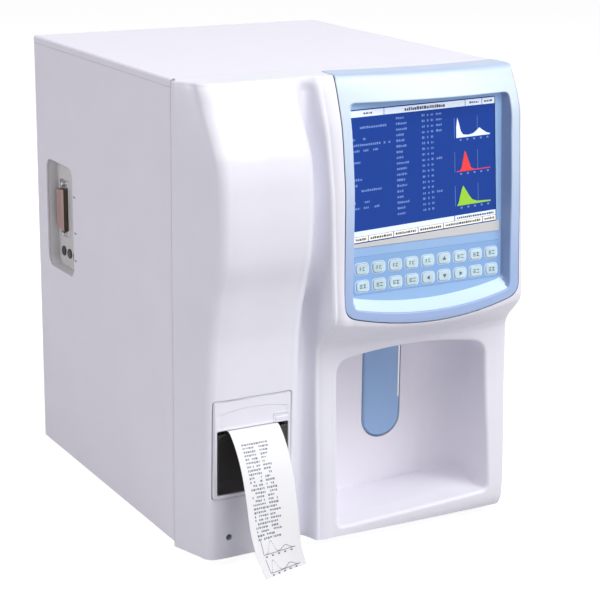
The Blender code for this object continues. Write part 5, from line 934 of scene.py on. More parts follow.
def blended(tree, factor, first, second):
    """A colour between two colours or sockets."""
    node = tree.nodes.new("ShaderNodeMix")
    node.data_type = "RGBA"
    for index, value in ((6, first), (7, second)):
        if isinstance(value, tuple):
            node.inputs[index].default_value = (*value, 1.0)
        else:
            tree.links.new(value, node.inputs[index])
    tree.links.new(factor, node.inputs[0])
    return node.outputs[2]


def bumped(tree, shader, heights, distance):
    """Bump from a list of height sockets that are added up."""
    total = heights[0]
    for height in heights[1:]:
        total = reckoned(tree, "ADD", total, height)
    bump = add_node(tree, "ShaderNodeBump", Strength=1.0, Distance=distance)
    tree.links.new(total, bump.inputs["Height"])
    tree.links.new(bump.outputs["Normal"], shader.inputs["Normal"])


def painted_highlight_share(tree, low, high, edge, top):
    """The share of a painted highlight: it grows from nought to one between two heights and falls again
    between two more.
    """
    coordinates = tree.nodes.new("ShaderNodeTexCoord")
    parts = tree.nodes.new("ShaderNodeSeparateXYZ")
    tree.links.new(coordinates.outputs["Object"], parts.inputs[0])
    growing = ranged(tree, parts.outputs["Z"], 0.0, 1.0, low, high)
    falling = ranged(tree, parts.outputs["Z"], 1.0, 0.25, edge, top)
    return reckoned(tree, "MINIMUM", growing, falling)


def moulded(name, colour, tone, roughness, grain=900.0, depth=0.012 * MM, coat=0.0, rise=None):
    """Moulded or painted plastic: mottled, or lightened upward as a painted highlight, with a fine texture
    and smoother patches.
    """
    material, tree, shader = new_nodes(name)
    # With heights given, the blend is a painted highlight by height; otherwise it is a random mottle.
    mottle_and_painted_highlight = painted_highlight_share(tree, *rise) if rise else ranged(tree, noise(tree, 9.0, 4.0, 0.6), 0.0, 1.0)
    tree.links.new(blended(tree, mottle_and_painted_highlight, colour, tone), shader.inputs["Base Color"])
    finish = ranged(tree, noise(tree, 34.0, 5.0, 0.65), roughness - 0.05, roughness + 0.07)
    tree.links.new(finish, shader.inputs["Roughness"])
    fine = noise(tree, grain, 3.0, 0.6)
    coarse = noise(tree, grain / 14, 2.0)
    bumped(tree, shader, [fine, coarse], depth)
    shader.inputs["Specular IOR Level"].default_value = 0.45
    shader.inputs["Coat Weight"].default_value = coat
    shader.inputs["Coat Roughness"].default_value = 0.18
    return material


def metal(name, colour, roughness, stretch=(1.0, 1.0, 24.0)):
    """Brushed or plated metal with drawn-out scratches."""
    material, tree, shader = new_nodes(name)
    shader.inputs["Metallic"].default_value = 1.0
    lines = noise(tree, 320.0, 3.0, 0.7, stretch)
    darker = tuple(c * 0.82 for c in colour)
    tree.links.new(blended(tree, lines, darker, colour), shader.inputs["Base Color"])
    tree.links.new(ranged(tree, lines, roughness - 0.06, roughness + 0.1), shader.inputs["Roughness"])
    bumped(tree, shader, [lines], 0.01 * MM)
    return material


def glassy(name, colour, roughness, transmission, alpha=1.0):
    """Clear or smoked plastic with faint ripples."""
    material, tree, shader = new_nodes(name)
    shader.inputs["Base Color"].default_value = (*colour, 1.0)
    shader.inputs["Transmission Weight"].default_value = transmission
    shader.inputs["IOR"].default_value = 1.49
    smear = ranged(tree, noise(tree, 26.0, 4.0), roughness, roughness + 0.08)
    tree.links.new(smear, shader.inputs["Roughness"])
    shader.inputs["Alpha"].default_value = alpha
    return material


def lit(name, colour, strength, roughness=0.25):
    """An area of the display: dark glossy plastic that gives off its own colour, in fine cells."""
    material, tree, shader = new_nodes(name)
    cells = ranged(tree, noise(tree, 1400.0, 1.0), 0.0, 1.0)
    dimmer = tuple(c * 0.9 for c in colour)
    shade = blended(tree, cells, dimmer, colour)
    tree.links.new(shade, shader.inputs["Base Color"])
    tree.links.new(shade, shader.inputs["Emission Color"])
    shader.inputs["Emission Strength"].default_value = strength
    shader.inputs["Roughness"].default_value = roughness
    shader.inputs["Specular IOR Level"].default_value = 0.2
    return material


def rubber(name, colour, roughness):
    """Matt rubber with dust in its texture."""
    material, tree, shader = new_nodes(name)
    dust = ranged(tree, noise(tree, 60.0, 6.0, 0.7), 0.0, 0.35)
    tree.links.new(blended(tree, dust, colour, (0.32, 0.31, 0.3)), shader.inputs["Base Color"])
    shader.inputs["Roughness"].default_value = roughness
    bumped(tree, shader, [noise(tree, 1500.0, 3.0)], 0.03 * MM)
    return material


def paper_finish(name, colour):
    """Thermal paper: faint fibres and a slight sheen."""
    material, tree, shader = new_nodes(name)
    fibres = noise(tree, 900.0, 5.0, 0.7, (1.0, 3.0, 3.0))
    shade = tuple(c * 0.965 for c in colour)
    tree.links.new(blended(tree, ranged(tree, fibres, 0.0, 1.0), shade, colour), shader.inputs["Base Color"])
    tree.links.new(ranged(tree, fibres, 0.52, 0.66), shader.inputs["Roughness"])
    bumped(tree, shader, [fibres], 0.01 * MM)
    return material


FINISH = {
    "white": moulded("front_white", (0.80, 0.80, 0.875), (0.825, 0.825, 0.895), 0.42),
    "bay": moulded("bay_white", (0.82, 0.80, 0.87), (0.845, 0.825, 0.89), 0.42),
    "cover": moulded("cover_enamel", (0.82, 0.81, 0.90), (0.835, 0.825, 0.91), 0.5, grain=420.0,
                     depth=0.03 * MM),
    # The bezel's colour turns upward to the pale second colour, which is a painted highlight.
    "blue": moulded("bezel_blue_painted_highlight", (0.34, 0.46, 0.73), (0.66, 0.77, 0.86), 0.36, coat=0.25,
                    rise=BEZEL_PAINTED_HIGHLIGHT),
    # Dark blue painted into the bezel's gap and the window's reveal as shade.
    "line": moulded("bezel_gap_painted_shade", (0.07, 0.12, 0.30), (0.08, 0.14, 0.33), 0.45),
    # Dark blue painted as shade round the keys' feet and in the film's top crease.
    "rim": moulded("key_rim_blue", (0.20, 0.33, 0.52), (0.22, 0.35, 0.54), 0.5),
    "floor": moulded("recess_pale_blue", (0.30, 0.48, 0.76), (0.315, 0.495, 0.77), 0.5),
    "keypad": moulded("keypad_film", (0.235, 0.42, 0.72), (0.25, 0.435, 0.73), 0.5),
    # The recess's right wall is painted darker as shade and its lower wall lighter as a highlight.
    "wall": moulded("recess_wall_painted_shade", (0.21, 0.30, 0.50), (0.225, 0.315, 0.52), 0.45),
    "ledge": moulded("recess_ledge_painted_highlight", (0.66, 0.82, 0.90), (0.69, 0.84, 0.91), 0.4),
    "key": rubber("key_pale_blue", (0.60, 0.80, 0.87), 0.5),
    # A pale ring round each key, a painted highlight.
    "outline": moulded("key_ring_painted_highlight", (0.86, 0.90, 0.95), (0.9, 0.93, 0.97), 0.5),
    "legend": moulded("legend_ink", (0.08, 0.13, 0.20), (0.10, 0.15, 0.22), 0.5),
    "paddle": moulded("paddle_blue_gloss", (0.26, 0.42, 0.68), (0.265, 0.43, 0.69), 0.34, coat=0.3),
    "field": lit("display_field", (0.006, 0.042, 0.26), 0.3),
    "pale": lit("display_pale", (0.66, 0.74, 0.86), 0.45),
    "cream": lit("display_cream", (0.82, 0.80, 0.70), 0.4),
    "lip": moulded("display_lip_grey", (0.60, 0.59, 0.59), (0.63, 0.62, 0.62), 0.5),
    "mark": lit("display_mark", (0.10, 0.10, 0.14), 0.1),
    "red": lit("display_red", (0.72, 0.05, 0.05), 0.35),
    "green": lit("display_green", (0.28, 0.55, 0.04), 0.35),
    "faint": lit("display_faint", (0.14, 0.23, 0.52), 0.3),
    "smoked": glassy("smoked_door", (0.09, 0.075, 0.07), 0.06, 0.9),
    "paper": paper_finish("paper_thermal", (0.86, 0.86, 0.88)),
    "print": moulded("print_grey", (0.17, 0.18, 0.23), (0.24, 0.25, 0.30), 0.6),
    "steel": metal("steel_brushed", (0.62, 0.63, 0.65), 0.28),
    "aluminium": metal("aluminium_satin", (0.75, 0.76, 0.78), 0.38),
    "rubber": rubber("rubber_black", (0.03, 0.03, 0.032), 0.75),
    "black": moulded("black_moulded", (0.03, 0.03, 0.034), (0.045, 0.045, 0.05), 0.45),
    "beige": moulded("port_beige_body", (0.42, 0.27, 0.25), (0.47, 0.31, 0.29), 0.45),
    "tray": moulded("tray_grey", (0.66, 0.65, 0.66), (0.70, 0.69, 0.70), 0.5),
    # Near-black in the seam's gap between the front and the covers, painted shade.
    "gasket": rubber("seam_gap_painted_shade", (0.16, 0.155, 0.18), 0.7),
    # The connector shell's sides, painted dark brown as shade.
    "brown": moulded("port_side_painted_shade", (0.055, 0.038, 0.025), (0.08, 0.055, 0.035), 0.5),
    "dash": moulded("dash_grey", (0.28, 0.26, 0.32), (0.32, 0.30, 0.36), 0.6),
    "green_board": moulded("board_green", (0.03, 0.17, 0.08), (0.04, 0.21, 0.10), 0.4),
    "clear": glassy("acrylic_clear", (0.82, 0.88, 0.90), 0.05, 0.92),
    "grey": moulded("grey_moulded", (0.40, 0.41, 0.43), (0.44, 0.45, 0.47), 0.5),
    "lamp": glassy("lamp_lens", (0.10, 0.16, 0.12), 0.12, 0.5),
}

SLOT_FINISH = {
    "housing_white": "white", "cover_paint": "cover", "bezel_blue": "blue", "key_rubber": "key",
    "display_glass": "field", "paddle_blue": "paddle", "smoked_plastic": "smoked", "paper": "paper",
    "steel": "steel", "aluminium": "aluminium", "rubber": "rubber", "black_plastic": "black",
    "port_beige": "beige", "circuit_green": "green_board", "clear_acrylic": "clear",
    "grey_plastic": "grey", "lamp_dark": "lamp",
}


def place_piece(obj, body, slot, *replaced):
    """Let a piece ride on its body and stand for its nodes; the slot is not used."""
    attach(obj, body)
    if replaced:
        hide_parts(*replaced)
    return obj


# Front moulding

def plan_inward(us):
    """Level unit vectors from the front's top edge into the cabinet."""
    t = np.full(len(us), (TOP_EDGE_Z - FRONT_FOOT) / FRONT_HEIGHT)
    run = front_point(us + NORMAL_STEP, t) - front_point(us - NORMAL_STEP, t)
    run = run[:, :2] / np.maximum(np.linalg.norm(run[:, :2], axis=1), 1e-12)[:, None]
    return np.stack((-run[:, 1], run[:, 0]), axis=1)


def front_surface(us, vs):
    """The front over its domain, rolled over at its top edge."""
    us = np.asarray(us, float)
    vs = np.asarray(vs, float)
    t = (np.minimum(vs, TOP_EDGE_Z) - FRONT_FOOT) / FRONT_HEIGHT
    points = front_point(us, np.clip(t, 0.0, 1.0))
    turn = np.clip((vs - TOP_EDGE_Z) / EDGE_RADIUS, 0.0, math.pi / 2)
    points[:, :2] += plan_inward(us) * (EDGE_RADIUS * (1 - np.cos(turn)))[:, None]
    points[:, 2] += EDGE_RADIUS * np.sin(turn)
    return points


def place_of(xs):
    """The domain place of each x on the column's face, the module and the base."""
    places = np.linspace(-FRONT_HALF, FRONT_HALF - MODULE_CORNER + 12 * MM, 700)
    reached = front_point(places, np.full(len(places), 0.25))[:, 0]
    return np.interp(xs, reached, places)


def to_domain(outline):
    """An outline in x and z over the front, in the front's domain."""
    xs = np.array([p[0] for p in outline])
    zs = np.array([p[1] for p in outline])
    heights = FRONT_FOOT + FRONT_HEIGHT * share_at(xs, zs)
    return list(zip(place_of(xs).tolist(), heights.tolist()))


def bezel_path(top, margin):
    """The bezel's sides and lower arc in the front's domain, from the right end at a height to the left."""
    outline = grown(resampled(bezel_outline(), OUTLINE_STEP), margin)
    inner = [p for p in outline if p[1] < top]
    start = max(range(len(inner)), key=lambda i: math.dist(inner[i], inner[i - 1]))
    path = inner[start:] + inner[:start]
    if path[0][0] < path[-1][0]:
        path = path[::-1]
    below = [p for p in path if p[1] < TOP_EDGE_Z - 1 * MM]
    path = to_domain(below)
    right_run = (below[0][0] - below[4][0]) / (below[0][1] - below[4][1])
    left_run = (below[-1][0] - below[-5][0]) / (below[-1][1] - below[-5][1])
    right = (path[0][0] + right_run * (top - path[0][1]), top)
    left = (path[-1][0] + left_run * (top - path[-1][1]), top)
    return [right] + path + [left]


def spread(*stops):
    """Places along a line: each stop is an end and the spacing up to it."""
    places = [stops[0][0]]
    for end, spacing in stops[1:]:
        steps = max(1, math.ceil((end - places[-1]) / spacing - 1e-6))
        start = places[-1]
        places += [start + (end - start) * k / steps for k in range(1, steps + 1)]
    return places


def front_grid():
    """Grid lines of the front's domain, closer where the front bends more."""
    us = spread(
        (FIRST_PLACE, 0.0), (FIRST_PLACE + SEAM_GAP - SEAM_GAP_EDGE, 2 * MM),
        (FIRST_PLACE + SEAM_GAP, 1 * MM), (FIRST_PLACE + SEAM_LAND, 3 * MM), (-FRONT_HALF, 7 * MM),
        (COLUMN_FACE_X, 1.5 * MM),
        (COLUMN_RIGHT_X - 4 * MM, GRID), (MODULE_LEFT_X + 6 * MM, 1.6 * MM),
        (FRONT_HALF - MODULE_CORNER - 1 * MM, 1.15 * GRID), (FRONT_HALF + 6 * MM, 1.2 * MM),
        (LAST_PLACE, 8 * MM))
    vs = spread(
        (FRONT_FOOT, 0.0), (CHIN_FOOT_Z, GRID), (CHIN_HEAD_Z, 1.7 * MM), (SHOULDER_Z, GRID),
        (TOP_EDGE_Z, 2.2 * MM), (TOP_EDGE_Z + ROLL_LENGTH, 0.7 * MM))
    return us, vs


def front_border(bezel, us, vs):
    """The outer outline of the front's domain with a notch for the bezel."""
    top = vs[-1]
    left, right = FIRST_PLACE, LAST_PLACE
    border = [(u, vs[0]) for u in us[:-1]]
    border += [(right, v) for v in vs[:-1]]
    border += [(u, top) for u in us[::-1] if u > bezel[0][0] + 1 * MM]
    border += bezel
    border += [(u, top) for u in us[::-1] if left < u < bezel[-1][0] - 1 * MM]
    border += [(left, v) for v in vs[:0:-1]]
    return border


def mouth_rows(shape, loop, inner, radius, depth):
    """Roll a hole's edge over, from the hole in the surface to an outline set deeper into the cabinet."""
    start = np.array([shape.points[i] for i in loop])
    inner = np.array(inner)
    corner = np.stack((inner[:, 0], start[:, 1], inner[:, 1]), axis=1)
    end = corner + np.array((0.0, radius, 0.0))
    rows = rolled_rows(start, corner, end, 5)
    if depth:
        rows.append(end + np.array((0.0, depth, 0.0)))
    return rows


def make_front_moulding():
    """The moulded front in one skin, with soft edges at its openings."""
    shape = Shape()
    us, vs = front_grid()
    top = vs[-1]
    bezel = bezel_path(top, BEZEL_GAP)
    bay_mouth = resampled(bay_outline(), OUTLINE_STEP)
    bay_hole = grown(bay_mouth, BAY_EDGE)
    recorder_mouth = resampled(rounded_rectangle(
        RECORDER_LEFT, RECORDER_RIGHT, RECORDER_BOTTOM_Z, RECORDER_TOP_Z, 3 * MM), 4 * MM)
    recorder_hole = grown(recorder_mouth, RECORDER_MOUTH_EDGE)
    lamp_mouth = arc((LAMP_X, LAMP_Z), LAMP_RADIUS + FIT_GAP, 0, 345, 23)
    lamp_hole = grown(lamp_mouth, LAMP_MOUTH_EDGE)
    holes = [to_domain(h) for h in (bay_hole, recorder_hole, lamp_hole)]
    loops, normals = add_patch(
        shape, front_border(bezel, us, vs), holes, us, vs, front_surface, "skin")
    inners = (
        (bay_mouth, BAY_EDGE, 0.0), (recorder_mouth, RECORDER_MOUTH_EDGE, MOUTH_DEPTH),
        (lamp_mouth, LAMP_MOUTH_EDGE, MOUTH_DEPTH))
    ends = []
    for index, (inner, radius, depth) in enumerate(inners):
        loop = loops[index + 1]
        rows = mouth_rows(shape, loop, inner, radius, depth)
        made = shape.rings([loop] + rows, "mouth%d" % index)
        shape.carry_normals("mouth%d" % index, loop, normals)
        ends.append(made[-1])
    # Faces in the seam's gap are painted near-black as shade, so that the gap reads as a dark line.
    for index, face in enumerate(shape.faces):
        if shape.groups[index] == "skin" and max(shape.points[i][1] for i in face) > SEAM_GAP_FALL - SEAM_GAP:
            shape.slots[index] = 2
    add_bay_tub(shape, ends[0])
    add_front_edges(shape, us, vs)
    add_front_top(shape, us, top, bezel)
    obj = shape.build("front_moulding", "white", "bay", "gasket")
    return place_piece(obj, CABINET, "housing_white", "front_housing", "sample_bay")


def add_front_edges(shape, us, vs):
    """Turned-in edges along the foot and the two seams, so that the moulding has a thickness."""
    us = np.array(us)
    low = front_surface(us, np.full(len(us), vs[0]))
    inward = plan_inward(us)
    high = low.copy()
    high[:, :2] += inward * FRONT_WALL
    shape.rings([high, low], "foot", closed=False)
    vs = np.array(vs)
    for place, sign in ((FIRST_PLACE, 1.0), (LAST_PLACE, -1.0)):
        edge = front_surface(np.full(len(vs), place), vs)
        inner = edge + np.array((sign * FRONT_WALL, 0.0, 0.0))
        rows = [edge, inner] if sign > 0 else [inner, edge]
        shape.rings(rows, "seam%g" % sign, closed=False)


def add_front_top(shape, us, top, bezel):
    """The flat top from the rolled edge back to the seam, open where the bezel lies."""
    us = np.array(us)
    right, left = bezel[0][0], bezel[-1][0]
    first = np.concatenate((us[us < left - 1 * MM], [left]))
    last = np.concatenate(([right], us[us > right + 1 * MM]))
    row_left = front_surface(first, np.full(len(first), top))
    row_right = front_surface(last, np.full(len(last), top))
    rear_left = (row_left[-1, 0] + FIT_GAP, BEZEL_REAR_Y - BEZEL_NOTCH_GAP)
    rear_right = (row_right[0, 0] + FIT_GAP, BEZEL_REAR_Y - BEZEL_NOTCH_GAP)
    notch = round_corners(
        [tuple(row_left[-1, :2]), rear_left, rear_right, tuple(row_right[0, :2])],
        [0.0, BEZEL_REAR_CORNER, BEZEL_REAR_CORNER, 0.0])
    outline = [tuple(p[:2]) for p in row_left[1:-1]] + notch + [tuple(p[:2]) for p in row_right[1:-1]]
    outline += [(FRONT_HALF - EDGE_RADIUS, -FIT_GAP), (-FRONT_HALF + EDGE_RADIUS, -FIT_GAP)]
    outline = counter_clockwise(outline)
    points, faces, _ = triangulated(
        outline, [], np.linspace(-FRONT_HALF, FRONT_HALF, 30), np.linspace(-TOP_GRID_DEPTH, 0.0, 8))
    shape.add_triangles([(x, y, BODY_HEIGHT) for x, y in points], faces, "top")


def add_bay_tub(shape, mouth):
    """The bay's walls, round rear corners and back, from the mouth's inner edge."""
    plan = split_plan(bay_outline())

    def ring(y, share, rise, blend=1.0):
        points = np.array(face_points(on_plan(bay_outline(share, rise), plan), y))
        if blend < 1.0:
            start = np.array([shape.points[i] for i in mouth])
            points[:, 1] = start[:, 1] + (y - start[:, 1]) * blend
        return points

    straight = BAY_REAR_Y - BAY_REAR_DEPTH
    rows = [mouth]
    for blend in BAY_MOUTH_BLENDS:
        rows.append(ring(straight, 0.0, BAY_FLOOR_RISE / 2 * blend, blend))
    for k in range(BAY_TURN_STEPS + 1):
        turn = math.pi / 2 * k / BAY_TURN_STEPS
        y = straight + BAY_REAR_DEPTH * math.sin(turn)
        crease = BAY_CREASE if k == BAY_TURN_STEPS else 0.0
        rise = BAY_FLOOR_RISE * (0.5 + 0.5 * k / BAY_TURN_STEPS) + crease
        rows.append(ring(y, 1 - math.cos(turn), rise))
    made = shape.rings(rows, "tub", slot=1)
    back = [(shape.points[i][0], shape.points[i][2]) for i in made[-1]]
    slot = paddle_outline(PADDLE_GAP)
    xs = np.linspace(BAY_LEFT, BAY_RIGHT, 22)
    zs = np.linspace(BAY_FLOOR_Z, BAY_CROWN_Z, 22)
    points, faces, loops = triangulated(counter_clockwise(back), [slot], xs, zs)
    indices = shape.add_triangles(face_points(points, BAY_REAR_Y), faces, "back", slot=1)
    edge = [indices[i] for i in loops[1]]
    deep = [(x, BAY_REAR_Y + 3 * MM, z) for x, z in slot]
    shape.rings([edge, deep], "slot", slot=1)


# Bezel, display and keypad

BEZEL_ROLL_Z = BODY_HEIGHT - TOP_ROUND
BEZEL_TOP_V = BEZEL_ROLL_Z + TOP_ROUND * math.pi / 2


def bezel_base(xs, vs):
    """The module's crown carried over the top edge and back along the top, over x and unrolled height."""
    xs = np.asarray(xs, float)
    vs = np.asarray(vs, float)
    y = module_y(xs, np.minimum(vs, BEZEL_ROLL_Z))
    turn = np.clip((vs - BEZEL_ROLL_Z) / TOP_ROUND, 0.0, math.pi / 2)
    y = y + TOP_ROUND * (1 - np.cos(turn)) + np.maximum(vs - BEZEL_TOP_V, 0.0)
    z = np.minimum(vs, BEZEL_ROLL_Z) + TOP_ROUND * np.sin(turn)
    return np.stack((xs, y, z), axis=1)


def bezel_at(outline, proud):
    """Points over an outline on the bezel's base surface, moved out along its normals."""
    xs = np.array([p[0] for p in outline])
    vs = np.array([p[1] for p in outline])
    return bezel_base(xs, vs) + surface_normals(bezel_base, xs, vs) * proud


def bezel_face(xs, vs):
    """The bezel's outer face."""
    xs = np.asarray(xs, float)
    vs = np.asarray(vs, float)
    return bezel_base(xs, vs) + surface_normals(bezel_base, xs, vs) * BEZEL_PROUD


def bezel_border(inset):
    """The bezel's whole outline over x and unrolled height, with round corners on the top too."""
    middle = (BEZEL_LEFT_TOP + BEZEL_RIGHT_TOP) / 2
    reach = float(-module_y(middle, BEZEL_ROLL_Z)) - TOP_ROUND + BEZEL_REAR_Y
    rear = BEZEL_TOP_V + reach
    sides = [p for p in bezel_outline() if p[1] < rear - 1 * MM]
    start = max(range(len(sides)), key=lambda i: math.dist(sides[i], sides[i - 1]))
    path = sides[start:] + sides[:start]
    left, right = bezel_ends(rear)
    if path[0][0] > path[-1][0]:
        path = path[::-1]
    full = path + [right, left]
    rounded = round_corners(full, [0.0] * len(path) + [BEZEL_REAR_CORNER] * 2)
    outline = resampled(counter_clockwise(rounded), OUTLINE_STEP)
    return grown(outline, -inset) if inset else outline


def screen_y(z):
    """The y of the recess floor's front face at a height."""
    return SCREEN_TOP_Y - (RECESS_TOP_Z - z) * math.tan(SCREEN_TILT)


def make_bezel():
    """The blue bezel: rounded rim, crowned face, drafted recess and its floor."""
    shape = Shape()
    outer = bezel_border(0.0)
    inner = bezel_border(BEZEL_EDGE)
    mouth = resampled(recess_outline(0.0, 0.0), OUTLINE_STEP)
    mouth_hole = grown(mouth, RECESS_ROUND)
    xs = spread((BEZEL_GRID_X[0], 0.0), (BEZEL_GRID_X[1], 3.4 * MM))
    low, bend, head, rear = BEZEL_GRID_Z
    vs = spread((low, 0.0), (bend, 2.4 * MM), (head, 4 * MM), (rear, 2.4 * MM))
    loops, normals = add_patch(shape, inner, [mouth_hole], xs, vs, bezel_face, "face")
    add_bezel_rim(shape, outer, inner, loops[0], normals)
    add_recess(shape, mouth, loops[1], normals)
    obj = shape.build("bezel_shell", "blue", "line", "floor", "ledge", "wall")
    return place_piece(obj, CABINET, "bezel_blue", "screen_bezel")


def add_bezel_rim(shape, outer, inner, loop, normals):
    """The bezel's rolled rim, and its foot in the gap between it and the front, painted dark as shade."""
    rows = []
    for k in range(4, 0, -1):
        turn = math.pi / 2 * k / 4
        part = 1 - math.sin(turn)
        ring = [(o[0] * (1 - part) + i[0] * part, o[1] * (1 - part) + i[1] * part)
                for o, i in zip(outer, inner)]
        rows.append(bezel_at(ring, BEZEL_PROUD - BEZEL_EDGE * (1 - math.cos(turn))))
    foot = bezel_at(grown(outer, 2 * BEZEL_GAP), -BEZEL_DEPTH)
    below = bezel_at(outer, -BEZEL_DEPTH)
    made = shape.rings(rows + [loop], "rim")
    shape.carry_normals("rim", loop, normals)
    shape.rings([foot, below, bezel_at(outer, BEZEL_PROUD - BEZEL_EDGE)], "line", BEZEL_PAINTED_SHADE)


def paint_recess_wall_light(shape, first):
    """Paint a highlight on the recess's lower wall and shade on its right wall, from a point on."""
    left = RECESS_LEFT_BOTTOM + RECESS_SIDE_DRAFT
    right = RECESS_RIGHT_BOTTOM - RECESS_SIDE_DRAFT
    for index, (face, group) in enumerate(zip(shape.faces, shape.groups)):
        if group == "recess" and min(face) >= first:
            x, _, z = np.mean([shape.points[i] for i in face], axis=0)
            if left < x < right and z < RECESS_END_Z + RECESS_LOWER_DRAFT:
                shape.slots[index] = BEZEL_PAINTED_LEDGE_HIGHLIGHT
            elif x > right:
                shape.slots[index] = BEZEL_PAINTED_WALL_SHADE


def add_recess(shape, mouth, loop, normals):
    """The recess: rolled mouth, drafted walls, and the floor with the display's window."""
    start = np.array([shape.points[i] for i in loop])
    base = recess_outline(0.0, 0.0)
    plan = split_plan(base)
    corner = bezel_at(on_plan(base, plan), BEZEL_PROUD)
    end = corner + np.array((0.0, RECESS_ROUND, 0.0))
    rows = rolled_rows(start, corner, end, 4)
    floor_outline = on_plan(recess_outline(RECESS_SIDE_DRAFT, RECESS_LOWER_DRAFT), plan)
    floor = np.array([(x, screen_y(z), z) for x, z in floor_outline])
    for share in (0.33, 0.66, 1.0):
        rows.append(end + (floor - end) * share)
    made = shape.rings([loop] + rows, "recess")
    shape.carry_normals("recess", loop, normals)
    paint_recess_wall_light(shape, min(made[4]))
    screen = Screen(SCREEN_CENTRE_Z)
    half_width = SCREEN_WIDTH / 2
    half_height = SCREEN_HEIGHT / 2
    frame_outline = rounded_rectangle(
        SCREEN_CENTRE_X - half_width, SCREEN_CENTRE_X + half_width, -half_height, half_height, 1.2 * MM, 3)
    window = [(screen.at(x, v, 0.0).x, screen.at(x, v, 0.0).z) for x, v in frame_outline]
    xs = np.linspace(*RECESS_GRID_X, 24)
    zs = np.linspace(*RECESS_GRID_Z, 26)
    points, faces, loops = triangulated(counter_clockwise(floor_outline), [window], xs, zs)
    indices = shape.add_triangles([(x, screen_y(z), z) for x, z in points], faces, "floor", BEZEL_FLOOR)
    edge = [indices[i] for i in loops[1]]
    deep = [(x, screen_y(z) + SCREEN_REVEAL, z) for x, z in window]
    # The window's reveal is painted dark as shade.
    shape.rings([edge, deep], "window", BEZEL_PAINTED_SHADE)


class Slope:
    """Places on the display's slope: x, height along it from a centre, and distance off its face."""

    def __init__(self, centre_z):
        self.centre_z = centre_z
        self.up = Vector((0.0, math.sin(SCREEN_TILT), math.cos(SCREEN_TILT)))
        self.out = Vector((0.0, -math.cos(SCREEN_TILT), math.sin(SCREEN_TILT)))

    def at(self, x, along, out):
        """The point there."""
        origin = Vector((x, screen_y(self.centre_z), self.centre_z))
        return origin + self.up * along + self.out * out


class Screen(Slope):
    """Places on the display, whose window narrows a little to the right and leans upward there."""

    def at(self, x, along, out):
        """The point there."""
        half = SCREEN_HEIGHT / 2
        across = (x - SCREEN_CENTRE_X) / SCREEN_WIDTH + 0.5
        upward = (along + half) / SCREEN_HEIGHT
        left = SCREEN_LEAN_LEFT[0] + (SCREEN_LEAN_LEFT[1] - SCREEN_LEAN_LEFT[0]) * upward
        right = SCREEN_LEAN_RIGHT[0] + (SCREEN_LEAN_RIGHT[1] - SCREEN_LEAN_RIGHT[0]) * upward
        return super().at(x, along + left + (right - left) * across, out)


def add_tile(shape, slope, outline, low, high, slot, edge=0.0, group=None):
    """A flat tile on the slope with an optional rounded top edge; the outline is x and height along it."""
    group = group or "tile%d" % len(shape.faces)
    outline = counter_clockwise(outline)
    rows = [[slope.at(x, v, low) for x, v in outline]]
    if edge:
        for k in range(1, 5):
            turn = math.pi / 2 * k / 4
            ring = grown(outline, -edge * (1 - math.cos(turn)))
            rows.append([slope.at(x, v, high - edge * (1 - math.sin(turn))) for x, v in ring])
    else:
        rows.append([slope.at(x, v, high) for x, v in outline])
    made = shape.rings(rows, group if edge else group + "side", slot)
    shape.add_face(tuple(made[-1]), group + "top" if not edge else group, slot)


def bar(left, right, bottom, top):
    """A rectangle's outline."""
    return [(left, bottom), (right, bottom), (right, top), (left, top)]


def make_display():
    """The display: its glass with generic bars, rows of marks and three plain histograms."""
    shape = Shape()
    slope = Screen(SCREEN_CENTRE_Z)
    half_width = SCREEN_WIDTH / 2 - FIT_GAP
    half_height = SCREEN_HEIGHT / 2 - FIT_GAP
    left = SCREEN_CENTRE_X - half_width
    right = SCREEN_CENTRE_X + half_width
    add_tile(shape, slope, bar(left, right, -half_height, half_height), GLASS_DEPTH, GLASS_FACE, FIELD)
    add_screen_bars(shape, slope, left, right, half_height)
    add_screen_rows(shape, slope, left, half_height)
    add_histograms(shape, slope, left, half_height)
    foot = -half_height - SCREEN_LIP
    head = -half_height - LIP_EDGE
    lip_left = left - 1 * MM
    lip_right = right + 3 * MM
    lip = [(lip_left, foot - SCREEN_LEAN_LEFT[0]), (lip_right, foot - SCREEN_LEAN_RIGHT[0]),
           (lip_right, head), (lip_left, head)]
    add_tile(shape, slope, lip, LIP_REAR, LIP_FACE, LIP, edge=LIP_EDGE)
    obj = shape.build(
        "display_glass", "field", "pale", "cream", "mark", "red", "green", "faint", "lip")
    return place_piece(obj, CABINET, "display_glass", "lcd_panel")


def add_mark(shape, slope, left, right, bottom, top, slot, level=1):
    """A thin mark on the display."""
    high = GLASS_FACE + MARK_LEVEL * level
    add_tile(shape, slope, bar(left, right, bottom, top), GLASS_FACE, high, slot)


def add_words(shape, slope, start, end, bottom, high, slot, rng, level=1):
    """A run of short dashes of uneven length, like words that can't be read."""
    x = start
    while x < end:
        length = min(rng.uniform(1.0, 2.3) * MM, end - x)
        add_mark(shape, slope, x, x + length, bottom, bottom + high * rng.uniform(0.7, 1.0), slot, level)
        x += length + rng.uniform(0.4, 0.7) * MM


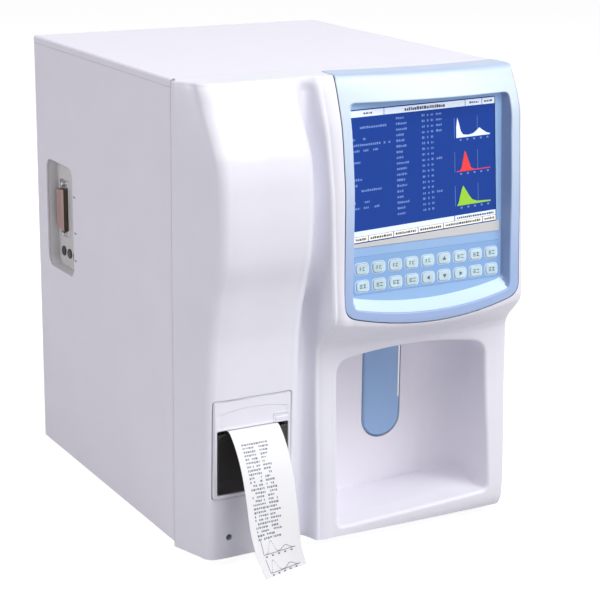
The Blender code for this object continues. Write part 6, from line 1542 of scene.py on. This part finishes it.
def add_screen_bars(shape, slope, left, right, half):
    """The header's cells and the footer's two lines, with dashes for their words."""
    rng = random.Random(5)
    width = right - left
    top = half - 0.8 * MM
    line = -half + 5.6 * MM
    foot = -half + 0.6 * MM

    def cells(shares, bottom, height, slot):
        for start, end in shares:
            add_mark(shape, slope, left + width * start, left + width * end, bottom, bottom + height, slot)

    def words(start, end, bottom, high):
        add_words(shape, slope, left + width * start, left + width * end, bottom, high, MARK, rng, 2)

    cells(HEADER_CELLS, top - HEADER_HEIGHT, HEADER_HEIGHT, PALE)
    for start, end, high in HEADER_WORDS:
        words(start, end, top - HEADER_HEIGHT / 2 - high / 2, high)
    cells(STATUS_CELLS, line, FOOTER_HEIGHT, PALE)
    cells(FOOTER_CELLS, foot, FOOTER_HEIGHT, CREAM)
    for start, end in FOOTER_CELLS:
        words(start + CELL_MARGIN, end - CELL_MARGIN, foot + FOOTER_WORD_RISE, FOOTER_WORD_HEIGHT)
    start, end, high = STATUS_WORDS
    words(start, end, line + FOOTER_WORD_RISE, high)


def add_screen_rows(shape, slope, left, half):
    """Columns of faint dashes, like a list of readings, in millimetres from the left."""
    rng = random.Random(7)
    for row in range(SCREEN_ROWS):
        bottom = half - HEADER_HEIGHT - SCREEN_FIRST_ROW - row * SCREEN_ROW_PITCH
        runs = [(46, 46 + rng.uniform(6, 13)), (73, 76), (78.5, 80), (82.5, 85)]
        if row in FLAGGED_ROWS:
            runs.append((88, 94))
        runs += LIST_RUNS.get(row, [])
        for start, end in runs:
            add_words(
                shape, slope, left + start * MM, left + end * MM, bottom, SCREEN_ROW_HEIGHT, FAINT, rng)


def add_histograms(shape, slope, left, half):
    """Three plain curves with their axes at the right of the field."""
    start = left + CURVE_LEFT
    end = start + CURVE_WIDTH
    for drop, slot, table in CURVES:
        foot = half - drop
        line = foot - 0.5 * MM
        top = foot + CURVE_HEIGHT
        add_mark(shape, slope, start - 2.2 * MM, start - 1.8 * MM, line, top, FAINT)
        add_mark(shape, slope, start + CURVE_WIDTH * 0.62, start + CURVE_WIDTH * 0.63, foot, top, FAINT)
        add_mark(shape, slope, start, end, line, foot + 0.3 * MM, slot, 2)
        for tick in range(CURVE_TICKS):
            x = start + CURVE_WIDTH * (tick + 0.5) / CURVE_TICKS
            add_mark(shape, slope, x, x + 2 * MM, foot - 3.4 * MM, foot - 1.8 * MM, FAINT)
        shares = np.linspace(table[0][0], table[-1][0], CURVE_STEPS)
        levels = np.interp(shares, [x for x, _ in table], [y for _, y in table])
        curve = [(start + CURVE_WIDTH * x, foot + CURVE_HEIGHT * y) for x, y in zip(shares, levels)]
        outline = [(curve[0][0], foot - 0.2 * MM)] + curve + [(curve[-1][0], foot - 0.2 * MM)]
        add_tile(shape, slope, outline, GLASS_FACE, GLASS_FACE + 0.15 * MM, slot)


def key_outline(x, along, width, height, radius):
    """A key's rounded outline on the slope."""
    bottom = along - height / 2
    return rounded_rectangle(x - width / 2, x + width / 2, bottom, bottom + height, radius, 5)


def key_marks(row, column):
    """Bars of a key's legend, as left, right, bottom and top from its middle in millimetres, or an arrow."""
    if (row, column) in ARROW_KEYS:
        return ARROW_KEYS[(row, column)]
    if row == 1 and column < 6:
        return BRACKET_BARS
    return LIST_BARS + (STEM_BAR,) if (row + column) % 2 else LIST_BARS


def add_legend(shape, slope, x, along, marks, top):
    """A key's legend: bars, or a small arrow."""
    if isinstance(marks, str):
        turn = math.pi / 2 * LEGEND_TURNS[marks]
        cos, sin = math.cos(turn), math.sin(turn)
        points = [(x + (px * cos - pz * sin) * MM, along + (px * sin + pz * cos) * MM) for px, pz in ARROW]
        add_tile(shape, slope, points, top, top + LEGEND_RISE, 1)
        return
    for a, b, low, high in marks:
        outline = bar(x + a * MM, x + b * MM, along + low * MM, along + high * MM)
        add_tile(shape, slope, outline, top, top + LEGEND_RISE, 1)


def make_keys():
    """Eighteen rubber keys, each with its legend, and the film they stand in."""
    slope = Slope(KEYPAD_CENTRE_Z)
    film = Shape()
    left = SCREEN_CENTRE_X - KEYPAD_WIDTH / 2
    right = SCREEN_CENTRE_X + KEYPAD_WIDTH / 2
    top = KEYPAD_HEIGHT / 2
    panel = rounded_rectangle(left, right, -top, top, KEYPAD_CORNER)
    add_tile(film, slope, panel, FILM_REAR, FILM_TOP, 0, edge=FILM_EDGE)
    # A dark line along the film's top edge, painted shade in the crease.
    add_tile(film, slope, bar(left, right, top, top + FILM_LINE), FILM_REAR, 0.2 * MM, 2)
    for name in sorted(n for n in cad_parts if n.startswith("key_") and n != "key_switch"):
        low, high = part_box(name)
        x = (low.x + high.x) / 2
        along = ((low.z + high.z) / 2 - KEYPAD_CENTRE_Z) / math.cos(SCREEN_TILT) - KEY_DROP
        width = high.x - low.x
        height = (high.z - low.z) / math.cos(SCREEN_TILT) - KEY_TRIM
        # Each key gets a pale ring, a painted highlight, and inside it a darker ring, painted shade at its
        # foot.
        for growth, corner, foot, rise, slot in (
                (KEY_HIGHLIGHT_RING_GROWTH, 3.6 * MM, FILM_TOP - 0.1 * MM, 0.12 * MM, 1),
                (KEY_SHADE_RING_GROWTH, 3.3 * MM, FILM_TOP, 0.16 * MM, 2)):
            outline = key_outline(x, along, width + growth, height + growth, corner)
            add_tile(film, slope, outline, foot, FILM_TOP + rise, slot)
        make_cap(slope, name, x, along, width, height)
    obj = film.build("keypad_film", "keypad", "outline", "rim")
    place_piece(obj, CABINET, "bezel_blue", "keypad_panel")


def make_cap(slope, name, x, along, width, height):
    """One key's cap; its row and column are in its node's name."""
    row, column = (int(part) for part in name.split("_")[1:])
    cap = Shape()
    top = FILM_TOP + KEY_CAP_RISE
    outline = key_outline(x, along, width, height, KEY_CORNER)
    add_tile(cap, slope, outline, FILM_REAR, top, 0, edge=KEY_EDGE)
    add_legend(cap, slope, x, along, key_marks(row, column), top)
    obj = cap.build("cap_%d_%d" % (row, column), "key", "legend")
    place_piece(obj, name, "key_rubber", name)


# Aspirate key

def make_aspirate_paddle():
    """The rocking key on the bay's back wall: a dished face with a rolled rim."""
    shape = Shape()
    front = BAY_REAR_Y - PADDLE_PROUD
    outline = resampled(paddle_outline(0.0), 2 * MM)
    face = grown(outline, -PADDLE_ROUND)

    def surface(xs, zs):
        across = (xs - PADDLE_CENTRE_X) / (PADDLE_WIDTH / 2)
        return np.stack((xs, front + PADDLE_DISH * (1 - across ** 2), zs), axis=1)

    xs = np.linspace(PADDLE_CENTRE_X - PADDLE_WIDTH / 2, PADDLE_CENTRE_X + PADDLE_WIDTH / 2, 18)
    zs = np.linspace(PADDLE_BOTTOM_Z, PADDLE_TOP_Z, 34)
    loops, normals = add_patch(shape, face, [], xs, zs, surface, "face")
    start = np.array([shape.points[i] for i in loops[0]])
    corner = np.array([(x, y, z) for (x, z), y in zip(outline, start[:, 1])])
    end = corner + np.array((0.0, PADDLE_ROUND, 0.0))
    rows = rolled_rows(start, corner, end, 5)
    rear = np.array([(x, front + PADDLE_THICK, z) for x, z in outline])
    made = shape.rings([loops[0]] + rows + [rear], "rim")
    shape.carry_normals("rim", loops[0], normals)
    shape.add_face(tuple(made[-1][::-1]), "rear")
    obj = shape.build("aspirate_paddle", "paddle")
    return place_piece(obj, "aspirate_key", "paddle_blue", "aspirate_key")


# Recorder

def face_points(outline, y):
    """An outline in x and z at one y."""
    return [(x, y, z) for x, z in outline]


def make_recorder_frame():
    """The recorder's frame: rolled outer edge, lid with a shallow arched step, window and paper well."""
    shape = Shape()
    y = RECORDER_FACE_Y
    outer = rounded_rectangle(
        RECORDER_LEFT + FRAME_INSET, RECORDER_RIGHT - FRAME_INSET, RECORDER_BOTTOM_Z + FRAME_INSET,
        RECORDER_TOP_Z - FRAME_INSET, 2.6 * MM, 5)
    window = bar(WINDOW_LEFT, WINDOW_RIGHT, WINDOW_BOTTOM_Z, WINDOW_TOP_Z)
    window = round_corners(window, [1.6 * MM] * 4, 4)

    def surface(xs, zs):
        along = np.clip((xs - WINDOW_LEFT) / (WINDOW_RIGHT - WINDOW_LEFT), 0.0, 1.0)
        line = LID_STEP_Z + LID_STEP_RISE * 4 * along * (1 - along)
        s = np.clip((line - zs) / LID_STEP_RUN, 0.0, 1.0)
        for margin in (xs - WINDOW_LEFT, WINDOW_RIGHT - xs, zs - WINDOW_TOP_Z - 1 * MM):
            s = s * np.clip(margin / LID_STEP_FADE, 0, 1)
        return np.stack((xs, y + LID_STEP_DEPTH * s * s * (3 - 2 * s), zs), axis=1)

    face = grown(outer, -FRAME_EDGE)
    hole = grown(window, FRAME_EDGE)
    xs = np.linspace(RECORDER_LEFT, RECORDER_RIGHT, 60)
    zs = np.array(spread((RECORDER_BOTTOM_Z, 0.0), (133 * MM, 3 * MM), (RECORDER_TOP_Z, 0.5 * MM)))
    loops, normals = add_patch(shape, face, [hole], xs, zs, surface, "face")
    for index, (target, depth) in enumerate(((outer, FRAME_DEPTH), (window, WINDOW_DEPTH))):
        start = np.array([shape.points[i] for i in loops[index]])
        corner = np.array(face_points(target, y))
        end = corner + np.array((0.0, FRAME_EDGE, 0.0))
        rows = rolled_rows(start, corner, end, 4)
        rows.append(face_points(target, y + depth))
        if target is window:
            deep = grown(target, WINDOW_UNDERCUT)
            rows.append(face_points(deep, y + WINDOW_DEPTH + WINDOW_STEP))
            rows.append(face_points(deep, y + RECORDER_DEPTH - RECORDER_WALL))
        group = "edge%d" % index
        made = shape.rings([loops[index]] + rows, group)
        shape.carry_normals(group, loops[index], normals)
        if target is window:
            shape.add_face(tuple(made[-1]), "back")
    add_latch_notch(shape, y)
    obj = shape.build("recorder_frame", "white")
    return place_piece(obj, CABINET, "housing_white", "recorder_case")


def add_latch_notch(shape, y):
    """The thin line round the latch, as a raised rim on the lid."""
    left = WINDOW_RIGHT - LATCH_WIDTH - 1.2 * MM
    right = WINDOW_RIGHT + 0.8 * MM
    low = WINDOW_TOP_Z + 0.6 * MM
    high = WINDOW_TOP_Z + LATCH_HEIGHT + 3.6 * MM
    for a, b, c, d in (
            (left - LATCH_RIM, left, low, high), (right, right + LATCH_RIM, low, high),
            (left - LATCH_RIM, right + LATCH_RIM, high, high + LATCH_RIM)):
        outline = bar(a, b, c, d)
        rows = [face_points(outline, y + 1 * MM), face_points(outline, y - 0.25 * MM)]
        made = shape.rings(rows, "latch%g" % a)
        shape.add_face(tuple(made[-1]), "latchtop%g" % a)


def slab_piece(name, outline, front, rear, edge, finish, steps=4):
    """A plate seen from the front, its outline in x and z, with a rolled front edge."""
    shape = Shape()
    outline = counter_clockwise(outline)
    rows = []
    for k in range(steps + 1):
        turn = math.pi / 2 * k / steps
        ring = grown(outline, -edge * (1 - math.sin(turn)))
        rows.append(face_points(ring, front + edge * (1 - math.cos(turn))))
    made = shape.rings(rows + [face_points(outline, rear)], "rim")
    shape.add_face(tuple(made[0][::-1]), "face")
    shape.add_face(tuple(made[-1]), "rear")
    shape.faces = [face[::-1] for face in shape.faces]
    return shape.build(name, finish)


def make_recorder_door():
    """The smoked door with its rolled edges."""
    gap = 0.5 * MM
    outline = rounded_rectangle(
        WINDOW_LEFT + gap, WINDOW_RIGHT - gap, WINDOW_BOTTOM_Z + gap, DOOR_TOP_Z, 1.6 * MM, 4)
    obj = slab_piece("smoked_pane", outline, RECORDER_FACE_Y + 0.2 * MM, RECORDER_FACE_Y + 2.4 * MM,
                     0.7 * MM, "smoked")
    return place_piece(obj, "recorder_door", "smoked_plastic", "recorder_door")


def make_recorder_latch():
    """The slide that frees the door."""
    left = WINDOW_RIGHT - LATCH_WIDTH + FIT_GAP
    outline = rounded_rectangle(
        left, WINDOW_RIGHT, WINDOW_TOP_Z, WINDOW_TOP_Z + LATCH_HEIGHT, 0.8 * MM, 4)
    obj = slab_piece("latch_slide", outline, RECORDER_FACE_Y - 0.6 * MM, RECORDER_FACE_Y + 3 * MM,
                     0.5 * MM, "white")
    return place_piece(obj, "recorder_latch", "housing_white", "recorder_latch")


def strip_point(share):
    """Centre line of the printed strip at shares of its reach: sideways drift, y and z."""
    share = np.asarray(share, float)
    courses = (PAPER_DRIFT, PAPER_COURSE_Y, PAPER_COURSE_Z)
    return np.stack([follow(course, share) * MM for course in courses], axis=1)


class Strip:
    """Places on the strip by distance from its inner end, across its width, and off its face."""

    def __init__(self):
        shares = np.linspace(0.0, 1.0, 400)
        points = strip_point(shares)
        self.lengths = np.concatenate(([0.0], np.cumsum(np.linalg.norm(np.diff(points, axis=0), axis=1))))
        self.points = points
        self.total = float(self.lengths[-1])

    def at(self, along, across, out):
        """The point there; across runs from minus one at the left edge to one at the right."""
        along = min(max(along, 0.0), self.total)
        step = 1 * MM
        centre = self.centre(along)
        run = self.centre(min(along + step, self.total)) - self.centre(max(along - step, 0.0))
        run = run / np.linalg.norm(run)
        turn = math.radians(float(follow(PAPER_TWIST, along / self.total)))
        way = np.array((math.cos(turn), math.sin(turn), 0.0))
        side = way - run * float(run @ way)
        side /= np.linalg.norm(side)
        normal = np.cross(side, run)
        normal = normal if normal[1] < 0 or normal[2] > 0 else -normal
        curl = PAPER_CURL * (across ** 2) * (along / self.total)
        middle = np.array((PAPER_CENTRE_X, 0.0, 0.0)) + centre
        return middle + way * across * PAPER_WIDTH / 2 + normal * (out + curl)

    def centre(self, along):
        """The centre line at a distance along it."""
        return np.array([np.interp(along, self.lengths, self.points[:, k]) for k in range(3)])


def make_printed_strip():
    """The printed strip: a thin curled sheet with rows of short marks and two small curves."""
    strip = Strip()
    shape = Shape()
    half = PAPER_THICK / 2
    across = np.linspace(-1.0, 1.0, 9)
    alongs = np.linspace(0.0, strip.total, 90)
    for side, sign in (("upper", 1.0), ("lower", -1.0)):
        rows = [[tuple(strip.at(a, c, sign * half)) for c in across] for a in alongs]
        rows = rows if sign > 0 else [row[::-1] for row in rows]
        shape.rings(rows, side, closed=False)
    add_strip_rows(shape, strip)
    add_strip_curves(shape, strip)
    obj = shape.build("printed_strip", "paper", "print")
    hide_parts("paper_strip")
    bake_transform(obj)
    return obj


def strip_mark(shape, strip, start, length, left, right):
    """One printed mark, lying on the strip's face."""
    out = PAPER_THICK / 2 + PRINT_LIFT
    corners = [(start, left), (start, right), (start + length, right), (start + length, left)]
    points = [tuple(strip.at(a, c, out)) for a, c in corners]
    shape.add_face(tuple(shape.add_points(points)), "marks", 1)


def add_strip_rows(shape, strip):
    """Rows of short marks in two columns, with a few marks left out."""
    rng = random.Random(11)
    start = strip.total * PRINT_START_SHARE
    pitch = strip.total * PRINT_PITCH_SHARE
    for row in range(PRINT_ROWS):
        place = start + pitch * row
        counts = [rng.choice(choices) for _, choices in PRINT_COLUMNS]
        for (left, _), words in zip(PRINT_COLUMNS, counts):
            for _ in range(words):
                width = rng.uniform(0.03, 0.09)
                if rng.random() < 0.86:
                    strip_mark(shape, strip, place, rng.uniform(1.3, 2.0) * MM, left, left + width)
                left += width + 0.025


def add_strip_curves(shape, strip):
    """Two small curves with their axes near the strip's free end."""
    for share, peak in PRINT_CURVES:
        place = strip.total * share
        strip_mark(shape, strip, place, 0.5 * MM, -0.66, 0.74)
        strip_mark(shape, strip, place - 13 * MM, 13 * MM, -0.68, -0.655)
        for k in range(PRINT_CURVE_STEPS):
            s = (k + 0.5) / PRINT_CURVE_STEPS
            level = math.exp(-((s - peak) / 0.1) ** 2) + 0.35 * math.exp(-((s - 0.7) / 0.14) ** 2)
            left = PRINT_LEFT + PRINT_SPAN * k / PRINT_CURVE_STEPS
            right = left + PRINT_SPAN / PRINT_CURVE_STEPS
            strip_mark(shape, strip, place - PRINT_CURVE_HEIGHT * min(level, 1.0), 0.6 * MM, left, right)
        for tick in range(5):
            left = -0.62 + 0.28 * tick
            strip_mark(shape, strip, place + 1.6 * MM, 1.4 * MM, left, left + 0.09)


# Covers, rear and small fittings

def soften(name, width):
    """Roll a carried-over node's sharp edges."""
    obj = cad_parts[name]
    weld = obj.modifiers.new("weld", "WELD")
    weld.merge_threshold = 0.01 * MM
    bevel = obj.modifiers.new("roll", "BEVEL")
    bevel.width = width
    bevel.segments = 2
    bevel.limit_method = "ANGLE"
    bevel.angle_limit = math.radians(50)
    bevel.harden_normals = False


def add_screw(shape, centre, out, up, radius):
    """A pan-head screw with a cross slot: centre of its seat, outward and upward directions."""
    centre, out, up = Vector(centre), Vector(out), Vector(up)
    side = up.cross(out)
    count = 24
    rows = []
    for reach, rise in SCREW_PROFILE:
        ring = []
        for k in range(count):
            turn = 2 * math.pi * k / count
            way = side * math.cos(turn) + up * math.sin(turn)
            ring.append(tuple(centre + way * radius * reach + out * radius * rise))
        rows.append(ring)
    made = shape.rings(rows, "screw%d" % len(shape.faces))
    top = centre + out * radius * SCREW_PROFILE[-1][1]
    shape.add_face(tuple(made[-1]), "screwtop%d" % len(shape.faces))
    # The cross slot is two flat quads painted black as shade.
    for a, b in ((side, up), (up, side)):
        corners = []
        for sa, sb in ((-1, -1), (1, -1), (1, 1), (-1, 1)):
            corners.append(tuple(top + a * radius * 0.5 * sa + b * radius * 0.1 * sb + out * 0.03 * MM))
        face = shape.add_points(corners)
        if (a.cross(b)).dot(out) < 0:
            face = face[::-1]
        shape.add_face(tuple(face), "slot%d" % len(shape.faces), 1)


def make_screws():
    """Screws through the covers' rear flanges and the fan's grille."""
    shape = Shape()
    back, up = (0.0, 1.0, 0.0), (0.0, 0.0, 1.0)
    for side in (-1, 1):
        for z in SCREW_HEIGHTS:
            x = side * (BODY_WIDTH / 2 - SCREW_INSET)
            add_screw(shape, (x, BODY_DEPTH, z), back, up, SCREW_RADIUS)
    low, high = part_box("fan_frame")
    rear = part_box("rear_panel")[1].y - SEAM_Y
    for x in (low.x + FAN_SCREW_INSET, high.x - FAN_SCREW_INSET):
        for z in (low.z + FAN_SCREW_INSET, high.z - FAN_SCREW_INSET):
            add_screw(shape, (x, rear, z), back, up, FAN_SCREW_RADIUS)
    obj = shape.build("cover_screws", "steel", "black")
    return place_piece(obj, CABINET, "steel")


def side_points(outline, x):
    """An outline in y and z at one x."""
    return [(x, y, z) for y, z in outline]


def add_boss(shape, outline, face, edge, side_slot, face_slot):
    """A part that stands out of the recess's floor with a rolled edge; its outline is in y and z."""
    outline = counter_clockwise(outline)
    group = "boss%d" % len(shape.faces)
    rows = [side_points(outline, PORT_FLOOR_X)]
    for k in range(5):
        turn = math.pi / 2 * k / 4
        ring = grown(outline, -edge * (1 - math.cos(turn)))
        rows.append(side_points(ring, face + edge * (1 - math.sin(turn))))
    made = shape.rings(rows, group, side_slot)
    shape.add_face(tuple(made[-1]), group + "face", face_slot)


def make_port_tray():
    """The connector recess: its flange behind the cover, its walls, its floor and three round sockets."""
    shape = Shape()
    mouth = counter_clockwise(rounded_rectangle(
        PORT_FRONT_Y, PORT_REAR_Y, PORT_BOTTOM_Z, PORT_TOP_Z, PORT_CORNER))
    rows = [side_points(grown(mouth, PORT_FLANGE), PORT_MOUTH_X), side_points(mouth, PORT_MOUTH_X)]
    for k in range(7):
        turn = math.pi / 2 * k / 6
        ring = grown(mouth, -PORT_ROUND * (1 - math.cos(turn)))
        rows.append(side_points(ring, PORT_FLOOR_X - PORT_ROUND * (1 - math.sin(turn))))
    made = shape.rings(rows, "wall")
    shape.add_face(tuple(made[-1]), "floor")
    for place in ROUND_SOCKETS:
        add_boss(shape, arc(place, ROUND_SOCKET_RADIUS, 0, 345, 23), PORT_FLOOR_X - 1.4 * MM, 0.5 * MM, 1, 1)
    obj = shape.build("connector_recess", "tray", "black")
    return place_piece(obj, CABINET, "cover_paint", "port_tray")


def make_connector():
    """The long connector: flange, slanted shell with its contact holes, and two posts."""
    shape = Shape()
    low = CONNECTOR_FRONT_Y
    high = CONNECTOR_REAR_Y
    bottom = CONNECTOR_BOTTOM_Z
    top = CONNECTOR_TOP_Z
    flange = rounded_rectangle(low - 1 * MM, high + 1 * MM, bottom - 7 * MM, top + 7.5 * MM, 3 * MM)
    add_boss(shape, flange, PORT_FLOOR_X - FLANGE_PROUD, 0.4 * MM, 0, 0)
    shell = round_corners(
        [(low, bottom), (high, bottom + SHELL_SLANT), (high, top - SHELL_SLANT), (low, top)],
        [1.5 * MM] * 4, 4)
    # The shell's sides are painted dark brown as shade; its face is beige.
    add_boss(shape, shell, CONNECTOR_FACE_X, 0.5 * MM, 2, 1)
    middle_y, middle_z = (low + high) / 2, (bottom + top) / 2
    for z in (bottom - POST_OFFSET, top + POST_OFFSET):
        post = arc((middle_y, z), POST_RADIUS, 0, 330, 11)
        add_boss(shape, post, PORT_FLOOR_X - POST_PROUD, 0.5 * MM, 0, 0)
    # The contact holes are flat black discs, painted shade standing for the holes.
    for row, count in CONTACT_ROWS:
        for k in range(count):
            z = middle_z + (k - (count - 1) / 2) * CONTACT_PITCH
            hole = arc((middle_y + row * CONTACT_OFFSET, z), CONTACT_RADIUS, 0, 315, 7)
            points = side_points(hole, CONNECTOR_FACE_X - 0.04 * MM)
            shape.add_face(tuple(shape.add_points(points)), "hole%d_%d" % (row, k), 3)
    obj = shape.build("long_connector", "steel", "beige", "brown", "black")
    return place_piece(obj, CABINET, "port_beige", "parallel_port")


def make_cover_marks():
    """Three small grey dashes on the cover beside the connectors."""
    shape = Shape()
    for y, z in COVER_MARKS:
        outline = counter_clockwise(bar(y - 2.8 * MM, y + 2.8 * MM, z - 0.8 * MM, z + 0.8 * MM))
        points = side_points(outline, -BODY_WIDTH / 2 - 0.05 * MM)
        shape.add_face(tuple(shape.add_points(points)), "mark%g" % z)
    obj = shape.build("cover_marks", "dash")
    return place_piece(obj, CABINET, "cover_paint")


def dress_nodes():
    """Detailed materials on the nodes that stay, and rolled edges on the sheet pieces."""
    for name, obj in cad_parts.items():
        for slot in obj.material_slots:
            key = slot.material.name.split(".")[0] if slot.material else ""
            if key in SLOT_FINISH:
                slot.material = FINISH[SLOT_FINISH[key]]
    for name, width in SOFT_EDGES.items():
        soften(name, width)


# Stage: floor, light and camera

def ray_factor(tree):
    """One for rays from the camera, or by way of gloss and glass."""
    path = tree.nodes.new("ShaderNodeLightPath")
    total = path.outputs["Is Camera Ray"]
    for name in ("Is Glossy Ray", "Is Transmission Ray"):
        total = reckoned(tree, "MAXIMUM", total, path.outputs[name])
    return total


def make_world():
    """A white backdrop for what the camera sees, and a plain cool light for the object."""
    world = bpy.data.worlds.new("studio")
    world.use_nodes = True
    tree = world.node_tree
    ambient = tree.nodes["Background"]
    ambient.inputs["Color"].default_value = (1.0, 0.95, 1.0, 1.0)
    ambient.inputs["Strength"].default_value = AMBIENT_STRENGTH
    seen = tree.nodes.new("ShaderNodeBackground")
    seen.inputs["Color"].default_value = (1.0, 1.0, 1.0, 1.0)
    mix = tree.nodes.new("ShaderNodeMixShader")
    tree.links.new(ray_factor(tree), mix.inputs[0])
    tree.links.new(ambient.outputs[0], mix.inputs[1])
    tree.links.new(seen.outputs[0], mix.inputs[2])
    tree.links.new(mix.outputs[0], tree.nodes["World Output"].inputs["Surface"])
    bpy.context.scene.world = world


def make_floor():
    """A wide pale floor that keeps a faint shadow and otherwise shows as white."""
    bm = bmesh.new()
    bmesh.ops.create_circle(bm, cap_ends=True, segments=96, radius=FLOOR_RADIUS)
    mesh = bpy.data.meshes.new("floor")
    bm.to_mesh(mesh)
    bm.free()
    obj = bpy.data.objects.new("floor", mesh)
    bpy.context.scene.collection.objects.link(obj)
    material, tree, shader = new_nodes("floor_white")
    shader.inputs["Base Color"].default_value = (0.5, 0.5, 0.51, 1.0)
    shader.inputs["Roughness"].default_value = 0.9
    shader.inputs["Specular IOR Level"].default_value = 0.0
    glow = tree.nodes.new("ShaderNodeEmission")
    strength = reckoned(tree, "MULTIPLY", ray_factor(tree), FLOOR_GLOW)
    tree.links.new(strength, glow.inputs["Strength"])
    add = tree.nodes.new("ShaderNodeAddShader")
    tree.links.new(shader.outputs[0], add.inputs[0])
    tree.links.new(glow.outputs[0], add.inputs[1])
    tree.links.new(add.outputs[0], tree.nodes["Material Output"].inputs["Surface"])
    mesh.materials.append(material)
    obj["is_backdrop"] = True


def add_lamp(name, place, size, power, colour):
    """A soft square lamp aimed at the cabinet."""
    data = bpy.data.lights.new(name, "AREA")
    data.size = size
    data.energy = power
    data.color = colour
    obj = bpy.data.objects.new(name, data)
    obj.location = place
    obj.rotation_euler = (Vector(LAMP_TARGET) - Vector(place)).to_track_quat("-Z", "Y").to_euler()
    bpy.context.scene.collection.objects.link(obj)


def make_lights():
    """Soft studio light from the right front and above, with weak fills from the left and below."""
    for name, place, size, power, colour in LAMPS:
        add_lamp(name, place, size, power, colour)


def make_camera():
    """The camera at the photograph's viewing angle."""
    cos_e = math.cos(CAMERA_ELEVATION)
    back = Vector((
        -math.sin(CAMERA_AZIMUTH) * cos_e, -math.cos(CAMERA_AZIMUTH) * cos_e, math.sin(CAMERA_ELEVATION)))
    level = Vector((math.cos(CAMERA_AZIMUTH), -math.sin(CAMERA_AZIMUTH), 0.0))
    upright = back.cross(level)
    right = level * math.cos(CAMERA_ROLL) + upright * math.sin(CAMERA_ROLL)
    up = upright * math.cos(CAMERA_ROLL) - level * math.sin(CAMERA_ROLL)
    data = bpy.data.cameras.new("photo_camera")
    data.sensor_width = SENSOR_MM
    data.lens = CAMERA_FOCAL_PX * SENSOR_MM / PHOTO_WIDTH_PX
    camera = bpy.data.objects.new("photo_camera", data)
    place = seam(CAMERA_TARGET) + back * CAMERA_DISTANCE
    camera.matrix_world = Matrix((
        (right.x, up.x, back.x, place.x), (right.y, up.y, back.y, place.y),
        (right.z, up.z, back.z, place.z), (0.0, 0.0, 0.0, 1.0)))
    bpy.context.scene.collection.objects.link(camera)
    bpy.context.scene.camera = camera


def main():
    """Build the stage and every piece."""
    bpy.context.scene.view_settings.view_transform = "Standard"
    make_camera()
    make_world()
    make_floor()
    make_lights()
    dress_nodes()
    for make in (
            make_front_moulding, make_bezel, make_display, make_keys, make_aspirate_paddle,
            make_recorder_frame, make_recorder_door, make_recorder_latch, make_printed_strip,
            make_screws, make_port_tray, make_connector, make_cover_marks):
        make()
    boxes = {"cad": CAD_BOX, "visual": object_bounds()}
    boxes = {name: [list(corner) for corner in box] for name, box in boxes.items()}


main()
